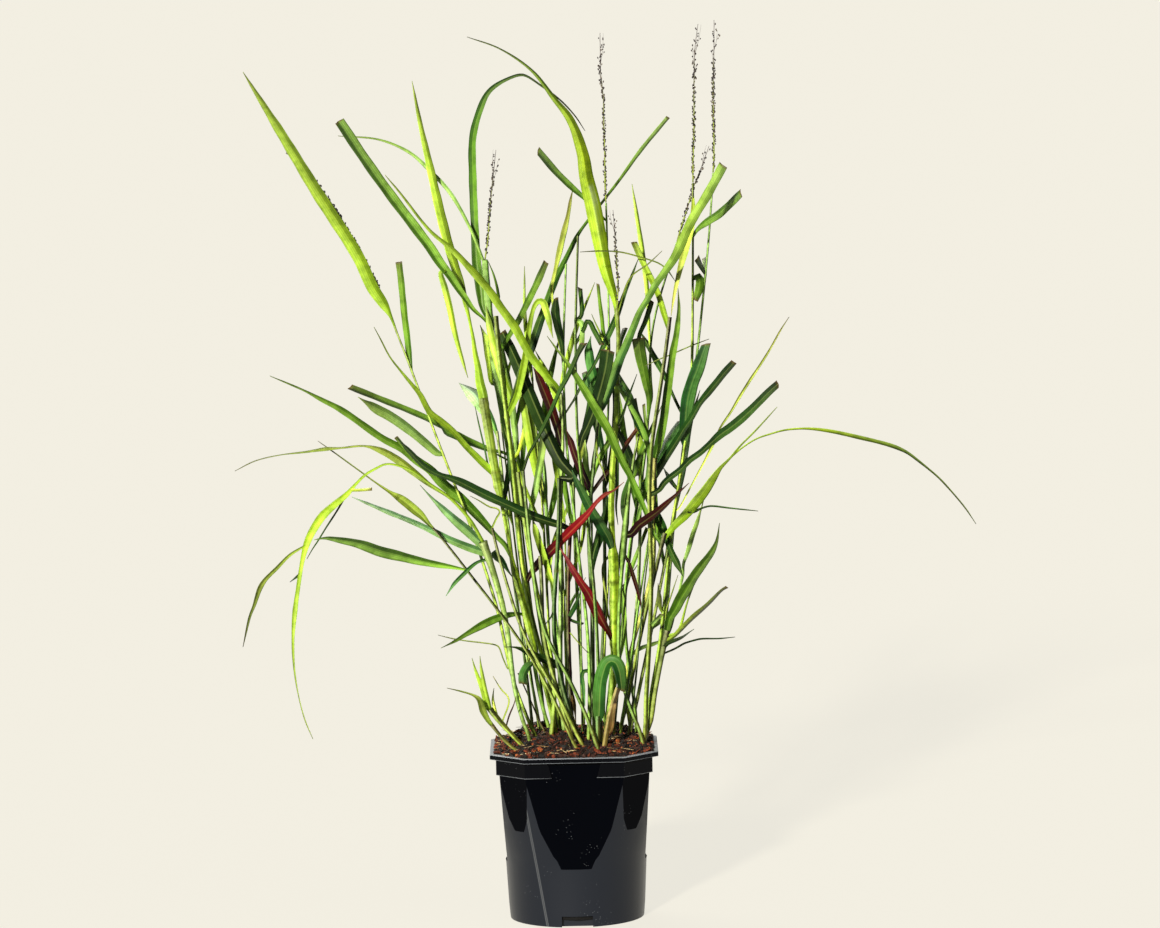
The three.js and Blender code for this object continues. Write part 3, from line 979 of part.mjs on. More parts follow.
function turned(points, segments) {
  const geometry = new THREE.LatheGeometry(points.map(([r, z]) => new THREE.Vector2(r, z)), segments);
  geometry.rotateX(Math.PI / 2);
  return solid(geometry);
}

function disc(radius, bottom, top, segments = 24) {
  const geometry = new THREE.CylinderGeometry(radius, radius, top - bottom, segments);
  return solid(upright(geometry, bottom, top - bottom));
}

function block(wide, deep, bottom, top, y = 0) {
  const geometry = new THREE.BoxGeometry(wide, deep, top - bottom);
  geometry.translate(0, y, (top + bottom) / 2);
  return solid(geometry);
}

function facetInradius(facet, height, bodyTop) {
  const share = (height - facet.foot) / (bodyTop - facet.foot);
  return THREE.MathUtils.lerp(facet.footIn, facet.topIn, share);
}

// the pot's form, drawn in by the given thickness, from one height to another
function potForm(inset, bottom, top, segments = potSegments) {
  const wallPoints = [[0, bottom]];
  const heights = [bottom, ...pot.profile.map((p) => p[1]).filter((z) => z > bottom + 1 && z < top - 1), top];
  const outline = pot.profile.map(([r, z]) => [z, r]);
  heights.forEach((z) => wallPoints.push([readOff(outline, z) - inset, z]));
  wallPoints.push([0, top]);
  let form = turned(wallPoints, segments);
  const bodyTop = pot.height - pot.collar.depth - pot.lip.depth;
  [[pot.flatFacet, 0], [pot.cornerFacet, Math.PI / 4]].forEach(([facet, turnBy]) => {
    const low = Math.max(facet.foot, bottom);
    const inner = squareFrustum(facetInradius(facet, low, bodyTop) - inset,
      facetInradius(facet, top + 1, bodyTop) - inset, low, top + 1, turnBy);
    form = form.subtract(block(260, 260, low, top + 0.5).subtract(inner));
  });
  return form;
}

function makePot() {
  const { lip, collar, bore, foot, wall, drains } = pot;
  const lipFoot = pot.height - lip.depth;
  const collarFoot = lipFoot - collar.depth;
  let outside = potForm(0, 0, lipFoot + 1);
  let band = octagon(collar.flat, collar.corner, collarFoot, lipFoot + 1);
  for (let k = 0; k < 4; k += 1) {
    const gapShape = new THREE.Shape([
      new THREE.Vector2(-collar.notch - collar.notchSlant, lipFoot + 2),
      new THREE.Vector2(-collar.notch, collarFoot - 1),
      new THREE.Vector2(collar.notch, collarFoot - 1),
      new THREE.Vector2(collar.notch + collar.notchSlant, lipFoot + 2),
    ]);
    const gap = new THREE.ExtrudeGeometry(gapShape, { depth: 20, bevelEnabled: false });
    gap.rotateX(Math.PI / 2);
    gap.translate(0, 0.6 - pot.flatFacet.topIn, 0);
    gap.rotateZ(k * Math.PI / 2);
    band = band.subtract(solid(gap));
  }
  outside = outside.add(band).add(octagon(lip.flat, lip.corner, lipFoot, pot.height));
  const boreFoot = pot.height - bore.depth;
  const hollow = potForm(wall, foot.recess + wall, boreFoot + 1)
    .add(octagon(bore.flat - wall, bore.corner - wall, boreFoot, pot.height + 1));
  let shell = outside.subtract(hollow);
  const recess = disc(pot.profile[0][0] - foot.ring, -1, foot.recess, 40)
    .subtract(disc(foot.boss, -2, foot.recess + 1));
  shell = shell.subtract(recess);
  for (let k = 0; k < foot.notches; k += 1) {
    const angle = (k / foot.notches) * 2 * Math.PI;
    const notch = new THREE.BoxGeometry(foot.notchWide, 40, foot.notchHigh + 1);
    notch.translate(0, -(pot.profile[0][0] - foot.notchDeep + 20), (foot.notchHigh - 1) / 2);
    notch.rotateZ(angle);
    shell = shell.subtract(solid(notch));
  }
  for (let k = 0; k < drains.count; k += 1) {
    const drain = upright(new THREE.CylinderGeometry(drains.radius, drains.radius, 30, 10), -10, 30);
    drain.translate(0, -drains.at, 0);
    drain.rotateZ((k + 0.5) * 2 * Math.PI / drains.count);
    shell = shell.subtract(solid(drain));
  }
  return shell;
}

// ---------------------------------------------------------------- potting mix
function makeSoil(stemsInIt) {
  const rings = [];
  const radius = 100;
  for (let k = 0; k <= soil.rings; k += 1) {
    const r = Math.max(0.5, (k / soil.rings) * radius);
    const ring = [];
    for (let j = 0; j < soil.segments; j += 1) {
      const angle = (j / soil.segments) * 2 * Math.PI;
      const crown = THREE.MathUtils.lerp(soil.crown, soil.edge, THREE.MathUtils.smoothstep(r, 5, 74));
      const bump = k === 0 ? 0 : (draw() - 0.5) * 3.4;
      ring.push(new THREE.Vector3(r * Math.cos(angle), r * Math.sin(angle), crown + bump));
    }
    rings.unshift(ring);
  }
  const floor = pot.foot.recess + pot.wall + soil.gap;
  rings.unshift(rings[0].map((p) => new THREE.Vector3(p.x, p.y, floor)));
  const mound = solid(skin(rings));
  const boreFoot = pot.height - pot.bore.depth;
  const cavity = potForm(pot.wall + soil.gap, floor, boreFoot + 1, soil.segments)
    .add(octagon(pot.bore.flat - pot.wall - soil.gap, pot.bore.corner - pot.wall - soil.gap, boreFoot, 200));
  let mix = mound.intersect(cavity);
  stemsInIt.forEach((strand) => {
    mix = mix.subtract(stemHole(strand));
  });
  return mix;
}

// ---------------------------------------------------------------- the finished group
const finishes = {
  pot: { color: 0x0b0c10, roughness: 0.32, metalness: 0 },
  soil: { color: 0x3a2417, roughness: 0.95, metalness: 0 },
  blade: { roughness: 0.5, metalness: 0 },
  head: { color: colours.seed, roughness: 0.8, metalness: 0 },
};
const group = new THREE.Group();

function place(name, manifold, finish) {
  const mesh = new THREE.Mesh(surface(manifold), new THREE.MeshStandardMaterial(finish));
  mesh.name = name;
  group.add(mesh);
}

place('pot', makePot(), finishes.pot);
place('soil', makeSoil(strands.filter((strand) => strand.kind === 'stem')), finishes.soil);
plants.forEach((plant) => {
  const own = strands.filter((strand) => strand.node === plant.name);
  const whole = own.map((strand) => (strand.kind === 'stem' ? stemSolid(strand) : bladeSolid(strand)))
    .reduce((sum, next) => sum.add(next));
  place(plant.name, whole, { ...finishes.blade, color: colours[plant.colour] });
});
heads.forEach((plant) => {
  const own = strands.filter((strand) => strand.node === plant.name);
  place(plant.name, own.map(headSolid).reduce((sum, next) => sum.add(next)), finishes.head);
});

export default group;
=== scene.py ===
import json
import math
import bpy
import numpy as np
from mathutils import Matrix, Vector

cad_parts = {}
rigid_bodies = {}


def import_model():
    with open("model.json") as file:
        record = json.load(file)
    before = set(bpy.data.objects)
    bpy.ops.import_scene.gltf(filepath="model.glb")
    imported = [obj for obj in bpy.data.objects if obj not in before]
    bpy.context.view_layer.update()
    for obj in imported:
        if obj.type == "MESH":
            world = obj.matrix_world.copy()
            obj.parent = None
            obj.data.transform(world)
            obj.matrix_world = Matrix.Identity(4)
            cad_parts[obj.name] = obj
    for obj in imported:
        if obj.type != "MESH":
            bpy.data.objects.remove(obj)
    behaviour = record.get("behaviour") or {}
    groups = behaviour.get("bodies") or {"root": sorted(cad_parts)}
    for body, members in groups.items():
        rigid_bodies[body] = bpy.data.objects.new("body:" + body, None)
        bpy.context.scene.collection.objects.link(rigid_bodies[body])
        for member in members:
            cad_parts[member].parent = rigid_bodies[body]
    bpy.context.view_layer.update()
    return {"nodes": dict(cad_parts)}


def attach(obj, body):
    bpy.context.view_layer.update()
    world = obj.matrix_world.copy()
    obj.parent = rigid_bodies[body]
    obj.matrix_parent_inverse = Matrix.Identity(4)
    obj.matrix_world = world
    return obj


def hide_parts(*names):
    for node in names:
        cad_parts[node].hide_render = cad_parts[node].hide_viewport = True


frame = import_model()
mm = 0.001
bpy.ops.object.select_all(action='DESELECT')
print('frame loaded:', len(frame['nodes']), 'nodes')

# ---- drawing of the clump ----
# Stems and blades are set out on a front elevation drawn from eye height, in millimetres: across to the right
# and up from the ground in the upright plane through the pot. A drawn point is carried along its line of sight
# to its own depth, so depths can change while the front view stays as drawn.
eye = {'aim': (12, 0, 457), 'up': 464, 'distance': 5299, 'tilt': 6, 'roll': 1.2}
tiltAngle = math.radians(eye['tilt'])
rollAngle = math.radians(eye['roll'])
forward = np.array([0, math.cos(tiltAngle), -math.sin(tiltAngle)])
levelUp = np.array([0, math.sin(tiltAngle), math.cos(tiltAngle)])
sheetUp = levelUp * math.cos(rollAngle) + np.array([math.sin(rollAngle), 0, 0])
sheetRight = np.array([math.cos(rollAngle), 0, 0]) - levelUp * math.sin(rollAngle)
eyePoint = np.array(eye['aim']) - forward * eye['distance']


def at(across, up, depth):
    across, up, depth = (np.asarray(v, dtype=float)[..., None] for v in (across, up, depth))
    line = forward * eye['distance'] + sheetRight * across + sheetUp * (up - eye['up'])
    return eyePoint + line * ((depth - eyePoint[1]) / line[..., 1:2])


def drawn(point):
    away = np.array(point) - eyePoint
    scale = eye['distance'] / (away @ forward)
    return [(away @ sheetRight) * scale, (away @ sheetUp) * scale + eye['up']]


clump = {
    'footHeight': 138, 'footReach': 66, 'footInset': 8, 'mostRight': 63, 'easeFrom': 190, 'rightLean': 0.6,
    'boreCorner': 88.5,  # half width of the pot's bore across its cut corners
    'bladeThickness': 0.7, 'bladeTip': 1.2, 'bladeTurn': 24, 'reachScale': 2.2, 'reachBend': 1.3,
    'skipNear': 4,  # drawn points of a blade this close to where it leaves are passed over
    'headGap': 0.45, 'headStem': 1.3, 'headBead': 1.15, 'headStep': 10.5, 'spray': 2.4, 'sprayDepth': 7,
    'clearance': 2.1, 'crossingMargin': 2.2, 'beadRoom': 20, 'runGap': 3, 'nearRoot': 4, 'sameCrossing': 5,
    'rounds': 1200, 'recheckEvery': 200, 'tight': 1.5, 'mostPush': 3, 'pushShare': 0.2,
    'ease': (0.3, 0.08), 'lateFrom': 0.8, 'walkStep': 6,
}
seed = 20417


def draw():
    global seed
    seed = (seed * 16807) % 2147483647
    return seed / 2147483647


def leaf(leaveAt, reach, end, colour, course, on=-1):
    return {'from': leaveAt, 'reach': reach, 'end': end, 'colour': colour, 'course': course, 'on': on}


def stem(name, colour, depths, thickness, course, leaves):
    return {'name': name, 'colour': colour, 'depths': depths, 'thickness': thickness, 'course': course,
            'leaves': leaves}


def head(name, carrier, reach, course, branches):
    return {'name': name, 'carrier': carrier, 'reach': reach, 'course': course, 'branches': branches}


plants = [
  stem('culm_01', 'green', [0, -30], [[180, 4], [611, 2]],
    [[-43, 187], [-50, 205], [-58, 222], [-65, 238], [-70, 256], [-74, 275], [-78, 300], [-80, 312],
      [-85, 328], [-92, 350], [-98, 368], [-104, 387], [-111, 407], [-119, 428], [-128, 451],
      [-137, 472], [-147, 499], [-157, 530], [-170, 560], [-180, 589], [-190, 613]], [
    leaf(598, -70, 'tip', 'bright', [[-189, 611, 3], [-197, 625, 10], [-207, 640, 12], [-222, 672, 12],
      [-262, 735, 12], [-300, 797, 9], [-337, 856]]),
    leaf(559, 26, 'cut', 'green', [[-171, 560, 4], [-171, 575, 6], [-172.5, 590], [-175, 610, 6.5],
      [-177, 630], [-179, 650], [-181, 666]]),
    leaf(471, -48, 'tip', 'light', [[-138, 471, 4], [-143, 475, 7], [-150, 481, 8], [-170, 498, 9],
      [-190, 512, 10], [-205, 520, 9], [-222, 531, 3]]),
    leaf(262, 30, 'tip', 'olive', [[-71, 258, 1.5], [-77, 270], [-81, 281], [-84, 283], [-95, 285],
      [-112, 287], [-125, 289], [-142, 293]]),
  ]),
  stem('culm_02', 'light', [-15, -60], [[190, 4], [330, 6], [386, 8]],
    [[-51, 190], [-57, 205], [-64, 224], [-67, 245], [-69, 262], [-70, 285], [-73, 305], [-76, 318],
      [-80, 335], [-86, 355], [-92, 373], [-97, 386]], [
    leaf(380, 24, 'tip', 'greyed', [[-110, 395, 10], [-125, 408, 9], [-138, 420, 6], [-150, 432, 2],
      [-160, 443]]),
    leaf(375, 60, 'tip', 'greyed', [[-110, 380, 8], [-130, 388, 7], [-150, 398], [-170, 407, 5],
      [-190, 415, 5], [-228, 431, 2]]),
    leaf(367, -26, 'tip', 'blue', [[-102, 366, 3], [-110, 360, 4], [-117, 353, 4], [-125, 345, 4],
      [-134, 332]]),
    leaf(384, 66, 'tip', 'olive', [[-110, 408, 3], [-130, 430, 3], [-150, 443, 4], [-165, 455, 7],
      [-185, 470, 8], [-200, 478, 6], [-215, 482, 2], [-240, 480, 2], [-255, 479, 4], [-275, 476, 2],
      [-300, 473, 1], [-325, 467], [-345, 457]]),
    leaf(385, -84, 'tip', 'bright', [[-110, 408, 3.5], [-130, 430], [-150, 444], [-170, 458],
      [-193, 464, 2], [-205, 459], [-215, 453], [-225, 443, 3], [-233, 434, 5], [-245, 424, 7],
      [-257, 413, 8], [-266, 400, 8], [-272, 388, 7], [-276, 375, 5], [-279, 360, 4], [-282, 340, 4],
      [-285, 318, 5], [-287, 290, 3], [-286, 262], [-282, 235, 1], [-275, 208], [-267, 189]]),
    leaf(0, 24, 'tip', 'olive', [[-276, 384, 2], [-290, 373, 3], [-303, 360], [-315, 348, 4],
      [-320, 340, 5], [-326, 322, 3], [-330, 312], [-337, 281]], 4),
    leaf(0, 24, 'tip', 'dark', [[-233, 431, 2], [-243, 417], [-254, 400], [-262, 387], [-268, 378],
      [-273, 369]], 4),
    leaf(0, 8, 'tip', 'dark', [[-283, 355, 3], [-290, 346]], 4),
    leaf(0, -10, 'cut', 'yellow', [[-228, 435, 3], [-220, 438], [-208, 439]], 4),
  ]),
  stem('culm_03', 'olive', [-62, -40], [[171, 3.5], [400, 2.5]],
    [[0, 171], [-8, 188], [-15, 204], [-23, 223], [-31, 240], [-38, 252], [-46, 266], [-54, 279],
      [-64, 293], [-73, 306], [-86, 324], [-100, 341], [-113, 357], [-127, 376], [-140, 394],
      [-147, 400]], [
    leaf(398, 44, 'tip', 'olive', [[-146, 398], [-152, 405, 4], [-158, 412, 7], [-165, 418, 9],
      [-172, 424, 9], [-180, 430, 8], [-190, 436, 3], [-205, 446, 1.5], [-216, 454], [-245, 475],
      [-262, 487]]),
    leaf(357, -52, 'tip', 'leaf', [[-115, 357, 2], [-128, 361, 4], [-140, 363, 6], [-160, 367, 8],
      [-180, 372, 10], [-200, 377, 11], [-220, 384, 9], [-240, 388, 6], [-255, 390], [-266, 388]]),
    leaf(268, -14, 'cut', 'blue', [[-52, 262, 8], [-57, 253, 8], [-57, 244]]),
  ]),
  stem('culm_04', 'olive', [-50, -35], [[178, 4], [400, 3]],
    [[4, 178], [-5, 195], [-12, 215], [-21, 232], [-30, 247], [-38, 258], [-53, 285], [-57, 295],
      [-62, 308], [-66, 318], [-70, 337], [-76, 352], [-80, 366], [-84, 382], [-88, 400]], [
    leaf(398, 12, 'tip', 'olive', [[-84, 409, 2], [-80, 418], [-90, 421], [-102, 428], [-110, 432]]),
    leaf(376, 14, 'tip', 'blue', [[-87, 376, 4], [-82, 370, 8], [-78, 366], [-74, 360], [-67, 350]]),
  ]),
  stem('culm_05', 'bright', [5, 10], [[186, 5], [280, 5], [300, 8], [350, 8], [372, 4],
    [425, 4], [440, 9], [530, 10]],
    [[-23, 186], [-26, 202], [-29, 218], [-33, 238], [-37, 252], [-43, 268], [-47, 282], [-50, 296],
      [-53, 312], [-57, 326], [-61, 342], [-66, 357], [-69, 368], [-71, 385], [-73, 400], [-77, 420],
      [-81, 435], [-85, 455], [-88, 475], [-90, 490], [-93, 508], [-97, 530]], [
    leaf(373, -66, 'tip', 'green', [[-75, 383, 5], [-85, 393, 5], [-93, 402, 7], [-104, 414, 9],
      [-118, 428, 10], [-138, 445, 10], [-150, 458, 9], [-163, 467], [-180, 480, 7], [-197, 489, 7],
      [-239, 518, 6], [-260, 529, 4], [-275, 537, 2], [-310, 552]]),
    leaf(0, -14, 'cut', 'green', [[-150, 458, 6], [-158, 463, 6], [-167, 470, 6], [-175, 480, 4],
      [-184, 491]], 0),
    leaf(526, 60, 'tip', 'bright', [[-97, 533, 9.5], [-100, 545, 9], [-102, 560, 6.5], [-105, 575, 5],
      [-107, 590, 3.5], [-109, 600, 3], [-111, 610, 3], [-114, 622, 4.5], [-117, 635, 6.5],
      [-120, 645, 8], [-125, 660, 9], [-131, 680, 9.5], [-140, 715, 9.5], [-150, 760, 7.5],
      [-160, 805, 4.5], [-168, 847]]),
    leaf(455, -60, 'tip', 'bright', [[-95, 463, 7], [-100, 468, 7], [-107, 475], [-113, 481, 6],
      [-128, 498, 6], [-140, 508, 6], [-150, 516, 6], [-160, 534, 5], [-165, 540, 4], [-180, 558, 2],
      [-190, 571, 1.5], [-200, 590], [-206, 601]]),
    leaf(440, 16, 'tip', 'dark', [[-91, 460, 2], [-95, 478], [-99, 495], [-102, 508], [-105, 522]]),
    leaf(312, -44, 'tip', 'green', [[-59, 314, 3], [-72, 313, 6], [-85, 309, 8], [-100, 302, 8],
      [-112, 295, 5], [-125, 287, 3], [-139, 280]]),
  ]),
  stem('culm_06', 'light', [25, 40], [[190, 3], [497, 3]],
    [[-38, 190], [-42, 215], [-47, 240], [-52, 265], [-58, 290], [-62, 315], [-65, 340], [-67, 365],
      [-69, 385], [-72, 405], [-75, 425], [-77, 445], [-79, 465], [-81, 485], [-83, 497]], [
    leaf(494, 34, 'tip', 'silvery', [[-88, 507, 6], [-97, 520, 12], [-107, 534, 14], [-117, 542, 8],
      [-121, 545]]),
  ]),
  stem('culm_07', 'dark', [35, 60], [[198, 4], [480, 5], [500, 7], [560, 8], [640, 8], [668, 6]],
    [[-31, 198], [-36, 214], [-40, 230], [-44, 250], [-46, 264], [-49, 285], [-50, 300], [-53, 330],
      [-57, 350], [-60, 370], [-62, 390], [-63, 410], [-65, 430], [-68, 450], [-70, 465], [-72, 480],
      [-74, 495], [-76, 510], [-79, 525], [-82, 540], [-84, 555], [-87, 575], [-90, 600], [-92, 625],
      [-94, 650], [-95, 668]], [
    leaf(604, -60, 'cut', 'leaf', [[-98, 611, 3], [-106, 618, 4], [-114, 629, 6], [-122, 640, 7],
      [-130, 652, 8], [-140, 665, 9], [-150, 680, 10], [-165, 700, 10], [-190, 733], [-215, 768],
      [-241, 807]]),
    leaf(0, -8, 'tip', 'bright', [[-139, 656, 5], [-135, 640, 6.5], [-130, 620, 6.5], [-126, 600, 5.5],
      [-121, 580, 4.5], [-116, 563, 3], [-112, 550]], 0),
    leaf(610, 70, 'tip', 'bowed', [[-97, 620, 6], [-99, 635, 10], [-101, 650, 10], [-103, 662, 9.5],
      [-105, 700, 8], [-107, 750, 8], [-107, 790, 7.5], [-101, 815, 7], [-92, 835, 5.5], [-80, 845, 4],
      [-60, 853, 3], [-54, 852, 2.5], [-40, 843, 2], [-20, 828], [-5, 812], [5, 797]]),
    leaf(545, 30, 'tip', 'bright', [[-88, 545, 4], [-90, 560, 7], [-92, 575, 8], [-95, 590, 7],
      [-100, 603, 3]]),
    leaf(628, -14, 'tip', 'green', [[-82, 628, 3], [-82, 635, 3], [-84, 645], [-87, 655], [-92, 667]]),
    leaf(660, 58, 'tip', 'light', [[-110, 700, 3], [-130, 735, 4], [-150, 757, 4], [-170, 775],
      [-200, 788, 2], [-242, 792]]),
    leaf(566, -40, 'cut', 'green', [[-85, 567, 3], [-80, 577], [-70, 594, 5], [-62, 607, 6], [-55, 621],
      [-48, 635], [-41, 650, 7], [-34, 666, 6]]),
    leaf(474, -64, 'cut', 'green', [[-78, 476, 3], [-85, 477, 4], [-95, 480, 6], [-105, 484, 7],
      [-115, 488, 8], [-125, 493, 9], [-133, 496, 7], [-133, 498, 6], [-150, 508], [-170, 517, 6],
      [-190, 525], [-230, 541]]),
    leaf(466, -30, 'tip', 'green', [[-71, 468, 2], [-78, 471], [-88, 476], [-97, 480]]),
  ]),
  stem('culm_08', 'bright', [18, 25], [[190, 4.5], [612, 5]],
    [[-17, 190], [-21, 208], [-25, 228], [-31, 248], [-37, 268], [-42, 288], [-48, 308], [-53, 330],
      [-57, 355], [-60, 385], [-63, 415], [-65, 445], [-68, 475], [-71, 500], [-75, 525], [-79, 550],
      [-81, 572], [-82, 592], [-84, 612]], [
    leaf(508, 50, 'cut', 'sage', [[-69, 520, 6], [-66, 530], [-61, 545, 8], [-57, 560], [-48, 583, 9],
      [-44, 595], [-40, 607, 8], [-35, 620], [-31, 632], [-28, 640, 7], [-25, 648, 7], [-20, 658, 6],
      [-15, 668, 5], [-10, 678, 5], [-3, 692, 4], [3, 701, 3], [20, 723, 2.5], [40, 749, 3],
      [60, 777, 4], [88, 811]]),
    leaf(510, -30, 'tip', 'bright', [[-64, 530, 6], [-61, 540], [-57, 558, 7], [-54, 575, 7],
      [-52, 590, 5], [-50, 605, 5], [-47, 618, 4], [-43, 626, 5], [-38, 627, 7], [-34, 618, 7],
      [-31, 608, 6], [-29, 598, 4], [-27, 590]]),
    leaf(512, 18, 'tip', 'bright', [[-70, 530, 6], [-75, 545, 8], [-80, 560, 9], [-84, 575, 9],
      [-88, 590, 8], [-91, 605, 6], [-94, 622, 3]]),
    leaf(468, 24, 'tip', 'yellow', [[-62, 475, 3], [-59, 485], [-54, 505], [-51, 520], [-47, 500, 5],
      [-42, 470, 3], [-38, 445], [-34, 415], [-31, 390, 1.5]]),
    leaf(345, -46, 'tip', 'ruby', [[-50, 353, 5], [-45, 360, 8], [-38, 368, 9], [-30, 376, 10],
      [-22, 384, 9], [-14, 392, 9], [-6, 400, 9], [2, 408, 8], [10, 417, 5], [16, 425, 4], [26, 434, 4],
      [33, 437, 2], [44, 446]]),
    leaf(0, -8, 'tip', 'green', [[-52, 530, 4], [-46, 515], [-38, 503]], 3),
  ]),
  stem('culm_09', 'bright', [-12, -10], [[188, 5], [456, 4]],
    [[-29, 188], [-27, 205], [-25, 225], [-24, 245], [-26, 262], [-30, 280], [-35, 298], [-39, 315],
      [-43, 335], [-47, 355], [-51, 378], [-55, 400], [-58, 420], [-60, 438], [-62, 456]], [
  ]),
  stem('culm_10', 'green', [-60, -20], [[171, 4], [457, 3.4]],
    [[20, 171], [14, 192], [10, 206], [3, 220], [-3, 232], [-9, 246], [-15, 258], [-22, 270],
      [-31, 284], [-38, 298], [-42, 315], [-44, 335], [-46, 352], [-49, 375], [-52, 400], [-54, 425],
      [-57, 457]], [
    leaf(455, -14, 'cut', 'dark', [[-52, 472, 3], [-45, 485, 3], [-38, 498, 4], [-31, 512, 4],
      [-20, 537, 4], [-13, 550, 5], [-7, 562, 5], [-2, 574, 5], [4, 585, 6]]),
  ]),
  stem('culm_11', 'olive', [-30, -30], [[186, 5], [372, 4]],
    [[-8, 186], [-13, 205], [-19, 228], [-26, 250], [-33, 270], [-38, 290], [-39, 308], [-37, 325],
      [-38, 342], [-39, 358], [-40, 372]], [
  ]),
  stem('culm_12', 'dark', [-40, -15], [[178, 5], [450, 4]],
    [[3, 178], [-6, 200], [-13, 225], [-20, 250], [-25, 272], [-28, 295], [-27, 315], [-25, 340],
      [-23, 365], [-21, 390], [-21, 410], [-21, 435], [-21, 450]], [
    leaf(448, 34, 'cut', 'night', [[-6, 450, 9], [-20, 468, 12], [-34, 496, 13], [-48, 528, 13],
      [-60, 558, 12], [-70, 580, 11], [-78, 596, 9]]),
    leaf(335, 22, 'tip', 'bright', [[-27, 343, 4], [-30, 352, 5], [-33, 362, 6], [-36, 372, 6],
      [-39, 380, 7], [-42, 390, 7], [-45, 400, 6], [-48, 411, 5]]),
    leaf(320, -12, 'tip', 'dark', [[-30, 309, 2], [-37, 302]]),
  ]),
  stem('culm_13', 'light', [10, -5], [[188, 6], [535, 3]],
    [[-14, 188], [-17, 210], [-20, 232], [-21, 255], [-20, 280], [-19, 305], [-19, 335], [-19, 365],
      [-20, 390], [-20, 420], [-19, 440], [-18, 460], [-17, 480], [-16, 495], [-17, 512], [-19, 535]], [
    leaf(531, -58, 'tip', 'bright', [[-24, 540, 7.5], [-33, 550, 8], [-42, 562, 8], [-50, 573, 8],
      [-57, 585, 8], [-65, 600, 8.5], [-72, 610, 8.5], [-80, 621, 8], [-90, 636, 7.5],
      [-100, 648, 7.5], [-110, 659, 7], [-120, 670, 6], [-130, 680, 5], [-150, 697, 3], [-180, 735, 2],
      [-195, 753]]),
    leaf(482, -34, 'tip', 'maroon', [[-19, 485, 6], [-22, 498, 8], [-27, 514, 9], [-32, 528, 10],
      [-37, 540, 9], [-42, 552, 7], [-47, 561, 4]]),
  ]),
  stem('culm_14', 'yellow', [-35, 10], [[178, 4], [664, 2.2]],
    [[8, 178], [9, 200], [10, 225], [10, 250], [9, 275], [8, 300], [5, 325], [2, 345], [-1, 368],
      [-4, 395], [-6, 415], [-8, 435], [-11, 458], [-14, 480], [-15, 500], [-15, 525], [-17, 548],
      [-18, 572], [-16, 600], [-15, 625], [-15, 650], [-14, 664]], [
    leaf(570, 20, 'tip', 'yellow', [[-22, 590, 2], [-26, 615, 2], [-28, 640, 3], [-24, 660, 4],
      [-20, 678, 6], [-16, 695, 6], [-12, 712, 4], [-9, 730, 3], [-7, 739]]),
    leaf(560, -24, 'cut', 'dark', [[-18, 583, 5], [-22, 600, 8], [-25, 617, 9], [-24, 630, 4]]),
    leaf(514, 34, 'tip', 'dark', [[-10, 522, 2], [-5, 530], [3, 546, 3], [14, 563, 3], [19, 573, 4],
      [28, 592, 6], [37, 613, 6], [45, 636, 4], [50, 648, 3], [59, 671]]),
    leaf(259, -18, 'tip', 'blue', [[4, 257, 4], [2, 253, 4], [3, 245, 4], [4, 235, 3], [5, 222]]),
  ]),
  stem('culm_15', 'purple', [-5, 5], [[184, 4.4], [405, 4]],
    [[-7, 184], [-8, 205], [-9, 230], [-10, 252], [-11, 275], [-12, 300], [-12, 330], [-12, 355],
      [-11, 375], [-10, 392], [-9, 405]], [
    leaf(400, -56, 'tip', 'dark', [[-20, 403, 7], [-30, 406, 8], [-50, 413, 9], [-70, 422, 9],
      [-90, 431, 9], [-110, 441, 9], [-120, 446, 8], [-130, 450, 6], [-140, 453, 5], [-155, 461, 6],
      [-170, 476, 5], [-184, 491]]),
    leaf(254, -34, 'tip', 'dark', [[-15, 258, 5], [-28, 266, 8], [-40, 271, 8], [-50, 275, 7],
      [-58, 279, 4], [-66, 281, 2], [-76, 281]]),
    leaf(308, -16, 'tip', 'blue', [[-9, 312, 4], [-6, 320, 5], [-3, 327, 4], [1, 338]]),
    leaf(309, 10, 'cut', 'blue', [[-5, 306, 3], [3, 304]]),
    leaf(300, -16, 'tip', 'olive', [[-8, 293, 1.2], [-2, 286], [8, 275]]),
    leaf(238, -8, 'tip', 'tan', [[-6, 224, 4], [-4, 205, 3]]),
  ]),
  stem('culm_16', 'dark', [-15, 15], [[178, 5], [512, 3]],
    [[16, 178], [13, 208], [12, 240], [13, 270], [13, 300], [13, 325], [11, 350], [9, 370], [7, 390],
      [8, 410], [11, 437], [14, 455], [16, 480], [17, 500], [18, 512]], [
    leaf(437, -18, 'tip', 'purple', [[6, 447, 7], [2, 455, 7], [-2, 465, 8], [-6, 475, 7],
      [-10, 488, 6], [-14, 499, 3]]),
    leaf(425, 14, 'tip', 'light', [[10, 440, 6], [8, 450, 6], [6, 462, 7], [6, 475, 5], [5, 490]]),
    leaf(440, 24, 'tip', 'yellow', [[0, 465, 4], [2, 475, 4], [3, 485, 5], [5, 495]]),
    leaf(436, 20, 'cut', 'maroon', [[21, 448, 4], [29, 458]]),
    leaf(495, -14, 'tip', 'olive', [[16, 487, 2], [18, 470], [24, 455], [26, 447]]),
    leaf(508, -60, 'cut', 'rising', [[19, 515, 6], [24, 525, 7], [30, 540, 8], [35, 555, 9],
      [40, 570, 9], [46, 583, 8], [53, 600, 7], [60, 617, 6], [68, 630, 6], [75, 643, 7], [85, 657, 7],
      [95, 672, 9], [110, 705, 9], [128, 735, 9], [143, 763]]),
    leaf(508, 20, 'tip', 'blue', [[16, 540, 8], [13, 553], [10, 568, 10], [9, 580, 8], [11, 592, 4]]),
    leaf(352, 30, 'tip', 'dark', [[14, 375, 8], [19, 390, 9], [22, 402, 10], [26, 418, 6], [27, 440, 5]]),
  ]),
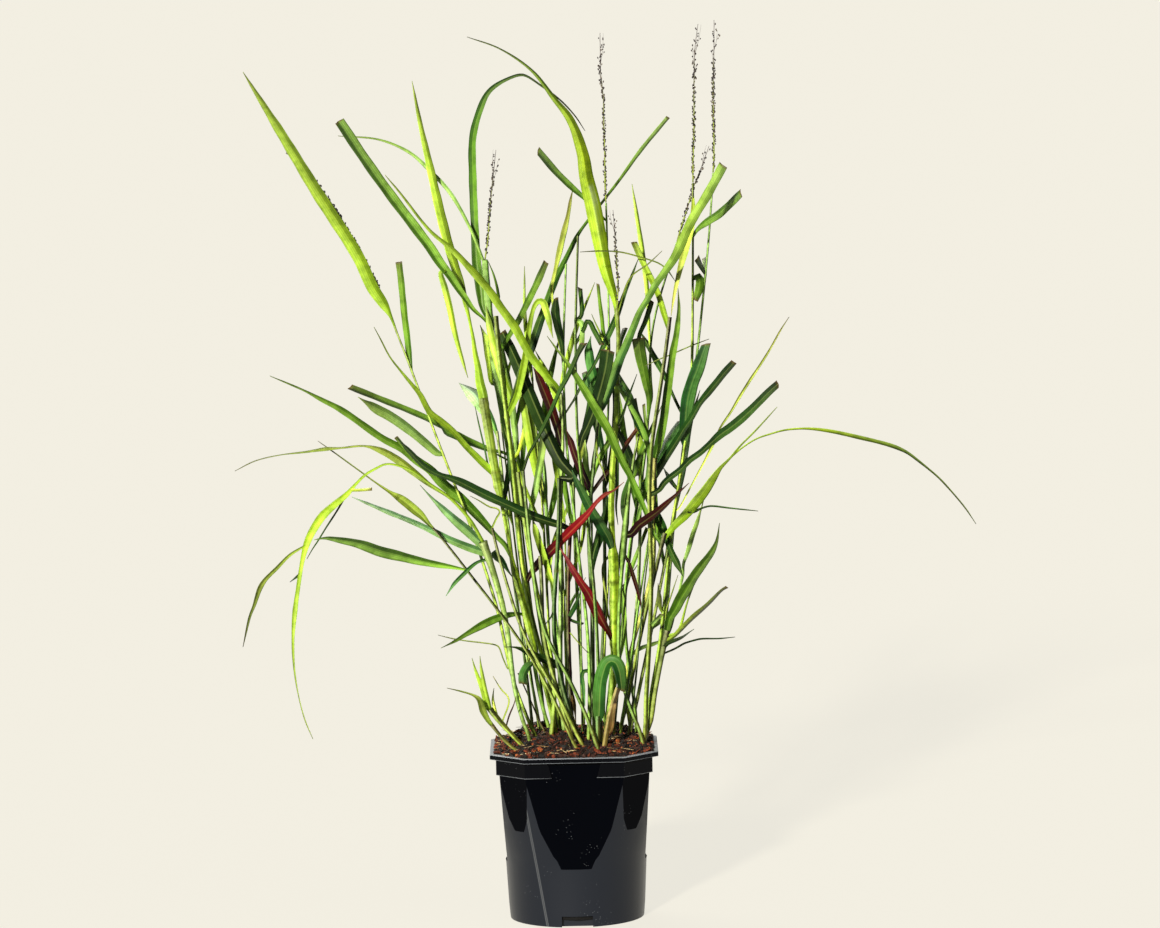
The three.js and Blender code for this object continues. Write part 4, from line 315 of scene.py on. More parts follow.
  stem('culm_17', 'olive', [-55, 35], [[176, 4], [692, 2.4]],
    [[22, 176], [21, 200], [19, 230], [18, 260], [18, 290], [16, 320], [14, 345], [11, 370], [9, 395],
      [6, 415], [4, 435], [1, 455], [-2, 475], [-4, 500], [-4, 530], [-4, 560], [-5, 590], [-5, 615],
      [-3, 640], [-3, 665], [-2, 692]], [
    leaf(478, -24, 'cut', 'night', [[2, 490, 7], [8, 503, 9], [14, 518, 11], [20, 538, 12],
      [25, 558, 13], [28, 578, 14]]),
    leaf(606, 14, 'cut', 'dark', [[1, 612, 4.5], [0, 640]]),
    leaf(609, -12, 'cut', 'light', [[1, 606, 5], [2, 590, 5], [1, 580]]),
    leaf(585, -20, 'cut', 'dark', [[3, 597, 4], [8, 608, 5], [14, 598, 5], [22, 583, 5]]),
  ]),
  stem('culm_18', 'bright', [15, 20], [[188, 6], [275, 8], [290, 11], [370, 11], [385, 7],
    [470, 6], [500, 5], [620, 4]],
    [[25, 188], [28, 205], [32, 225], [34, 245], [36, 262], [34, 280], [34, 300], [35, 325], [35, 350],
      [34, 373], [32, 380], [31, 395], [31, 425], [31, 445], [32, 465], [35, 480], [36, 500], [37, 520],
      [37, 540], [37, 560], [38, 575], [39, 590], [39, 605], [37, 620]], [
    leaf(598, 84, 'tip', 'arching', [[36, 622, 5], [33, 635, 8], [28, 650, 11], [24, 665, 13],
      [20, 685, 14.5], [17, 700, 15.5], [12, 725, 16], [6, 750, 14.5], [2, 775, 12], [-10, 808, 8],
      [-26, 829, 5], [-48, 857, 3], [-80, 879, 1.5], [-113, 891]]),
    leaf(375, -30, 'tip', 'blue', [[35, 376, 4], [29, 388, 8], [24, 397, 11], [18, 407, 10],
      [12, 417, 9], [6, 428, 9], [0, 440, 7], [-5, 450, 5], [-8, 458]]),
    leaf(502, 30, 'cut', 'dark', [[38, 500, 5], [43, 487, 7], [48, 475, 8], [52, 466, 8], [57, 452, 7]]),
    leaf(498, -20, 'tip', 'dark', [[41, 508, 3], [45, 520], [50, 535], [57, 554]]),
    leaf(468, -24, 'cut', 'maroon', [[40, 473, 4], [47, 485, 4], [57, 499, 4]]),
    leaf(286, -34, 'tip', 'wine', [[28, 297, 5], [24, 304, 8], [20, 311, 10.5], [16, 319, 11],
      [12, 327, 10.5], [8, 335, 9], [4, 341, 8], [0, 347, 7], [-8, 360, 5.5], [-12, 367, 4.5],
      [-20, 380, 4]]),
    leaf(326, 20, 'tip', 'olive', [[36, 333, 1.2], [42, 341], [52, 355], [60, 367]]),
    leaf(612, -26, 'tip', 'olive', [[50, 650, 1.5], [68, 664], [82, 677]]),
    leaf(300, 18, 'cut', 'olive', [[29, 310, 2], [26, 333], [23, 350], [23, 363], [26, 368], [30, 374]]),
    leaf(482, 10, 'tip', 'dark', [[36, 475, 5], [37, 440], [36, 420], [38, 403]]),
    leaf(572, 12, 'cut', 'dark', [[40, 585, 4], [45, 600, 5]]),
  ]),
  stem('culm_19', 'green', [-25, -20], [[181, 4], [360, 4], [372, 6], [408, 6], [430, 4], [494, 2.5]],
    [[66, 181], [60, 195], [54, 212], [47, 228], [41, 242], [39, 258], [38, 275], [38, 295], [39, 330],
      [41, 350], [43, 370], [45, 390], [46, 408], [48, 430], [51, 450], [53, 468], [56, 483],
      [59, 494]], [
    leaf(392, -48, 'tip', 'maroon', [[51, 394, 8], [58, 402, 9], [66, 408, 9], [78, 417, 7],
      [88, 426, 5], [97, 434, 3], [109, 445, 1.5]]),
    leaf(375, 22, 'tip', 'maroon', [[50, 363, 3], [53, 353, 4], [57, 340, 4], [61, 323, 2], [63, 312]]),
    leaf(406, 16, 'tip', 'dark', [[44, 420, 7], [45, 432, 7], [49, 445, 6], [53, 463]]),
  ]),
  stem('culm_20', 'green', [45, 60], [[180, 3], [725, 2]],
    [[25, 180], [24, 210], [22, 240], [24, 270], [26, 300], [27, 330], [25, 360], [24, 400], [25, 440],
      [26, 480], [28, 520], [31, 550], [30, 580], [28, 610], [28, 640], [28, 670], [27, 700],
      [26, 725]], [
    leaf(580, -10, 'cut', 'green', [[24, 593, 4], [22, 610, 4], [20, 625], [18, 644, 3]]),
    leaf(709, -44, 'cut', 'leaf', [[20, 713, 3], [5, 729, 4], [-3, 736, 5.5], [-12, 744, 6.5],
      [-25, 757, 7], [-42, 777, 7]]),
  ]),
  stem('culm_21', 'light', [30, 35], [[184, 4], [686, 2]],
    [[57, 184], [57, 205], [56, 225], [52, 245], [47, 265], [43, 290], [43, 330], [46, 360], [50, 388],
      [54, 408], [58, 425], [61, 442], [64, 462], [67, 488], [70, 512], [69, 540], [69, 570], [70, 596],
      [73, 610], [80, 633], [88, 657], [97, 686]], [
    leaf(513, -16, 'cut', 'green', [[69, 530, 6], [66, 545, 8], [63, 560, 10], [60, 575, 12],
      [58, 590, 13]]),
    leaf(520, -24, 'cut', 'dark', [[66, 545, 4], [62, 570], [59, 590, 4], [66, 608, 5], [72, 627, 5]]),
    leaf(515, 24, 'tip', 'bright', [[72, 530, 2], [71, 550], [70, 580, 2], [69, 600, 3], [68, 625, 4],
      [66, 650, 5], [62, 680, 5], [57, 712, 4], [52, 744]]),
    leaf(440, -36, 'tip', 'dark', [[69, 430, 8], [73, 420, 8], [77, 412, 9], [82, 402, 9], [87, 388, 6],
      [92, 375, 6], [98, 363, 7], [103, 351, 3]]),
    leaf(485, 30, 'cut', 'dark', [[64, 492, 6], [60, 503, 9], [54, 518, 9], [48, 533, 9], [42, 545, 6],
      [36, 555]]),
    leaf(436, -50, 'cut', 'dark', [[68, 442, 7], [76, 455, 8], [83, 466], [90, 477], [97, 488],
      [103, 498], [110, 508, 6], [120, 525, 6], [128, 535, 7], [137, 546], [145, 556, 7], [154, 566, 6]]),
    leaf(430, 46, 'cut', 'blue', [[62, 438, 5], [68, 450, 6], [74, 461, 7], [80, 472, 8], [86, 484, 8],
      [93, 495, 8], [101, 507, 6]]),
    leaf(657, -24, 'tip', 'olive', [[80, 664, 1.5], [60, 671], [40, 676], [20, 677], [0, 676]]),
    leaf(655, 18, 'tip', 'olive', [[88, 657, 1.5], [95, 647]]),
  ]),
  stem('culm_22', 'olive', [-20, -5], [[181, 5], [611, 4]],
    [[66, 181], [64, 200], [65, 225], [68, 250], [69, 275], [70, 300], [71, 325], [72, 345], [72, 365],
      [70, 385], [69, 405], [69, 445], [69, 465], [71, 482], [74, 500], [77, 518], [80, 540], [83, 558],
      [86, 575], [88, 595], [90, 611]], [
    leaf(430, -78, 'cut', 'dark', [[79, 438, 5], [84, 445, 6], [92, 452], [100, 458], [110, 468, 6],
      [120, 475], [130, 484, 6], [140, 493, 8], [150, 500, 9], [160, 508], [170, 517, 8], [180, 527],
      [190, 537, 7], [198, 544]]),
    leaf(597, 20, 'cut', 'bright', [[84, 615, 6], [79, 632], [72, 648, 6], [62, 668, 6], [54, 686, 6]]),
    leaf(302, -12, 'cut', 'light', [[76, 308, 4], [82, 314]]),
    leaf(292, 12, 'cut', 'light', [[70, 298, 4], [76, 303, 4], [82, 308]]),
  ]),
  stem('culm_23', 'yellow', [52, 10], [[203, 4], [470, 4.6]],
    [[50, 203], [47, 220], [44, 238], [44, 255], [48, 270], [54, 287], [58, 303], [62, 318], [67, 334],
      [71, 350], [75, 365], [76, 380], [73, 395], [72, 412], [72, 435], [74, 458], [75, 470]], [
    leaf(468, -40, 'tip', 'green', [[78, 482, 8], [81, 495, 9], [84, 510, 8], [86, 525, 8],
      [89, 545, 8], [91, 560, 7], [93, 575, 7], [96, 590, 6], [98, 605, 5], [99, 620, 3],
      [98, 640, 1.5]]),
    leaf(270, 26, 'tip', 'light', [[50, 273, 3], [56, 277, 4], [63, 281], [70, 283, 4], [78, 286, 4],
      [86, 289]]),
  ]),
  stem('culm_24', 'olive', [50, -25], [[200, 4], [395, 4.4]],
    [[41, 200], [46, 218], [50, 238], [54, 260], [58, 283], [62, 300], [67, 322], [71, 338], [75, 355],
      [79, 372], [82, 386], [85, 395]], [
    leaf(386, -10, 'tip', 'green', [[75, 392, 3], [71, 402, 4], [68, 410], [62, 425, 5], [56, 438, 7],
      [50, 452, 6], [43, 465, 7], [36, 480, 8], [28, 498, 9], [18, 515, 9], [8, 532, 8], [0, 545, 7],
      [-8, 558, 5], [-15, 568, 3], [-22, 577], [-33, 592]]),
    leaf(390, -60, 'tip', 'bright', [[95, 403, 7], [105, 413, 9], [115, 425, 10], [125, 438, 10],
      [133, 450, 7], [140, 460, 4], [150, 470, 2], [160, 482], [175, 497], [197, 521]]),
    leaf(391, 96, 'tip', 'arching', [[100, 410, 2], [120, 436], [140, 459], [158, 477], [176, 489, 1.5],
      [190, 494], [205, 498], [222, 499.5, 2], [235, 499, 3], [250, 497], [265, 494, 4], [280, 490.5],
      [295, 487, 4], [308, 483.5], [318, 480, 4], [328, 475, 3], [338, 467.5], [348, 459.5, 2],
      [358, 451], [368, 440.5], [378, 429], [386, 419], [396, 404]]),
    leaf(0, -20, 'tip', 'dark', [[108, 413, 2], [113, 416, 3], [122, 420, 2], [130, 422], [150, 420],
      [178, 417]], 1),
  ]),
  stem('culm_25', 'olive', [-10, 20], [[181, 5], [745, 2]],
    [[67, 181], [66, 200], [69, 225], [73, 245], [77, 262], [80, 280], [82, 298], [84, 318], [86, 340],
      [88, 360], [89, 378], [91, 398], [94, 415], [97, 432], [100, 448], [103, 465], [105, 482],
      [107, 500], [110, 520], [112, 545], [113, 570], [112, 600], [113, 640], [113, 690], [113, 745]], [
    leaf(483, -26, 'cut', 'blue', [[104, 490, 9], [105, 500, 12], [106, 515, 13], [108, 530, 14],
      [112, 545, 13], [117, 558, 13], [121, 570, 12], [126, 584, 8]]),
    leaf(505, 26, 'tip', 'dark', [[100, 518, 3], [92, 535, 3], [84, 553, 5], [78, 564, 7], [72, 575, 5],
      [66, 586, 6], [60, 597]]),
    leaf(415, 56, 'tip', 'yellow', [[99, 420, 1.5], [110, 440, 1.5], [117, 453], [124, 466, 2],
      [130, 478, 3], [135, 488, 3], [140, 500, 2], [150, 515], [160, 532, 3], [170, 548, 3], [180, 563],
      [190, 579], [200, 597], [209, 611]]),
    leaf(650, -12, 'cut', 'green', [[119, 651, 8], [119, 640, 9], [115, 628, 6]]),
    leaf(312, -16, 'tip', 'olive', [[81, 318, 3], [79, 330, 6], [78, 345]]),
    leaf(580, -10, 'tip', 'olive', [[90, 573, 1.2], [80, 569], [65, 562]]),
    leaf(580, 12, 'tip', 'olive', [[129, 589, 1.2]]),
    leaf(690, -40, 'cut', 'leaf', [[117, 698, 4], [128, 707, 8], [140, 715, 8], [161, 735, 7]]),
    leaf(735, -30, 'tip', 'yellow', [[113, 712, 6], [109, 695, 8], [104, 675, 7.5], [99, 655, 5],
      [94, 632, 3], [91, 612]]),
  ]),
  stem('culm_26', 'green', [25, 50], [[190, 4], [755, 2]],
    [[70, 190], [71, 215], [75, 240], [79, 262], [84, 285], [86, 305], [88, 330], [90, 355], [91, 380],
      [93, 400], [95, 420], [98, 440], [102, 462], [105, 485], [108, 507], [111, 528], [114, 550],
      [117, 572], [119, 590], [121, 610], [124, 640], [127, 668], [129, 690], [132, 725], [133, 755]], [
    leaf(654, -12, 'cut', 'dark', [[117, 670, 7]]),
    leaf(654, 12, 'cut', 'light', [[124, 670, 4]]),
    leaf(440, 18, 'tip', 'dark', [[94, 443, 4], [88, 452, 5], [83, 461, 4]]),
  ]),
  stem('culm_27', 'olive', [-5, -30], [[184, 5], [298, 5]],
    [[68, 184], [70, 208], [74, 235], [79, 258], [84, 280], [87, 298]], [
    leaf(295, -44, 'tip', 'green', [[90, 310, 8], [95, 318, 10], [100, 328, 11], [106, 338, 11],
      [112, 348, 10], [118, 357, 9], [124, 365, 8], [130, 373, 7], [134, 380, 5], [137, 388, 3],
      [139.5, 405]]),
    leaf(290, -12, 'tip', 'bright', [[97, 295, 3], [100, 300], [108, 328], [115, 345]]),
    leaf(286, -70, 'cut', 'olive', [[94, 292, 4], [100, 298, 5], [112, 310, 5], [120, 317, 5],
      [128, 324, 4], [142, 338, 3], [147, 341]]),
    leaf(281, -50, 'tip', 'dark', [[88, 285, 4], [95, 288, 4], [102, 291, 3], [108, 295], [114, 299]]),
    leaf(274, 56, 'tip', 'dark', [[92, 278, 2], [98, 281], [104, 284.5, 2], [112, 287], [120, 289],
      [140, 289.5], [155, 291]]),
    leaf(284, 40, 'tip', 'light', [[91, 300, 2], [96, 322], [100, 340], [103, 356], [103, 363, 3],
      [107, 375, 4], [110, 385, 5], [113, 395, 5], [117, 406, 4], [120, 416, 2], [125, 433]]),
    leaf(296, 20, 'tip', 'olive', [[86, 315, 1.5], [91, 332], [98, 353]]),
  ]),
  stem('shoot_folded', 'blue', [-50, -50], [[182, 4], [212, 5]], [[18, 184], [18, 198], [18, 212]], [
    leaf(206, -8, 'cut', 'folded', [[19, 215, 12], [20, 240, 13], [23, 256, 13], [28, 266, 12],
      [34, 267, 12], [39, 259, 13], [41, 248, 11], [42, 237, 5]]),
  ]),
  stem('shoot_dry', 'tan', [-58, -54], [[178, 5], [240, 6]],
    [[24, 176], [25, 190], [28, 210], [33, 226], [38, 240]], [
    leaf(192, -6, 'cut', 'tan', [[31, 198, 4], [33, 215, 5], [35, 225, 4]]),
  ]),
  stem('shoot_curled', 'olive', [-62, -58], [[172, 3], [204, 4]],
    [[-55, 172], [-68, 178], [-76, 186], [-83, 197], [-88, 203]], [
    leaf(201, -10, 'tip', 'olive', [[-92, 208, 5], [-97, 218, 7], [-101, 229, 5], [-107, 233, 2], [-120, 237],
      [-133, 240, 1.2]]),
  ]),
  stem('shoot_young', 'bright', [-40, -36], [[176, 3.4], [200, 5], [220, 6]],
    [[-52, 176], [-60, 184], [-66, 192], [-75, 201], [-85, 210], [-90, 219]], [
    leaf(217, -14, 'tip', 'bright', [[-92, 228, 4], [-96, 245, 4], [-99, 262, 3], [-100, 272]]),
    leaf(212, 16, 'tip', 'bright', [[-93, 222, 5], [-98, 240, 5], [-104, 256, 3], [-108, 270]]),
    leaf(208, 6, 'tip', 'yellow', [[-87, 228, 3], [-86, 240]]),
    leaf(198, -8, 'tip', 'purple', [[-71, 212, 1.6], [-66, 224], [-64, 232]]),
    leaf(205, 12, 'tip', 'yellow', [[-71, 229, 1.6], [-79, 239], [-87, 252]]),
  ]),
  stem('shoot_thin', 'purple', [15, 35], [[186, 2], [255, 1.4]],
    [[-32, 186], [-40, 208], [-50, 230], [-62, 255]], []),
  stem('culm_28', 'dark', [44, 60], [[186, 4], [470, 3]],
    [[-12, 186], [-14, 220], [-18, 260], [-24, 300], [-29, 340], [-33, 390], [-35, 430], [-37, 470]], [
    leaf(424, 10, 'cut', 'bright', [[-40, 440, 5], [-46, 465, 7], [-51, 490, 8], [-56, 520, 7], [-60, 545]]),
    leaf(466, 22, 'tip', 'green', [[-38, 480, 5], [-37, 505, 7], [-33, 535, 7], [-27, 565, 5], [-20, 592]]),
  ]),
  stem('culm_29', 'green', [54, 46], [[182, 4], [450, 3.4]],
    [[4, 182], [3, 220], [2, 260], [-1, 300], [-4, 345], [-6, 390], [-7, 450]], [
    leaf(440, 16, 'cut', 'dark', [[-4, 458, 6], [2, 480, 8], [8, 505, 9], [13, 535, 8], [16, 560]]),
    leaf(396, -8, 'tip', 'green', [[-9, 410, 4], [-15, 440, 6], [-20, 470, 6], [-23, 500, 4], [-25, 528]]),
  ]),
  stem('culm_30', 'dark', [42, 54], [[184, 4.4], [470, 3.4]],
    [[14, 184], [18, 220], [22, 260], [25, 300], [26, 345], [25, 390], [23, 430], [24, 470]], [
    leaf(440, 14, 'cut', 'dark', [[29, 455, 6], [34, 480, 8], [37, 510, 9], [36, 545, 7]]),
    leaf(462, 26, 'cut', 'blue', [[22, 480, 5], [16, 505, 8], [10, 530, 8], [5, 556, 7]]),
  ]),
  stem('culm_31', 'bright', [32, 50], [[186, 4], [450, 3.4]],
    [[-22, 186], [-27, 225], [-34, 268], [-42, 312], [-48, 356], [-54, 404], [-58, 450]], [
    leaf(440, 18, 'tip', 'light', [[-62, 470, 4], [-66, 505, 7], [-71, 540, 7], [-77, 575, 4], [-84, 612]]),
    leaf(396, -20, 'cut', 'light', [[-50, 415, 5], [-44, 442, 7], [-39, 470, 7], [-36, 492]]),
  ]),
  stem('culm_32', 'green', [40, 52], [[190, 4.4], [430, 3.4]],
    [[40, 190], [46, 225], [52, 265], [57, 310], [60, 350], [61, 390], [60, 430]], [
    leaf(402, 12, 'tip', 'green', [[57, 420, 4], [51, 450, 7], [46, 480, 7], [42, 510, 5], [39, 538]]),
    leaf(426, 20, 'cut', 'bright', [[61, 445, 5], [60, 475, 7], [57, 505, 7], [53, 528]]),
  ]),
  stem('culm_33', 'olive', [30, 48], [[192, 4], [440, 3]],
    [[50, 192], [57, 230], [66, 272], [76, 318], [85, 362], [92, 402], [98, 440]], [
    leaf(408, 14, 'tip', 'dark', [[97, 428, 4], [102, 456, 7], [106, 484, 7], [112, 512, 4], [120, 538]]),
    leaf(360, -18, 'tip', 'green', [[81, 380, 4], [76, 410, 6], [74, 440, 6], [76, 470, 3], [80, 494]]),
  ]),
]

heads = [
  head('seed_head_1', 'culm_01', -16, [[-205, 648], [-235, 703], [-250, 727], [-262, 742],
    [-297, 785]], [[0.12, 0.3], [0.3, 0.5], [0.48, 0.66], [0.64, 0.82], [0.8, 0.97]]),
  head('seed_head_2', 'culm_07', 6, [[-92, 690], [-90, 720], [-84, 778]],
    [[0.1, 0.45], [0.25, 0.6], [0.4, 0.72], [0.55, 0.85], [0.7, 0.96]]),
  head('seed_head_3', 'culm_20', 4, [[25, 745], [25, 760], [24, 800], [23, 835], [21, 850], [20, 895]],
    [[0.1, 0.28], [0.26, 0.44], [0.4, 0.58], [0.55, 0.72], [0.68, 0.84], [0.82, 0.98]]),
  head('seed_head_4', 'culm_25', 6, [[113, 762], [114, 800], [114, 840], [115, 880], [118, 904]],
    [[0.08, 0.26], [0.22, 0.4], [0.36, 0.54], [0.52, 0.7], [0.66, 0.84], [0.82, 0.98]]),
  head('seed_head_5', 'culm_26', 6, [[134, 772], [133, 840], [134, 880], [134, 908]],
    [[0.1, 0.3], [0.22, 0.62], [0.34, 0.5], [0.48, 0.66], [0.62, 0.8], [0.78, 0.94]]),
  head('seed_head_6', 'culm_21', 8, [[100, 697], [108, 722], [115, 745], [122, 762], [129, 782]],
    [[0.12, 0.34], [0.3, 0.5], [0.44, 0.64], [0.6, 0.82], [0.76, 0.96]]),
  head('seed_head_7', 'culm_18', 6, [[38, 640], [37, 660], [36, 675], [35, 690], [34, 705], [33, 718]],
    [[0.15, 0.36], [0.3, 0.52], [0.46, 0.68], [0.62, 0.82], [0.78, 0.97]]),
]


def lengthAlong(points):
    return np.concatenate([[0], np.cumsum(np.linalg.norm(np.diff(points, axis=0), axis=1))])


def partWay(pair, share):
    return pair[0] + (pair[1] - pair[0]) * share


def smoothstep(x, low, high):
    t = np.clip((x - low) / (high - low), 0, 1)
    return t * t * (3 - 2 * t)


def smoothCourse(course):
    # a smooth course through the drawn points: its length, and its points at shares of that length
    p = np.array(course, dtype=float)
    p = np.vstack([2 * p[0] - p[1], p, 2 * p[-1] - p[-2]])

    def onCurve(t):
        spans = len(p) - 3
        s = np.clip(t * spans, 0, spans)
        i = np.minimum(s.astype(int), spans - 1)
        f = (s - i)[:, None]
        p0, p1, p2, p3 = p[i], p[i + 1], p[i + 2], p[i + 3]
        d0, d1, d2 = (((q - r) ** 2).sum(1)[:, None] ** 0.25 for q, r in ((p1, p0), (p2, p1), (p3, p2)))
        m1 = ((p1 - p0) / d0 - (p2 - p0) / (d0 + d1) + (p2 - p1) / d1) * d1
        m2 = ((p2 - p1) / d1 - (p3 - p1) / (d1 + d2) + (p3 - p2) / d2) * d1
        return p1 + m1 * f + (3 * (p2 - p1) - 2 * m1 - m2) * f ** 2 + (2 * (p1 - p2) + m1 + m2) * f ** 3

    steps = np.linspace(0, 1, 201)
    far = lengthAlong(onCurve(steps))
    return far[-1], lambda shares: onCurve(np.interp(shares * far[-1], far, steps))


def walk(course, widths, depths, step=clump['walkStep']):
    length, place = smoothCourse(course)
    count = max(2, int(length / step + 0.5))
    share = np.arange(count + 1) / count
    points = place(share)
    return {'a': points[:, 0], 'u': points[:, 1], 'share': share, 'width': widths(share, points[:, 1]),
            'base': depths(share), 'twist': np.zeros(count + 1)}


strands = []


def addStrand(node, kind, points, parent, root, **more):
    strands.append({'node': node, 'kind': kind, 'parent': parent, 'root': root, **points, **more})
    return len(strands) - 1


def eased(course):
    # a stem grows in a steady line: small unevenness in its drawn points is taken out
    points = np.array(course, dtype=float)
    for _ in range(3):
        points[1:-1] = (points[:-2] + 2 * points[1:-1] + points[2:]) / 4
    return points.tolist()


def addStem(plant):
    above = [[min(a, clump['mostRight'] + max(0, u - clump['easeFrom']) * clump['rightLean']), u]
             for a, u in eased(plant['course'])]
    buried = at(above[0][0], above[0][1], plant['depths'][0])
    buried[0] = min(buried[0], clump['mostRight'])
    buried[2] = clump['footHeight']
    table = np.array(plant['thickness'], dtype=float)
    points = walk([drawn(buried)] + above, lambda s, u: np.interp(u, table[:, 0], table[:, 1]),
                  lambda s: partWay(plant['depths'], s))
    return addStrand(plant['name'], 'stem', points, -1, 0, colour=plant['colour'])


def addLeaf(plant, record, parent):
    host = strands[parent]
    first = record['course'][0]
    if record['on'] < 0:
        root = int(np.argmin(np.abs(host['u'] - record['from'])))
    else:
        root = int(np.argmin(np.hypot(host['a'] - first[0], host['u'] - first[1])))
    a0, u0, hostWidth = (host[k][root] for k in ('a', 'u', 'width'))
    rest = [p for i, p in enumerate(record['course'])
            if math.hypot(p[0] - a0, p[1] - u0) > clump['skipNear'] or i > 2]
    course = np.array([[a0, u0]] + [p[:2] for p in rest], dtype=float)
    far = lengthAlong(course)
    far = far / far[-1]
    firstWidth = next(p for p in record['course'] if len(p) > 2)[2]
    widths = [[0, min(firstWidth, hostWidth)]]
    widths += [[far[i + 1], p[2]] for i, p in enumerate(rest) if len(p) > 2]
    if len(widths) < 2:
        widths[0][1] = firstWidth
    if widths[-1][0] < 1:
        widths.append([1, clump['bladeTip'] if record['end'] == 'tip' else widths[-1][1]])
    if record['end'] == 'tip':
        widths[-1][1] = min(clump['bladeTip'], widths[-1][1])
    side = -1 if draw() < 0.5 else 1
    turn = math.radians(clump['bladeTurn']) * side * (0.8 + 0.5 * draw())
    table = np.array(widths, dtype=float)
    points = walk(course, lambda s, u: np.interp(s, table[:, 0], table[:, 1]),
                  lambda s: record['reach'] * clump['reachScale'] * s ** clump['reachBend'])
    points['twist'] = turn * smoothstep(points['share'], 0, 0.5)
    return addStrand(plant['name'], 'blade', points, parent, root, colour=record['colour'], end=record['end'])


def addHead(plant):
    parent = next(i for i, s in enumerate(strands) if s['node'] == plant['carrier'])
    top = [strands[parent]['a'][-1], strands[parent]['u'][-1]]
    step = clump['headGap'] / math.hypot(plant['course'][0][0] - top[0], plant['course'][0][1] - top[1])
    start = [t + (n - t) * step for t, n in zip(top, plant['course'][0])]

    def thin(s, u):
        return np.full(len(s), clump['headStem'])

    points = walk([start] + plant['course'], thin, lambda s: plant['reach'] * s, clump['headStep'])
    axis = addStrand(plant['name'], 'head', points, parent, len(strands[parent]['a']) - 1)
    last = len(points['a']) - 1
    for k, (leaveAt, endAt) in enumerate(plant['branches']):
        root, end = int(leaveAt * last + 0.5), int(endAt * last + 0.5)
        leaveA, leaveU, endA, endU = points['a'][root], points['u'][root], points['a'][end], points['u'][end]
        side = (1 if k % 2 else -1) * (clump['spray'] + clump['spray'] * draw())
        along = np.array([endA - leaveA, endU - leaveU])
        along = along / np.linalg.norm(along)
        course = [[leaveA, leaveU],
                  [(leaveA + endA) / 2 + along[1] * side * 0.8, (leaveU + endU) / 2 - along[0] * side * 0.8],
                  [endA + along[1] * side, endU - along[0] * side]]
        branch = walk(course, thin, lambda s, k=k: (k % 3 - 1) * clump['sprayDepth'] * s, clump['headStep'])
        addStrand(plant['name'], 'head', branch, axis, root)


for plant in plants:
    made = [addStem(plant)]
    for record in plant['leaves']:
        made.append(addLeaf(plant, record, made[record['on'] + 1]))
for plant in heads:
    addHead(plant)
print('courses laid out:', len(strands))

# Stems and blades of different plants that cross on the elevation are moved along the line of sight only, one
# before the other, until they pass with room between them.
starts = np.cumsum([0] + [len(s['a']) for s in strands])
owner = np.repeat(np.arange(len(strands)), np.diff(starts))
allA, allU, base, twist, width = (np.concatenate([s[k] for s in strands])
                                  for k in ('a', 'u', 'base', 'twist', 'width'))
isBlade = np.array([s['kind'] == 'blade' for s in strands])[owner]
isHead = np.array([s['kind'] == 'head' for s in strands])[owner]
halfWidth = np.where(isHead, clump['headBead'], width / 2)
halfDepth = np.where(isBlade, np.tan(np.abs(twist)) * width / 2 + clump['bladeThickness'] / 2, halfWidth)
level = np.zeros(len(strands), dtype=int)
rootPoint = np.zeros(len(strands), dtype=int)
pushTo = np.arange(len(allA))
for k, s in enumerate(strands):
    if s['parent'] >= 0:
        level[k] = level[s['parent']] + 1
        rootPoint[k] = starts[s['parent']] + s['root']
        pushTo[starts[k]] = pushTo[rootPoint[k]]
levels = [np.nonzero(level[owner] == n)[0] for n in range(level.max() + 1)]


def depthsOf(shift):
    depth = base + shift
    for points in levels[1:]:
        depth[points] += depth[rootPoint[owner[points]]]
    return depth


def clearOf(values, one, two):
    gap = clump['crossingMargin'] + clump['beadRoom']
    return values[one].min() > values[two].max() + gap or values[two].min() > values[one].max() + gap


def findCrossings():
    depth = depthsOf(np.zeros(len(base)))
    runs = []
    pairOf = {}
    for s in range(len(strands)):
        one = slice(starts[s], starts[s + 1])
        for t in range(s + 1, len(strands)):
            if strands[s]['node'] == strands[t]['node'] or strands[t]['parent'] == s:
                continue
            two = slice(starts[t], starts[t + 1])
            if clearOf(allA, one, two) or clearOf(allU, one, two):
                continue
            apart = np.hypot(allA[one][:, None] - allA[two], allU[one][:, None] - allU[two])
            reach = halfWidth[one][:, None] + halfWidth[two] + clump['crossingMargin']
            i, j = np.nonzero(apart <= reach)
            if len(i) == 0:
                continue
            cuts = np.nonzero(np.diff(i) > clump['runGap'])[0] + 1
            for ii, jj in zip(np.split(i, cuts), np.split(j, cuts)):
                gi, gj = ii + starts[s], jj + starts[t]
                room = halfDepth[gi] + halfDepth[gj] + clump['clearance']
                order = (depth[gi] - depth[gj]).sum()
                runs.append({'one': s, 'other': t, 'i': gi, 'j': gj, 'room': room, 'order': order})
                pairOf.setdefault((s, t), []).append(runs[-1])
    for run in runs:
        followParent(run, 'one', 'other', 'i', 'j', pairOf)
        followParent(run, 'other', 'one', 'j', 'i', pairOf)
    return runs


def followParent(run, side, across, mine, theirs, pairOf):
    # a blade that crosses a neighbour near its own root passes it on the same side as the stem it grows from
    blade, neighbour = run[side], run[across]
    parent = strands[blade]['parent']
    if parent < 0 or (run[mine] - starts[blade]).min() > clump['nearRoot']:
        return
    lower = (parent, neighbour) if parent < neighbour else (neighbour, parent)
    key = 'j' if parent < neighbour else 'i'
    for other in pairOf.get(lower, []):
        if (np.abs(other[key][:, None] - run[theirs]) < clump['sameCrossing']).any():
            parentFirst = other['order'] if other['one'] == parent else -other['order']
            run['order'] = parentFirst if side == 'one' else -parentFirst
            return


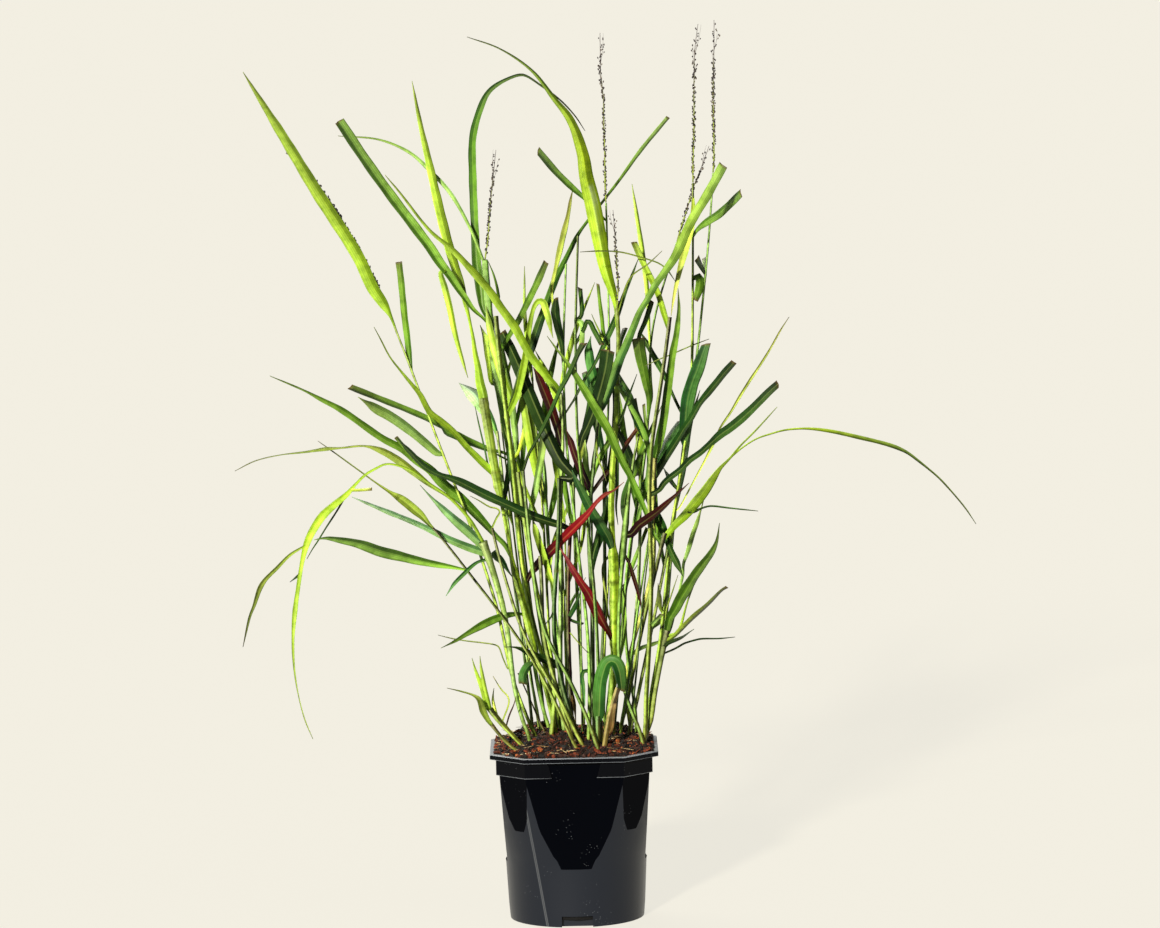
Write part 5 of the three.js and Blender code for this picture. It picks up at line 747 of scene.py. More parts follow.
def comb():
    runs = findCrossings()
    sizes = np.array([len(r['i']) for r in runs])
    firsts = np.concatenate([[0], np.cumsum(sizes)[:-1]])
    i, j, room = (np.concatenate([r[k] for r in runs]) for k in ('i', 'j', 'room'))
    order = np.array([r['order'] for r in runs])
    isRoot = np.zeros(len(base), dtype=bool)
    isRoot[[starts[k] for k, s in enumerate(strands) if s['parent'] >= 0]] = True
    before = np.maximum(np.arange(len(base)) - 1, starts[owner])
    after = np.minimum(np.arange(len(base)) + 1, starts[owner + 1] - 1)
    isStem = np.array([s['kind'] == 'stem' for s in strands])[owner]
    low = np.nonzero(isStem & (allU <= clump['easeFrom']))[0]
    limit = clump['boreCorner'] * math.sqrt(2) - np.abs(at(allA[low], allU[low], 0 * low)[:, 0]) - clump['footInset']
    limit = np.minimum(clump['footReach'], limit)
    shift = np.zeros(len(base))
    for turn in range(clump['rounds']):
        depth = depthsOf(shift)
        between = depth[i] - depth[j]
        sign = np.repeat(np.where(order < 0, -1, 1), sizes)
        if turn and turn % clump['recheckEvery'] == 0:
            # a crossing that stays too tight is let through on the side where the two now lie
            short = np.maximum.reduceat(room - sign * between, firsts)
            order = np.where(short > clump['tight'], np.add.reduceat(between, firsts), order)
            sign = np.repeat(np.where(order < 0, -1, 1), sizes)
        short = room - sign * between
        by = np.where(short > 0, sign * np.minimum(short, clump['mostPush']) * clump['pushShare'], 0)
        shift += np.bincount(pushTo[i], by, len(base)) - np.bincount(pushTo[j], by, len(base))
        ease = clump['ease'][int(turn >= clump['rounds'] * clump['lateFrom'])]
        shift += ease * ((shift[before] + shift[after]) / 2 - shift)
        shift[isRoot] = 0
        depth = base[low] + shift[low]
        shift[low] += np.clip(depth, -limit, limit) - depth
    return depthsOf(shift)


combed = comb()
for k, s in enumerate(strands):
    s['point'] = at(s['a'], s['u'], combed[starts[k]:starts[k + 1]])
print('clump combed apart')


# ---- stems and blades ----
clumpLook = {
    'refine': 2,  # rings to each drawn step
    'sections': 7,  # points across a blade
    'rib': 0.55, 'edge': 0.16,  # thickness of a blade at its midrib and at its edge
    'fold': [0.62, 0.3, 0.22],  # how steeply a blade is folded at its root, middle and end
    'foldAt': [0, 0.35, 1],
    'slimmest': 0.4, 'tipWidth': 0.5, 'tipRings': 6,
    'ripple': 0.35, 'rippleWaves': (6, 11), 'rippleRings': 80, 'slant': 0.9, 'jag': 0.4,
    'paintedHalves': (0.25, 0.65),  # how far one half of a blade is painted lighter and the other darker, as painted light and shade
    # the sunny and lit entries set the painted light on one half of a blade
    'sunnyShare': 0.45, 'sunnyFrom': 0.25, 'litTone': 'd4f07c', 'litFill': 0.25,
    'cutTone': '5a4226', 'cutBack': (3.5, 0.5),
    'bladeStreak': 0.1, 'bladeMottle': 0.14, 'stemMottle': 0.16, 'stemMottleSize': 31,
    'stemSides': 16, 'stemSlim': 0.95,
    'grooveDepth': 0.32, 'grooveFrom': (4.2, 5.8), 'grooveWide': 0.16, 'grooveShade': 1.6, 'grooveTurn': 0.7,
    'firstJoint': (40, 80), 'lastJoint': 15, 'jointEvery': (120, 190),
    'jointSwell': 1.12, 'jointHalf': 1.6, 'jointTone': '6a6424', 'jointShare': 0.5,
    'collarSwell': 1.12, 'collarHalf': 3,
    'lit': (0.14, 1.7),  # how dark the painted shade on a stem is, and how light its painted light
    # where the painted light round a stem faces, how wide it is, and where its painted highlight tone starts
    'litFrom': 0.9, 'litTurn': 0.9, 'paintedStemLightFrom': 0.4, 'paintedStemHighlightFrom': 0.6, 'paintedStemHighlightTone': 'cfe6a0', 'paintedStemHighlightShare': 0.3,
    'stoutFrom': (6, 9), 'stoutLift': 0.5, 'palest': 0.9,
    'sheaths': 3, 'streak': 0.3, 'streakFrom': (0.2, 0.9),
    'footTone': '8a7a32', 'footShare': 0.4, 'footTo': (180, 226),
    'stemTones': {
        'culm_01': 'bright', 'culm_07': 'leaf', 'culm_14': 'leaf', 'culm_17': 'green', 'culm_20': 'leaf',
        'culm_21': 'leaf', 'culm_25': 'bright', 'culm_26': 'leaf', 'culm_28': 'leaf', 'culm_31': 'green',
        'culm_32': 'light',
    },
}
# leaf and stem colours from foot to end
tones = {
    'bright': ['8ab41a', 'a6ce28', 'b2d830', 'b4da40', '7c8a38'],
    'light': ['86b44c', 'a0d068', 'a8d874', 'a4d060', '8a9a58'],
    'green': ['4c7a14', '5c901a', '6c9e22', '78aa30', '5a6a30'],
    # the dark and night tones are partly the blades' own deep green and partly painted shade, for blades that lie in
    # the clump's shade
    'dark': ['1a3410', '244a18', '2c5a1c', '386622', '34482a'],
    'night': ['14260c', '1a3610', '223f16', '2c4a1c'],
    'blue': ['1c4820', '2c6c2e', '3c8438', '4c9044', '5a9458'],
    'folded': ['2c641e', '3c802e', '2c6c24', '1c5018'],
    'yellow': ['b8d030', 'd2e84c', 'dcee60', 'ccd85c', '8a7a40'],
    'olive': ['84a028', '92aa34', '90a038', '788a38', '5a4e40'],
    'purple': ['18080c', '34101a', '4c1620', '6a2a32'],
    'tan': ['5e4026', '96703e', 'b48c54', 'c8a870'],
    'maroon': ['14060a', '3c0a0c', '5c0c12', '64161a'],
    'ruby': ['1e060c', '4c0c18', 'cc1c2a', 'e03842', 'b8604e'],
    'wine': ['6a2410', '780818', 'b81424', 'd06070'],
    'sage': ['0f2c12', '1c4a1a', '46841c', '74a634', '8eac62'],
    'leaf': ['7ab028', '7ab438', '80b444', '80b050'],
    'arching': ['90b810', 'a6cc12', 'a2c014', '5c7a20', '40442c'],
    'bowed': ['5a8c18', '5a901a', '4c841a', '46603a', '3a3c34'],
    'rising': ['2c5a2c', '4a8038', '80b44a', 'a8d048', '9cc45c'],
    'silvery': ['4a9a3c', '70b45c', 'a8d4a0', 'c4e0c4'],
    'greyed': ['5a8a48', '689c5c', '72a46c', '7aa07a'],
}


def linear(code):
    value = np.array([int(code[k:k + 2], 16) for k in (0, 2, 4)]) / 255
    return np.where(value <= 0.04045, value / 12.92, ((value + 0.055) / 1.055) ** 2.4)


def toneAt(name, share):
    stops = np.array([linear(code) for code in tones[name]])
    places = np.linspace(0, 1, len(stops))
    return np.stack([np.interp(share, places, stops[:, k]) for k in range(3)], -1)


def unit(v):
    return v / np.maximum(np.linalg.norm(v, axis=-1, keepdims=True), 1e-9)


def refined(values, times):
    values = np.asarray(values, dtype=float)
    for _ in range(times - 1):
        before, after = 2 * values[0] - values[1], 2 * values[-1] - values[-2]
        full = np.concatenate([[before], values, [after]])
        middle = (9 * (full[1:-2] + full[2:-1]) - full[:-3] - full[3:]) / 16
        mixed = np.empty((len(values) * 2 - 1,) + values.shape[1:])
        mixed[0::2], mixed[1::2] = values, middle
        values = mixed
    return values


def newSkin():
    # gathers swept forms into one mesh
    return {'points': [], 'faces': [], 'tints': [], 'uvs': [], 'kinds': [], 'count': 0}


def sweepSkin(skin, rings, tints, across, along, kind):
    # rings: (n, sides, 3) in millimetres
    n, sides = rings.shape[:2]
    first = skin['count']
    places = [np.broadcast_to(across, (n, sides)), np.broadcast_to(along[:, None], (n, sides))]
    skin['points'].append(rings.reshape(-1, 3))
    skin['tints'].append(tints.reshape(-1, 3))
    skin['uvs'].append(np.stack(places, -1).reshape(-1, 2))
    skin['count'] += n * sides
    i, j = np.meshgrid(np.arange(n - 1), np.arange(sides), indexing='ij')
    a = first + i * sides + j
    b = first + i * sides + (j + 1) % sides
    quads = np.stack([a, b, b + sides, a + sides], -1).reshape(-1, 4)
    skin['faces'] += quads.tolist()
    skin['faces'].append(list(range(first + sides - 1, first - 1, -1)))
    skin['faces'].append(list(range(first + (n - 1) * sides, first + n * sides)))
    skin['kinds'] += [kind] * (len(quads) + 2)


def newObject(name, data):
    made = bpy.data.objects.new(name, data)
    bpy.context.collection.objects.link(made)
    return made


def skinPiece(skin, name, materials, smooth=True):
    mesh = bpy.data.meshes.new(name)
    mesh.from_pydata((np.concatenate(skin['points']) * mm).tolist(), [], skin['faces'])
    tint = mesh.color_attributes.new('tint', 'FLOAT_COLOR', 'POINT')
    colours = np.concatenate([np.concatenate(skin['tints']), np.ones((skin['count'], 1))], 1)
    tint.data.foreach_set('color', colours.ravel())
    corner = np.empty(len(mesh.loops), dtype=np.int64)
    mesh.loops.foreach_get('vertex_index', corner)
    mesh.uv_layers.new(name='along').data.foreach_set('uv', np.concatenate(skin['uvs'])[corner].ravel())
    for material in materials:
        mesh.materials.append(material)
    mesh.polygons.foreach_set('material_index', skin['kinds'])
    mesh.polygons.foreach_set('use_smooth', [smooth] * len(mesh.polygons))
    mesh.update()
    return newObject(name, mesh)


def frameOf(points):
    along = unit(np.gradient(points, axis=0))
    across = unit(np.cross(along, forward))
    inward = unit(np.cross(along, across))
    return along, across, inward


def tintsOn(rings, name):
    shares = np.linspace(0, 1, len(rings))
    return np.broadcast_to(toneAt(name, shares)[:, None], rings.shape).copy()


def ringsRound(points, angle, radius):
    # radius: (n, 1) or (n, sides)
    _, across, inward = frameOf(points)
    turned = np.cos(angle)[None, :, None] * across[:, None] + np.sin(angle)[None, :, None] * inward[:, None]
    return points[:, None] + radius[..., None] * turned


def sweepBlade(skin, s, rng):
    look = clumpLook
    points, width, turn = (refined(s[key], look['refine']) for key in ('point', 'width', 'twist'))
    share = np.linspace(0, 1, len(points))
    width = np.maximum(width, look['slimmest'])
    if s['end'] == 'tip':
        endSteps = min(look['tipRings'], len(points) - 1)
        width[-endSteps:] *= np.linspace(1, look['tipWidth'] / width[-1], endSteps)
    along, across, inward = frameOf(points)
    wide = across * np.cos(turn)[:, None] + inward * np.sin(turn)[:, None]
    thick = np.cross(along, wide)
    half = width / 2 / np.cos(turn)
    steepness = (0.8 + 0.4 * rng.random()) * (1 if rng.random() < 0.5 else -1)
    fold = np.interp(share, look['foldAt'], look['fold']) * steepness
    t = np.linspace(-1, 1, look['sections'])
    body = look['edge'] + (look['rib'] - look['edge']) * (1 - np.abs(t)) ** 1.5
    lift = np.sqrt(t * t + 0.01) - 0.5
    waves = share * partWay(look['rippleWaves'], rng.random()) * 6.28 * len(points) / look['rippleRings']
    swing = waves + rng.random() * 6.28
    ripple = look['ripple'] * np.sin(swing) * smoothstep(share, 0.05, 0.3)
    top = lift[None] * (fold * half)[:, None] + ripple[:, None] * t[None] ** 3 * np.minimum(half / 5, 1)[:, None]
    upper = np.stack([np.broadcast_to(t, top.shape) * half[:, None], top + body / 2], -1)
    lower = np.stack([np.broadcast_to(t, top.shape) * half[:, None], top - body / 2], -1)
    ring = np.concatenate([upper, lower[:, ::-1]], 1)
    rings = points[:, None] + ring[..., :1] * wide[:, None] + ring[..., 1:] * thick[:, None]
    far = lengthAlong(points)
    if s['end'] == 'cut':
        slant = (rng.random() - 0.5) * look['slant']
        jag = 0.25 * (rng.random(look['sections']) - 0.5) * width[-1] * look['jag']
        push = t * slant * half[-1] + jag
        rings[-1] += along[-1] * np.concatenate([push, push[::-1]])[:, None]
    tints = tintsOn(rings, s['colour'])
    tt = np.concatenate([t, t[::-1]])
    # painted light and shade: one half of a folded blade is painted lighter and the other darker, as they never
    # catch the light alike
    contrast = partWay(look['paintedHalves'], rng.random())
    towards = np.tanh(tt * 6) * rng.choice([-1, 1])
    paintedHalves = 1 + contrast * np.where(towards > 0, look['sunnyShare'], 1) * towards
    streak = 1 + look['bladeStreak'] * np.sin(tt * 7 + rng.random() * 6)
    slow = 1 + look['bladeMottle'] * np.sin(share * 9 + rng.random() * 6)
    tints *= (paintedHalves * streak)[None, :, None] * slow[:, None, None]
    sunny = towards * contrast > look['sunnyFrom']
    if tints[..., 1].mean() > tints[..., 0].mean():
        # painted highlight: the sunny half of a green blade is painted towards a pale yellow
        tints[:, sunny] += (linear(look['litTone']) * tints[:, sunny].mean() * 3 - tints[:, sunny]) * look['litFill']
    if s['end'] == 'cut':
        brown = smoothstep(far, far[-1] - look['cutBack'][0], far[-1] - look['cutBack'][1])[:, None, None]
        tints += (linear(look['cutTone']) - tints) * brown
    sweepSkin(skin, rings, tints, (tt + 1) / 2, far / 10, 0)


def sweepStem(skin, s, collars, rng):
    look = clumpLook
    points, width, u = (refined(s[key], look['refine']) for key in ('point', 'width', 'u'))
    width = width * look['stemSlim']
    far = lengthAlong(points)
    swell = np.ones(len(points))
    shade = np.zeros(len(points))
    place = partWay(look['firstJoint'], rng.random())
    while place < far[-1] - look['lastJoint']:
        near = np.exp(-((far - place) / look['jointHalf']) ** 2)
        swell += (look['jointSwell'] - 1) * near
        shade = np.maximum(shade, near)
        place += partWay(look['jointEvery'], rng.random())
    for k in collars:
        near = np.exp(-((far - far[min(k * look['refine'], len(far) - 1)]) / look['collarHalf']) ** 2)
        swell += (look['collarSwell'] - 1) * near
    angle = np.arange(look['stemSides']) / look['stemSides'] * 2 * math.pi
    # a thick stem is a bundle: its sheaths meet in a groove down the front and another down the back
    fromGroove = (angle - (math.pi / 2 + look['grooveTurn'] * (rng.random() - 0.5))) / 2
    inGroove = sum(np.exp(-(wave(fromGroove) / look['grooveWide']) ** 2) for wave in (np.sin, np.cos))
    depth = look['grooveDepth'] * smoothstep(width, *look['grooveFrom'])[:, None] * inGroove[None]
    rings = ringsRound(points, angle, (width / 2 * swell)[:, None] * (1 - depth))
    tints = tintsOn(rings, look['stemTones'].get(s['node'], s['colour']))
    # painted light and shade: a stem is painted light along two opposite sides, one of them towards the key light,
    # and painted shade between them, less deep on stout stems; its lightest sides also get a pale painted highlight
    # tone
    turnTo = look['litFrom'] + look['litTurn'] * (rng.random() - 0.5)
    lit = smoothstep(np.abs(np.cos(angle - turnTo)), look['paintedStemLightFrom'], 1.0)
    shady = look['lit'][0] + look['stoutLift'] * smoothstep(width.max(), *look['stoutFrom'])
    paintedStemShading = partWay((shady, look['lit'][1]), lit)
    streak = 1 - look['streak'] * smoothstep(np.cos(look['sheaths'] * angle + rng.random() * 6), *look['streakFrom'])
    slow = 1 + look['stemMottle'] * np.sin(far / look['stemMottleSize'] + rng.random() * 6)
    # painted shade darkens the grooves between the sheaths
    tints *= (paintedStemShading * streak)[None, :, None] * slow[:, None, None] * (1 - look['grooveShade'] * depth)[..., None]
    paintedStemHighlight = lit > look['paintedStemHighlightFrom']
    tints[:, paintedStemHighlight] += (linear(look['paintedStemHighlightTone']) - tints[:, paintedStemHighlight]) * look['paintedStemHighlightShare']
    foot = (1 - smoothstep(u, *look['footTo']))[:, None, None]
    tints += (linear(look['footTone']) - tints) * foot * look['footShare']
    tints += (linear(look['jointTone']) - tints) * shade[:, None, None] * look['jointShare']
    sweepSkin(skin, rings, np.minimum(tints, look['palest']), angle / (2 * math.pi), far / 10, 1)


def addNode(tree, kind, settings=None, links=None, stops=None):
    node = tree.nodes.new(kind)
    for key, value in (settings or {}).items():
        if isinstance(key, str) and hasattr(node, key):
            setattr(node, key, value)
        else:
            node.inputs[key].default_value = value
    for key, source in (links or {}).items():
        tree.links.new(source, node.inputs[key])
    if stops:
        while len(node.color_ramp.elements) < len(stops):
            node.color_ramp.elements.new(0.5)
        for element, (place, code) in zip(node.color_ramp.elements, stops):
            element.position = place
            element.color = colour4(code)
    return node


def newMaterial(name, settings):
    material = bpy.data.materials.new(name)
    material.use_nodes = True
    tree = material.node_tree
    tree.nodes.clear()
    shader = addNode(tree, 'ShaderNodeBsdfPrincipled', settings)
    addNode(tree, 'ShaderNodeOutputMaterial', links={'Surface': shader.outputs[0]})
    return material, tree, shader


def colour4(code):
    return (*linear(code), 1)


def maths(tree, operation, *values):
    # numbers are set and sockets are linked
    fixed = {k: v for k, v in enumerate(values) if isinstance(v, (int, float))}
    linked = {k: v for k, v in enumerate(values) if k not in fixed}
    return addNode(tree, 'ShaderNodeMath', {'operation': operation, **fixed}, linked).outputs[0]


def blended(tree, kind, share, under, over):
    # a share is a number or a socket, and a colour is a code or a socket
    values = {0: share, 6: under, 7: over}
    fixed = {k: v for k, v in values.items() if isinstance(v, (int, float))}
    fixed |= {k: colour4(v) for k, v in values.items() if isinstance(v, str)}
    linked = {k: v for k, v in values.items() if k not in fixed}
    return addNode(tree, 'ShaderNodeMix', {'data_type': 'RGBA', 'blend_type': kind, **fixed}, linked).outputs[2]


def ranged(tree, value, **limits):
    settings = {key: limits[name] for name, key in (('low', 'From Min'), ('high', 'From Max'), ('to', 'To Max'))
                if name in limits}
    return addNode(tree, 'ShaderNodeMapRange', settings, {'Value': value}).outputs[0]


def noise(tree, size, detail, roughness=0.5):
    # the size of a pattern is in millimetres
    coords = addNode(tree, 'ShaderNodeTexCoord').outputs['Object']
    settings = {'Scale': 1000 / size, 'Detail': detail, 'Roughness': roughness}
    return addNode(tree, 'ShaderNodeTexNoise', settings, {'Vector': coords}).outputs[0]


def ramp(tree, value, *stops):
    return addNode(tree, 'ShaderNodeValToRGB', links={0: value}, stops=stops).outputs[0]


def ownTint(tree):
    return addNode(tree, 'ShaderNodeAttribute', {'attribute_name': 'tint'}).outputs['Color']


def ridged(tree, count, depth):
    # even ridges side by side, across a blade or round a stem
    along = addNode(tree, 'ShaderNodeUVMap', {'uv_map': 'along'}).outputs[0]
    across = addNode(tree, 'ShaderNodeSeparateXYZ', links={0: along}).outputs[0]
    wave = maths(tree, 'SINE', maths(tree, 'MULTIPLY', across, count * 2 * math.pi))
    return across, ranged(tree, wave, low=-1, to=depth)


def finish(tree, shader, colour, strength, distance, height):
    tree.links.new(colour, shader.inputs['Base Color'])
    bump = addNode(tree, 'ShaderNodeBump', {'Strength': strength, 'Distance': distance}, {'Height': height})
    tree.links.new(bump.outputs[0], shader.inputs['Normal'])


# living grass blade: waxy skin over parallel veins, so it shines softly along its length and shows a pale midrib
bladeFinish = {'veins': 6, 'veinDepth': 0.3, 'rib': (0.04, 0.07), 'ribPale': 0.14, 'blotch': 16}
leafBlade, tree, shader = newMaterial('leafBlade', {'Roughness': 0.42, 'IOR': 1.42, 'Specular IOR Level': 0.2})
across, veins = ridged(tree, bladeFinish['veins'], bladeFinish['veinDepth'])
fromRib = maths(tree, 'ABSOLUTE', maths(tree, 'SUBTRACT', across, 0.5))
rib = ranged(tree, fromRib, low=bladeFinish['rib'][1], high=bladeFinish['rib'][0], to=bladeFinish['ribPale'])
shade = ramp(tree, noise(tree, bladeFinish['blotch'], 4, 0.6), (0.34, 'a8b0a0'), (0.6, 'ffffff'))
mottled = blended(tree, 'MULTIPLY', 0.8, ownTint(tree), shade)
veined = blended(tree, 'MULTIPLY', veins, mottled, '5f7f3a')
finish(tree, shader, blended(tree, 'SCREEN', rib, veined, 'c0d070'), 0.4, 0.0003, veins)

# jointed grass stem under its leaf sheaths: smooth and faintly ribbed lengthwise
stemFinish = {'ribs': 9, 'ribDepth': 0.3, 'blotch': 9}
leafStem, tree, shader = newMaterial('leafStem', {'Roughness': 0.4, 'IOR': 1.42, 'Specular IOR Level': 0.14})
_, ribs = ridged(tree, stemFinish['ribs'], stemFinish['ribDepth'])
shade = ramp(tree, noise(tree, stemFinish['blotch'], 5, 0.65), (0.36, '7c8258'), (0.58, 'ffffff'))
mottled = blended(tree, 'MULTIPLY', 0.8, ownTint(tree), shade)
finish(tree, shader, blended(tree, 'MULTIPLY', ribs, mottled, '5a6a2c'), 0.3, 0.0003, ribs)

# ripe grass flowers: dry papery husks, dull and a little furry
seedFinish = {'fleck': 1.6}
husk, tree, shader = newMaterial('seedHusk', {'Roughness': 0.8, 'IOR': 1.4, 'Sheen Weight': 0.2})
shade = ramp(tree, noise(tree, seedFinish['fleck'], 3), (0.35, '8a8a8a'), (0.65, 'ffffff'))
tree.links.new(blended(tree, 'MULTIPLY', 0.7, ownTint(tree), shade), shader.inputs['Base Color'])
print('plant finishes made')


def ownDraws(name, first):
    # a plant keeps its own random draws, whatever is built before it
    return np.random.default_rng(sum(ord(c) * (k + first) for k, c in enumerate(name)))


built = {}
for plant in plants:
    skin = newSkin()
    rng = ownDraws(plant['name'], 3)
    own = [s for s in strands if s['node'] == plant['name']]
    collars = [s['root'] for s in own if s['kind'] == 'blade' and strands[s['parent']]['kind'] == 'stem']
    for s in own:
        if s['kind'] == 'stem':
            sweepStem(skin, s, collars, rng)
        else:
            sweepBlade(skin, s, rng)
    built[plant['name']] = skinPiece(skin, plant['name'] + '_leafy', [leafBlade, leafStem])
print('stems and blades built:', sum(len(p.data.polygons) for p in built.values()), 'faces')

# ---- thin young stems that fill the clump ----
youngLook = {
    'count': 18, 'plants': 4, 'tries': 16,
    'spread': (-60, 60), 'lean': 0.7, 'edgeSlope': 0.32, 'leanSpread': 0.1, 'sway': 6,
    'height': (200, 420), 'width': (1.9, 3.2), 'buriedTo': 158, 'depth': (-6, 54),
    'potHalf': 70,  # half width over which the feet stand back less towards the sides
    'leaves': (1, 3), 'leafLength': (60, 140), 'leafWidth': (3.5, 7), 'leafTurn': 24, 'leafTwist': 26,
    'room': 2.0, 'leafRoom': 0.5, 'tipped': 0.6, 'lookAround': 12,
    # up, left and right edges of the clump
    'within': [(158, -70, 70), (300, -78, 80), (400, -90, 96), (500, -92, 100), (600, -84, 92), (680, -66, 60),
               (760, 0, 0)],
    'colours': ['green', 'bright', 'dark', 'olive', 'leaf', 'purple'], 'share': [0.26, 0.3, 0.2, 0.1, 0.09, 0.05],
}
taken = [(s['point'], s['width'] / 2) for s in strands]


def roomAt(points, halfWidths):
    # least room between these points and everything that already stands in the clump
    least = 99.0
    for other, girth in taken:
        reach = np.ptp(other, 0) / 2 + np.ptp(points, 0) / 2 + youngLook['lookAround']
        if (np.abs(other.mean(0) - points.mean(0)) > reach).any():
            continue
        apart = np.linalg.norm(points[:, None] - other[None, ::2], axis=-1) - halfWidths[:, None] - girth[None, ::2]
        least = min(least, apart.min())
    return least


def keepsWithin(points):
    # young growth stays inside the clump's outline
    up, left, right = zip(*youngLook['within'])
    isRightOf = points['a'] > np.interp(points['u'], up, left)
    return bool((isRightOf & (points['a'] < np.interp(points['u'], up, right))).all())


def youngCourse(rng, k):
    # a slim stem leans out as far as it stands from the middle of the clump
    look = youngLook
    foot = partWay(look['spread'], (k + rng.random()) / look['count'])
    height = partWay(look['height'], rng.random())
    lean = foot / look['spread'][1] * look['lean'] * look['edgeSlope'] + look['leanSpread'] * (rng.random() - 0.5)
    rise = np.array([0, 0.3, 0.65, 1]) * height
    sway = np.cumsum(np.append(0, (rng.random(3) - 0.5) * look['sway']))
    return [[foot + lean * r + w, look['buriedTo'] + r] for r, w in zip(rise, sway)]


def youngStrand(course, widths, depths, colour, end):
    points = walk(course, lambda s, u: np.interp(s, *widths), lambda s: partWay(depths, s))
    points['point'] = at(points['a'], points['u'], points['base'])
    return {'node': 'young', 'colour': colour, 'end': end, **points}


def youngStem(rng, course, girth, colour):
    back = math.sqrt(max(0.1, 1 - (course[0][0] / youngLook['potHalf']) ** 2))
    foot = partWay(youngLook['depth'], rng.random()) * back
    top = foot * 1.3 + (rng.random() - 0.3) * 30
    return youngStrand(course, ([0, 1], [girth * 1.2, girth * 0.7]), (foot, top), colour, 'cut')


def youngLeaf(rng, root, girth, length, wide, isTip, colour):
    a0, u0, d0 = root
    turn = math.radians(youngLook['leafTurn'] * (rng.random() * 2 - 1) + a0 * 0.16)
    bow = (rng.random() - 0.5) * 0.3
    course = [[a0, u0], [a0 + math.sin(turn) * length * 0.5, u0 + math.cos(turn) * length * 0.5],
              [a0 + math.sin(turn + bow) * length, u0 + math.cos(turn + bow) * length * 0.96]]
    widths = ([0, 0.12, 0.45, 1], [girth * 0.8, wide * 0.8, wide, 1 if isTip else wide * 0.7])
    made = youngStrand(course, widths, (d0, d0 + (rng.random() - 0.25) * 60), colour, 'tip' if isTip else 'cut')
    twist = math.radians(youngLook['leafTwist']) * rng.choice([-1, 1]) * smoothstep(made['share'], 0, 0.5)
    return {**made, 'twist': twist}


def roomiest(make, first, enough):
    # the one with most room of several tries, measured from its point with the number first
    best = (-99, None)
    for _ in range(youngLook['tries']):
        made = make()
        room = roomAt(made['point'][first:], made['width'][first:] / 2) if keepsWithin(made) else -99
        if room > best[0]:
            best = (room, made)
        if room > enough:
            break
    return best


rng = np.random.default_rng(411)
skins = [newSkin() for _ in range(youngLook['plants'])]
for k in range(youngLook['count']):
    skin = skins[k % youngLook['plants']]
    colour = rng.choice(youngLook['colours'], p=youngLook['share'])
    course = youngCourse(rng, k)
    girth = partWay(youngLook['width'], rng.random())
    room, grown = roomiest(lambda: youngStem(rng, course, girth, colour), 3, youngLook['room'])
    if room < 0:
        continue
    taken.append((grown['point'], grown['width'] / 2))
    sweepStem(skin, grown, [], rng)
    last = len(grown['a']) - 1
    for n in range(rng.integers(*youngLook['leaves'], endpoint=True)):
        leaveAt = last if n == 0 else int(last * (0.35 + 0.6 * rng.random()))
        root = [grown[key][leaveAt] for key in ('a', 'u', 'base')]
        length = partWay(youngLook['leafLength'], rng.random())
        wide = partWay(youngLook['leafWidth'], rng.random())
        isTip = rng.random() < youngLook['tipped']
        room, blade = roomiest(lambda: youngLeaf(rng, root, girth, length, wide, isTip, colour), 4,
                               youngLook['leafRoom'])
        if room > -0.5:
            sweepBlade(skin, blade, rng)
            taken.append((blade['point'][4:], blade['width'][4:] / 2))
for k, skin in enumerate(skins):
    piece = skinPiece(skin, 'young_shoots_' + str(k + 1), [leafBlade, leafStem])
    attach(piece, 'root')
print('young shoots placed:', len(taken) - len(strands))

# ---- seed heads ----
headLook = {
    'stalk': 0.85, 'hair': 0.12, 'hairSides': 3, 'reach': (0.7, 3.1), 'spread': 2.6, 'spacing': 1.7,
    'husk': (0.8, 2.1),  # half width and length of a husk
    'bareFrom': 0.66, 'drawnIn': 0.94, 'looseFrom': (0.62, 0.9), 'slimTo': 0.3, 'axisTones': ('9cb03a', '4a3a3c'),
    'hairTone': '6c5a58', 'topRoom': 2.6, 'tonePick': [0.3, 0.24, 0.2, 0.14, 0.12],
}


def sweepStalk(skin, points, radius, tone, sides=5):
    angle = np.arange(sides) / sides * 2 * math.pi
    rings = ringsRound(points, angle, np.broadcast_to(radius, (len(points),))[:, None])
    shades = linear(tone) if isinstance(tone, str) else tone[:, None]
    tints = np.broadcast_to(shades, rings.shape)
    sweepSkin(skin, rings, tints, angle / 6.3, np.arange(len(points)) / 3, 0)


def sweepHusk(skin, root, direction, length, tone):
    steps = np.array([0, 0.18, 0.5, 0.82, 1])
    girth = np.array([0.2, 0.8, 1, 0.55, 0.08]) * headLook['husk'][0]
    sweepStalk(skin, root + np.outer(steps * length, direction), girth, tone)


def pointAt(place, far, points):
    return np.array([np.interp(place, far, points[:, k]) for k in range(3)])


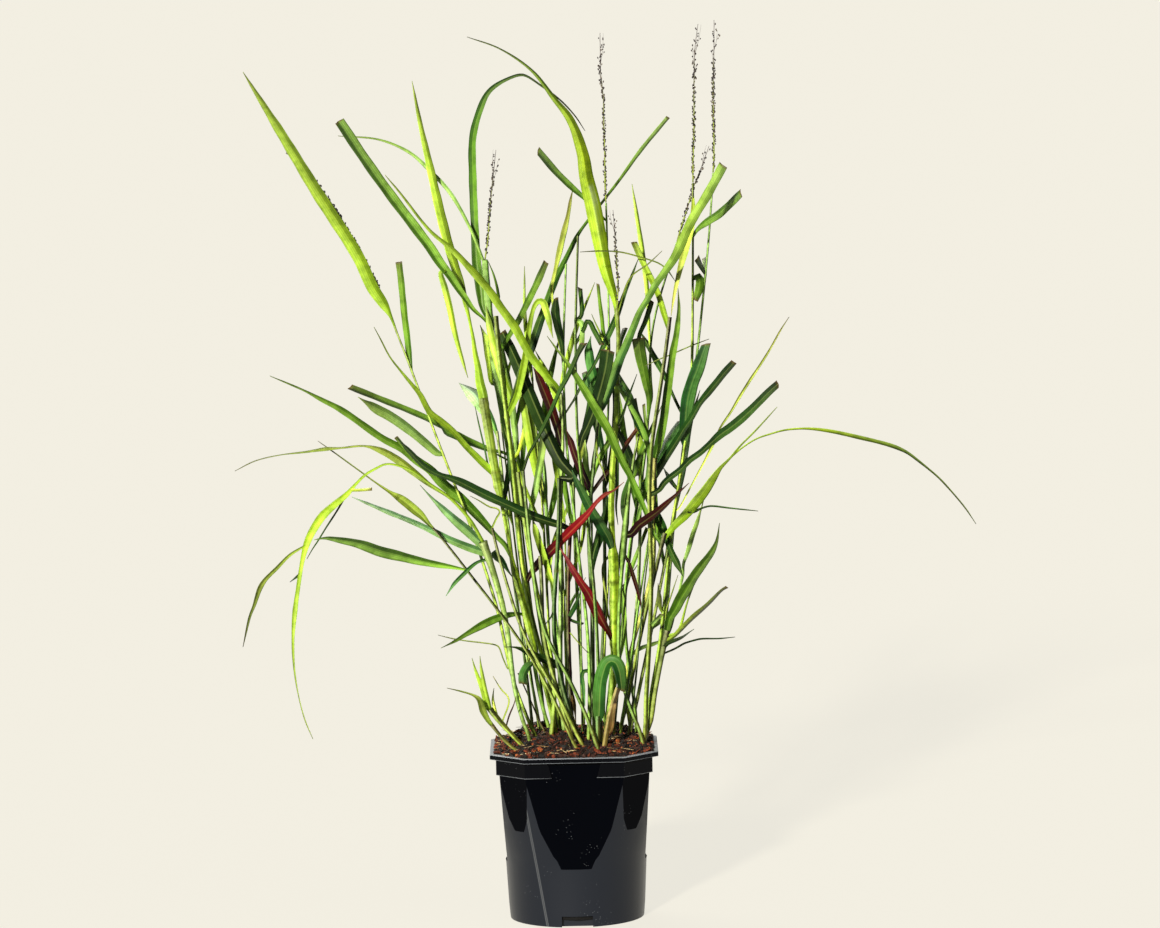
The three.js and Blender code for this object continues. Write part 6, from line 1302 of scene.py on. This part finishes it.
huskTones = [['1c0c12', '120a0e', '2a161c', '3a2a1c', '6a5a44'], ['2a1c22', '1c1418', '3c3032', '5a5048', '7a7064']]
look = headLook
for plant in heads:
    skin = newSkin()
    rng = ownDraws(plant['name'], 5)
    own = [s for s in strands if s['node'] == plant['name']]
    low = min(s['point'][:, 2].min() for s in own)
    top = max(s['point'][:, 2].max() for s in own) - 2
    for s in own:
        points = refined(s['point'], 2)
        heights = (points[:, 2] - low) / (top - low)
        isAxis = strands[s['parent']]['kind'] != 'head'
        if isAxis:
            axis = points
        else:
            beside = np.stack([np.interp(points[:, 2], axis[:, 2], axis[:, k]) for k in range(3)], -1)
            loose = smoothstep(heights, *look['looseFrom'])[:, None]
            points = points + (beside - points) * look['drawnIn'] * (1 - 0.7 * loose)
        taper = np.linspace(1, look['slimTo'], len(points)) * (1 if isAxis else look['slimTo'])
        share = smoothstep((points[:, 2] - low) / (top - low), 0.2, 0.9)[:, None]
        tone = linear(look['axisTones'][0]) * (1 - share) + linear(look['axisTones'][1]) * share
        sweepStalk(skin, points, look['stalk'] * taper, tone)
        far = lengthAlong(points)
        place = 3.0
        while place < far[-1]:
            root, ahead = pointAt(place, far, points), pointAt(place + 2, far, points)
            upward = unit(ahead - root + np.array([0, 0, 0.01]))
            height = (root[2] - low) / (top - low)
            beyond = max(0, height - look['bareFrom'])
            turn = rng.random() * 2 * math.pi
            side = np.array([math.cos(turn), math.sin(turn), 0])
            lean = unit(upward * 1.6 + side * (0.2 + 0.6 * rng.random()))
            reach = partWay(look['reach'], rng.random() ** 1.8) * (1 + look['spread'] * beyond)
            share = np.linspace(0, 1, 4)[:, None]
            hair = root + lean * reach * share + side * share ** 2 * 0.8
            tone = rng.choice(huskTones[int(rng.random() < height * 0.9)], p=look['tonePick'])
            if hair[-1, 2] + look['topRoom'] < top:
                sweepStalk(skin, hair, look['hair'], look['hairTone'], look['hairSides'])
                tipward = unit(lean + np.array([0, 0, 0.6]))
                sweepHusk(skin, hair[-1], tipward, look['husk'][1] * (0.7 + 0.5 * rng.random()), tone)
                if rng.random() < 0.6 - 0.4 * height:
                    outward = unit(lean * 0.6 + side * 0.4 + np.array([0, 0, 0.8]))
                    sweepHusk(skin, hair[1] + side * 0.3, outward, look['husk'][1] * 0.8, tone)
            sparse = 1 + 1.6 * beyond / (1 - look['bareFrom'])
            place += look['spacing'] * (0.5 + rng.random()) * sparse * (1 if isAxis else 1.7)
    built[plant['name']] = skinPiece(skin, plant['name'] + '_panicle', [husk])
print('seed heads built')

for name, piece in built.items():
    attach(piece, 'root')
    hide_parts(name)

# ---- potting mix ----
soilLook = {
    'cells': 92, 'halfBore': 80.6, 'corner': 129, 'brim': 172.8, 'crown': 11.6, 'clods': 0.8, 'strawLift': 1.4,
    'emptyFrom': 0.99,
    # middle, height and half sizes of each heap
    'heaps': [(-40, 50, 8.5, 17, 14), (38, 52, 8.5, 20, 13), (-4, 50, 5, 16, 13), (-62, 4, 3, 8, 20),
              (60, 0, 3, 8, 22)],
}
# number, length, sides and tumbling of each kind of lump, then its colours and how often each comes
lumps = {
    'chip': (1500, (4, 17), 5, 1.5, ['1c0f0a', '38190e', '5e2814', '84381a', 'a8501f', '0a0504'],
             [0.22, 0.18, 0.18, 0.14, 0.1, 0.18]),
    'crumb': (2300, (1.4, 5.4), 6, 3, ['0a0503', '1c0d07', '3a1a0d', '74321a', 'a85a2a'],
              [0.4, 0.28, 0.18, 0.1, 0.04]),
    'straw': (120, (10, 30), 5, 0.5, ['c8b080', 'a07c4a', 'e2d2a4'], [0.4, 0.4, 0.2]),
}
soilFinish = {'clod': 3.2, 'fibre': 1.8, 'unlitBelow': 0.02, 'litFrom': 0.15}
# peat and composted bark, damp: dark and matt, with warm brown bark
mix, tree, shader = newMaterial('dampPeat', {'Roughness': 0.85, 'IOR': 1.35})
clod = noise(tree, soilFinish['clod'], 8, 0.7)
earth = ramp(tree, clod, (0.36, '080403'), (0.56, '24100a'), (0.74, '5a2a16'))
coords = addNode(tree, 'ShaderNodeTexCoord').outputs['Object']
# painted shade: the mix fades to near black towards the bottom of the pot, where it lies in shade
up = addNode(tree, 'ShaderNodeSeparateXYZ', links={0: coords}).outputs[2]
outOfPaintedShade = ranged(tree, up, low=soilFinish['unlitBelow'], high=soilFinish['litFrom'])
finish(tree, shader, blended(tree, 'MIX', outOfPaintedShade, '010101', earth), 0.9, 0.0015, clod)
soil = frame['nodes']['soil']
soil.data.materials.clear()
soil.data.materials.append(mix)

# shredded conifer bark: fibrous and rust brown where it is broken
bark, tree, shader = newMaterial('barkChip', {'Roughness': 0.7, 'IOR': 1.4})
fibre = noise(tree, soilFinish['fibre'], 5, 0.65)
shade = ramp(tree, fibre, (0.38, '4a4a4a'), (0.6, 'ffffff'))
finish(tree, shader, blended(tree, 'MULTIPLY', 0.85, ownTint(tree), shade), 0.7, 0.0006, fibre)


def lumpOf(rows, sides):
    # unit lump: rings from foot to top
    lat = np.linspace(-1, 1, rows) * math.pi / 2 * 0.92
    lon = np.arange(sides) / sides * 2 * math.pi
    return np.stack([np.cos(lat)[:, None] * np.cos(lon), np.cos(lat)[:, None] * np.sin(lon),
                     np.broadcast_to(np.sin(lat)[:, None], (rows, sides))], -1)


def tumbled(rng, lay):
    turn = Matrix.Rotation(rng.random() * 2 * math.pi, 3, 'Z')
    tip = Matrix.Rotation((rng.random() - 0.5) * lay, 3, 'Y')
    roll = Matrix.Rotation((rng.random() - 0.5) * lay, 3, 'X')
    return np.array(turn @ tip @ roll)


def toBrim(x, y):
    # 0 in the middle of the pot and 1 where the mix meets the lip
    flat = np.maximum(np.abs(x), np.abs(y)) / soilLook['halfBore']
    return np.maximum(flat, (np.abs(x) + np.abs(y)) / soilLook['corner'])


def mixHeight(x, y):
    height = soilLook['brim'] + soilLook['crown'] * (1 - toBrim(x, y) ** 2)
    for x0, y0, rise, wide, deep in soilLook['heaps']:
        height = height + rise * np.exp(-((x - x0) / wide) ** 2 - ((y - y0) / deep) ** 2)
    return height


rng = np.random.default_rng(60)
line = np.linspace(-1, 1, soilLook['cells']) * soilLook['halfBore']
gridX, gridY = np.meshgrid(line, line)
gridZ = mixHeight(gridX, gridY) + soilLook['clods'] * (rng.random(gridX.shape) - 0.5)
number = np.arange(gridX.size).reshape(gridX.shape)
corners = np.stack([number[:-1, :-1], number[:-1, 1:], number[1:, 1:], number[1:, :-1]], -1).reshape(-1, 4)
inPot = (toBrim(gridX, gridY).ravel()[corners] < 1).all(1)
data = bpy.data.meshes.new('soil_heaped')
data.from_pydata(np.stack([gridX, gridY, gridZ], -1).reshape(-1, 3) * mm, [], corners[inPot])
data.materials.append(mix)
data.polygons.foreach_set('use_smooth', [True] * len(data.polygons))
heaped = newObject('soil_heaped', data)
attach(heaped, 'root')

skin = newSkin()
rng = np.random.default_rng(61)
for kind, (count, lengths, sides, lay, codes, shares) in lumps.items():
    lump = lumpOf(4, sides)
    for _ in range(count):
        x, y = (rng.random(2) * 2 - 1) * soilLook['halfBore']
        if toBrim(x, y) > soilLook['emptyFrom']:
            continue
        long = partWay(lengths, rng.random() ** 2.2)
        if kind == 'chip':
            size = np.array([long / 2, long / 2 * (0.12 + 0.24 * rng.random()), 0.5 + 1.1 * rng.random()])
        elif kind == 'crumb':
            size = long / 2 * (0.7 + 0.6 * rng.random(3))
        else:
            size = np.array([long / 2, 0.4, 0.35])
        tone = linear(rng.choice(codes, p=shares))
        rough = 1 + 0.3 * (rng.random(lump.shape[:2])[..., None] - 0.5)
        rings = (lump * rough * size) @ tumbled(rng, lay).T
        reach = np.abs(rings.reshape(-1, 3)).max(0)
        x, y = (float(np.clip(v, r - soilLook['halfBore'], soilLook['halfBore'] - r)) for v, r in zip((x, y), reach))
        lift = soilLook['strawLift'] if kind == 'straw' else 0
        rings = rings + np.array([x, y, mixHeight(x, y) + 0.4 * size[2] + lift])
        tints = np.broadcast_to(tone * (0.7 + 0.6 * rng.random()), rings.shape)
        sweepSkin(skin, rings, tints, np.linspace(0, 1, rings.shape[1]), np.arange(len(rings)) / 3, 0)
crumbs = skinPiece(skin, 'soil_bark_and_crumbs', [bark], smooth=False)
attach(crumbs, 'root')
print('potting mix dressed')

# ---- pot ----
potLook = {
    'merge': 0.0001, 'flatWithin': 0.5, 'smoothWithin': 24,
    'collarFrom': 0.1515, 'rimFrom': 0.1495, 'lipTop': 0.1725, 'facetFrom': 0.056, 'facetArea': 2e-6,
    'levelFrom': 0.9, 'ledgeFrom': 0.3, 'steepWithin': 0.5, 'facetWithin': 0.6,
    'edge': 0.0006, 'edgeSteps': 2, 'sharpFrom': 0.42, 'ridgeFrom': 0.6, 'outFrom': 0.077, 'uprightFrom': 0.95,
}
potFinish = {
    'grain': 0.9, 'dust': 2.6, 'dusty': 24, 'dustSize': 0.11, 'dustFrom': (0.56, 0.62), 'dustShare': 0.5,
    # the streak entries after the dust tone paint a reflection: a pale streak slanting down the front of the body
    'dustTone': '9aa0a6', 'paintedStreakTop': (-50.5, 129), 'paintedStreakFoot': (-31, 8), 'paintedStreakWide': 3, 'paintedStreakCore': 0.4,
    'paintedStreakShare': 0.2, 'paintedStreakTone': 'a4a9ae',
}
shell = newObject('pot_shell', frame['nodes']['pot'].data.copy())
shell.data.materials.clear()
bpy.context.view_layer.objects.active = shell
shell.select_set(True)
bpy.ops.object.mode_set(mode='EDIT')
bpy.ops.mesh.select_all(action='SELECT')
bpy.ops.mesh.remove_doubles(threshold=potLook['merge'])
bpy.ops.mesh.dissolve_limited(angle_limit=math.radians(potLook['flatWithin']))
bpy.ops.object.mode_set(mode='OBJECT')


def paintedReflectionStreak(tree):
    # painted reflection: a pale streak of reflected light is painted slanting down the front of the body
    (topX, topZ), (footX, footZ) = potFinish['paintedStreakTop'], potFinish['paintedStreakFoot']
    wide, slope = potFinish['paintedStreakWide'] * mm, (footX - topX) / (topZ - footZ)
    coords = addNode(tree, 'ShaderNodeTexCoord').outputs['Object']
    place = addNode(tree, 'ShaderNodeSeparateXYZ', links={0: coords}).outputs
    shift = maths(tree, 'MULTIPLY_ADD', place[2], slope, -(topX + slope * topZ) * mm)
    apart = maths(tree, 'ABSOLUTE', maths(tree, 'ADD', place[0], shift))
    crest = maths(tree, 'SINE', maths(tree, 'MULTIPLY', apart, 2 * math.pi / wide))
    reach = ranged(tree, apart, low=wide, high=potFinish['paintedStreakCore'] * mm, to=potFinish['paintedStreakShare'])
    line = addNode(tree, 'ShaderNodeMath', {'operation': 'MULTIPLY', 'use_clamp': True}, {0: crest, 1: reach})
    return maths(tree, 'MULTIPLY', line.outputs[0], maths(tree, 'LESS_THAN', place[1], 0))


def potPlastic(name, roughness, base, level, withPaintedStreak=False):
    # injection-moulded black polypropylene, with a little dust on it
    material, tree, shader = newMaterial(name, {'Roughness': roughness, 'IOR': 1.49, 'Specular IOR Level': level})
    coords = addNode(tree, 'ShaderNodeTexCoord').outputs['Object']
    dust = addNode(tree, 'ShaderNodeTexVoronoi', {'Scale': 1000 / potFinish['dust'], 'Randomness': 1},
                   {'Vector': coords})
    close = maths(tree, 'LESS_THAN', dust.outputs['Distance'], potFinish['dustSize'])
    low, high = potFinish['dustFrom']
    there = ranged(tree, noise(tree, potFinish['dusty'], 3), low=low, high=high, to=potFinish['dustShare'])
    colour = blended(tree, 'MIX', maths(tree, 'MULTIPLY', close, there), base, potFinish['dustTone'])
    # painted reflection streak on the body
    if withPaintedStreak:
        colour = blended(tree, 'MIX', paintedReflectionStreak(tree), colour, potFinish['paintedStreakTone'])
    finish(tree, shader, colour, 0.05, 0.0002, noise(tree, potFinish['grain'], 2))
    return material


plastics = {
    # the satin body carries the painted reflection streak
    'satin': potPlastic('blackPolypropyleneSatin', 0.34, '10151f', 0.3, withPaintedStreak=True),
    'polished': potPlastic('blackPolypropylenePolished', 0.12, '010206', 0.03),
    'rimmed': potPlastic('blackPolypropyleneRim', 0.2, '020307', 0.07),
    # painted highlight: the rounded edges of lip and collar are pale grey
    'paintedEdgeHighlight': potPlastic('paintedHighlightPolypropyleneEdge', 0.4, '7c838c', 0.5),
    # painted reflection: the flat top of the lip is pale grey
    'paintedLipReflection': potPlastic('paintedReflectionPolypropyleneLip', 0.3, 'aab0ba', 0.5),
    'dull': potPlastic('dullPolypropyleneLedge', 0.9, '0a0c10', 0),
}
numberOf = {name: k for k, name in enumerate(plastics)}
for material in plastics.values():
    shell.data.materials.append(material)


def finishOf(face, outer):
    n, c = face.normal, face.center
    # the lip's flat top gets the painted reflection finish
    if n.z > potLook['levelFrom'] and c.z > potLook['lipTop']:
        return 'paintedLipReflection'
    if n.z > potLook['ledgeFrom'] and outer and c.z < potLook['rimFrom']:
        return 'dull'
    if c.z > potLook['rimFrom'] or not n.x * c.x + n.y * c.y > 0:
        return 'rimmed'
    # the eight upright facets face every 45 degrees
    azimuth = math.degrees(math.atan2(n.y, n.x)) % 45
    isFacet = min(azimuth, 45 - azimuth) < potLook['facetWithin'] and abs(n.z) < potLook['steepWithin']
    isLarge = face.area > potLook['facetArea'] and c.z > potLook['facetFrom']
    return 'polished' if isFacet and isLarge else 'satin'


zone = np.zeros(len(shell.data.polygons), dtype=int)
isOuter = np.zeros(len(shell.data.polygons), dtype=bool)
for face in shell.data.polygons:
    n, c = face.normal, face.center
    isOuter[face.index] = n.x * c.x + n.y * c.y > 0 or n.z > potLook['levelFrom']
    zone[face.index] = numberOf[finishOf(face, isOuter[face.index])]
shell.data.polygons.foreach_set('material_index', zone)
bpy.ops.object.shade_smooth_by_angle(angle=math.radians(potLook['smoothWithin']))
bevelled = shell.data.attributes.new('bevel_weight_edge', 'FLOAT', 'EDGE')
sharp = shell.data.attributes.get('sharp_edge') or shell.data.attributes.new('sharp_edge', 'BOOLEAN', 'EDGE')
facesOf = {}
for face in shell.data.polygons:
    for key in face.edge_keys:
        facesOf.setdefault(key, []).append(face.index)
for edge in shell.data.edges:
    around = facesOf.get(tuple(sorted(edge.vertices)), [])
    if len(around) != 2:
        continue
    one, two = (shell.data.polygons[k] for k in around)
    ends = [shell.data.vertices[k].co for k in edge.vertices]
    middle, run = (ends[0] + ends[1]) / 2, (ends[1] - ends[0]).normalized()
    angle = one.normal.angle(two.normal)
    sharp.data[edge.index].value = bool(zone[around[0]] != zone[around[1]] or angle > potLook['sharpFrom'])
    isRidge = (two.center - one.center).dot(one.normal) < -1e-6 and angle > potLook['ridgeFrom']
    isOutward = bool(isOuter[list(around)].any()) and math.hypot(middle.x, middle.y) > potLook['outFrom']
    isUpright = abs(run.z) > potLook['uprightFrom']
    if middle.z > potLook['collarFrom'] and isRidge and isOutward and not isUpright:
        bevelled.data[edge.index].value = 1
rounding = shell.modifiers.new('edges', 'BEVEL')
rounding.limit_method = 'WEIGHT'
rounding.width = potLook['edge']
rounding.segments = potLook['edgeSteps']
# the rounded edges get the pale painted highlight finish
rounding.material = numberOf['paintedEdgeHighlight']
bpy.ops.object.modifier_apply(modifier='edges')
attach(shell, 'root')
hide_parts('pot')
print('pot finished')

# ---- setting ----
settingLook = {
    'floor': 240, 'paper': '5e5c56', 'cream': 'f1eee3', 'glow': 0.868, 'skyTone': 'f4f2ea', 'sky': 0.14,
    # strength, azimuth, elevation, spread and colour of each sun
    'key': (5.9, -108, 20, 4, 'fff8ea'), 'fill': (0.3, -40, 30, 50, 'fff8ea'), 'rear': (1.8, 118, 38, 40, 'fffaf0'),
    'sensor': 36, 'focalPixels': 5300, 'picturePixels': 1160, 'clip': (0.1, 400),
}
bpy.ops.object.select_all(action='DESELECT')
bpy.ops.mesh.primitive_plane_add(size=settingLook['floor'], location=(0, 0, 0))
floor = bpy.context.object
floor.name = 'studio_floor'
floor.visible_diffuse = False
# seamless paper sweep, matt and evenly lit
paper, _, _ = newMaterial('creamPaper', {
    'Roughness': 0.95, 'Specular IOR Level': 0, 'Base Color': colour4(settingLook['paper']),
    'Emission Color': colour4(settingLook['cream']), 'Emission Strength': settingLook['glow']})
floor.data.materials.append(paper)

world = bpy.data.worlds.new('softRoom')
bpy.context.scene.world = world
world.use_nodes = True
backdrop = world.node_tree.nodes['Background']
backdrop.inputs['Color'].default_value = colour4(settingLook['skyTone'])
backdrop.inputs['Strength'].default_value = settingLook['sky']


def addSun(name, strength, azimuth, elevation, spread, code):
    lamp = bpy.data.lights.new(name, 'SUN')
    lamp.energy = strength
    lamp.angle = math.radians(spread)
    lamp.color = linear(code)
    a, e = math.radians(azimuth), math.radians(elevation)
    towards = Vector((math.cos(e) * math.cos(a), math.cos(e) * math.sin(a), math.sin(e)))
    newObject(name, lamp).rotation_euler = towards.to_track_quat('Z', 'Y').to_euler()


for name in ('key', 'fill', 'rear'):
    addSun(name + 'Sun', *settingLook[name])

camera = bpy.data.cameras.new('viewer')
camera.sensor_fit = 'HORIZONTAL'
camera.sensor_width = settingLook['sensor']
camera.lens = settingLook['focalPixels'] / settingLook['picturePixels'] * settingLook['sensor']
camera.clip_start, camera.clip_end = settingLook['clip']
viewer = newObject('viewer', camera)
turn = Matrix([sheetRight, sheetUp, -forward]).transposed().to_4x4()
viewer.matrix_world = Matrix.Translation(Vector(eyePoint * mm)) @ turn
bpy.context.scene.camera = viewer
bpy.context.scene.view_settings.view_transform = 'Standard'
bpy.context.scene.view_settings.look = 'None'

bpy.context.view_layer.update()
print('scene ready')
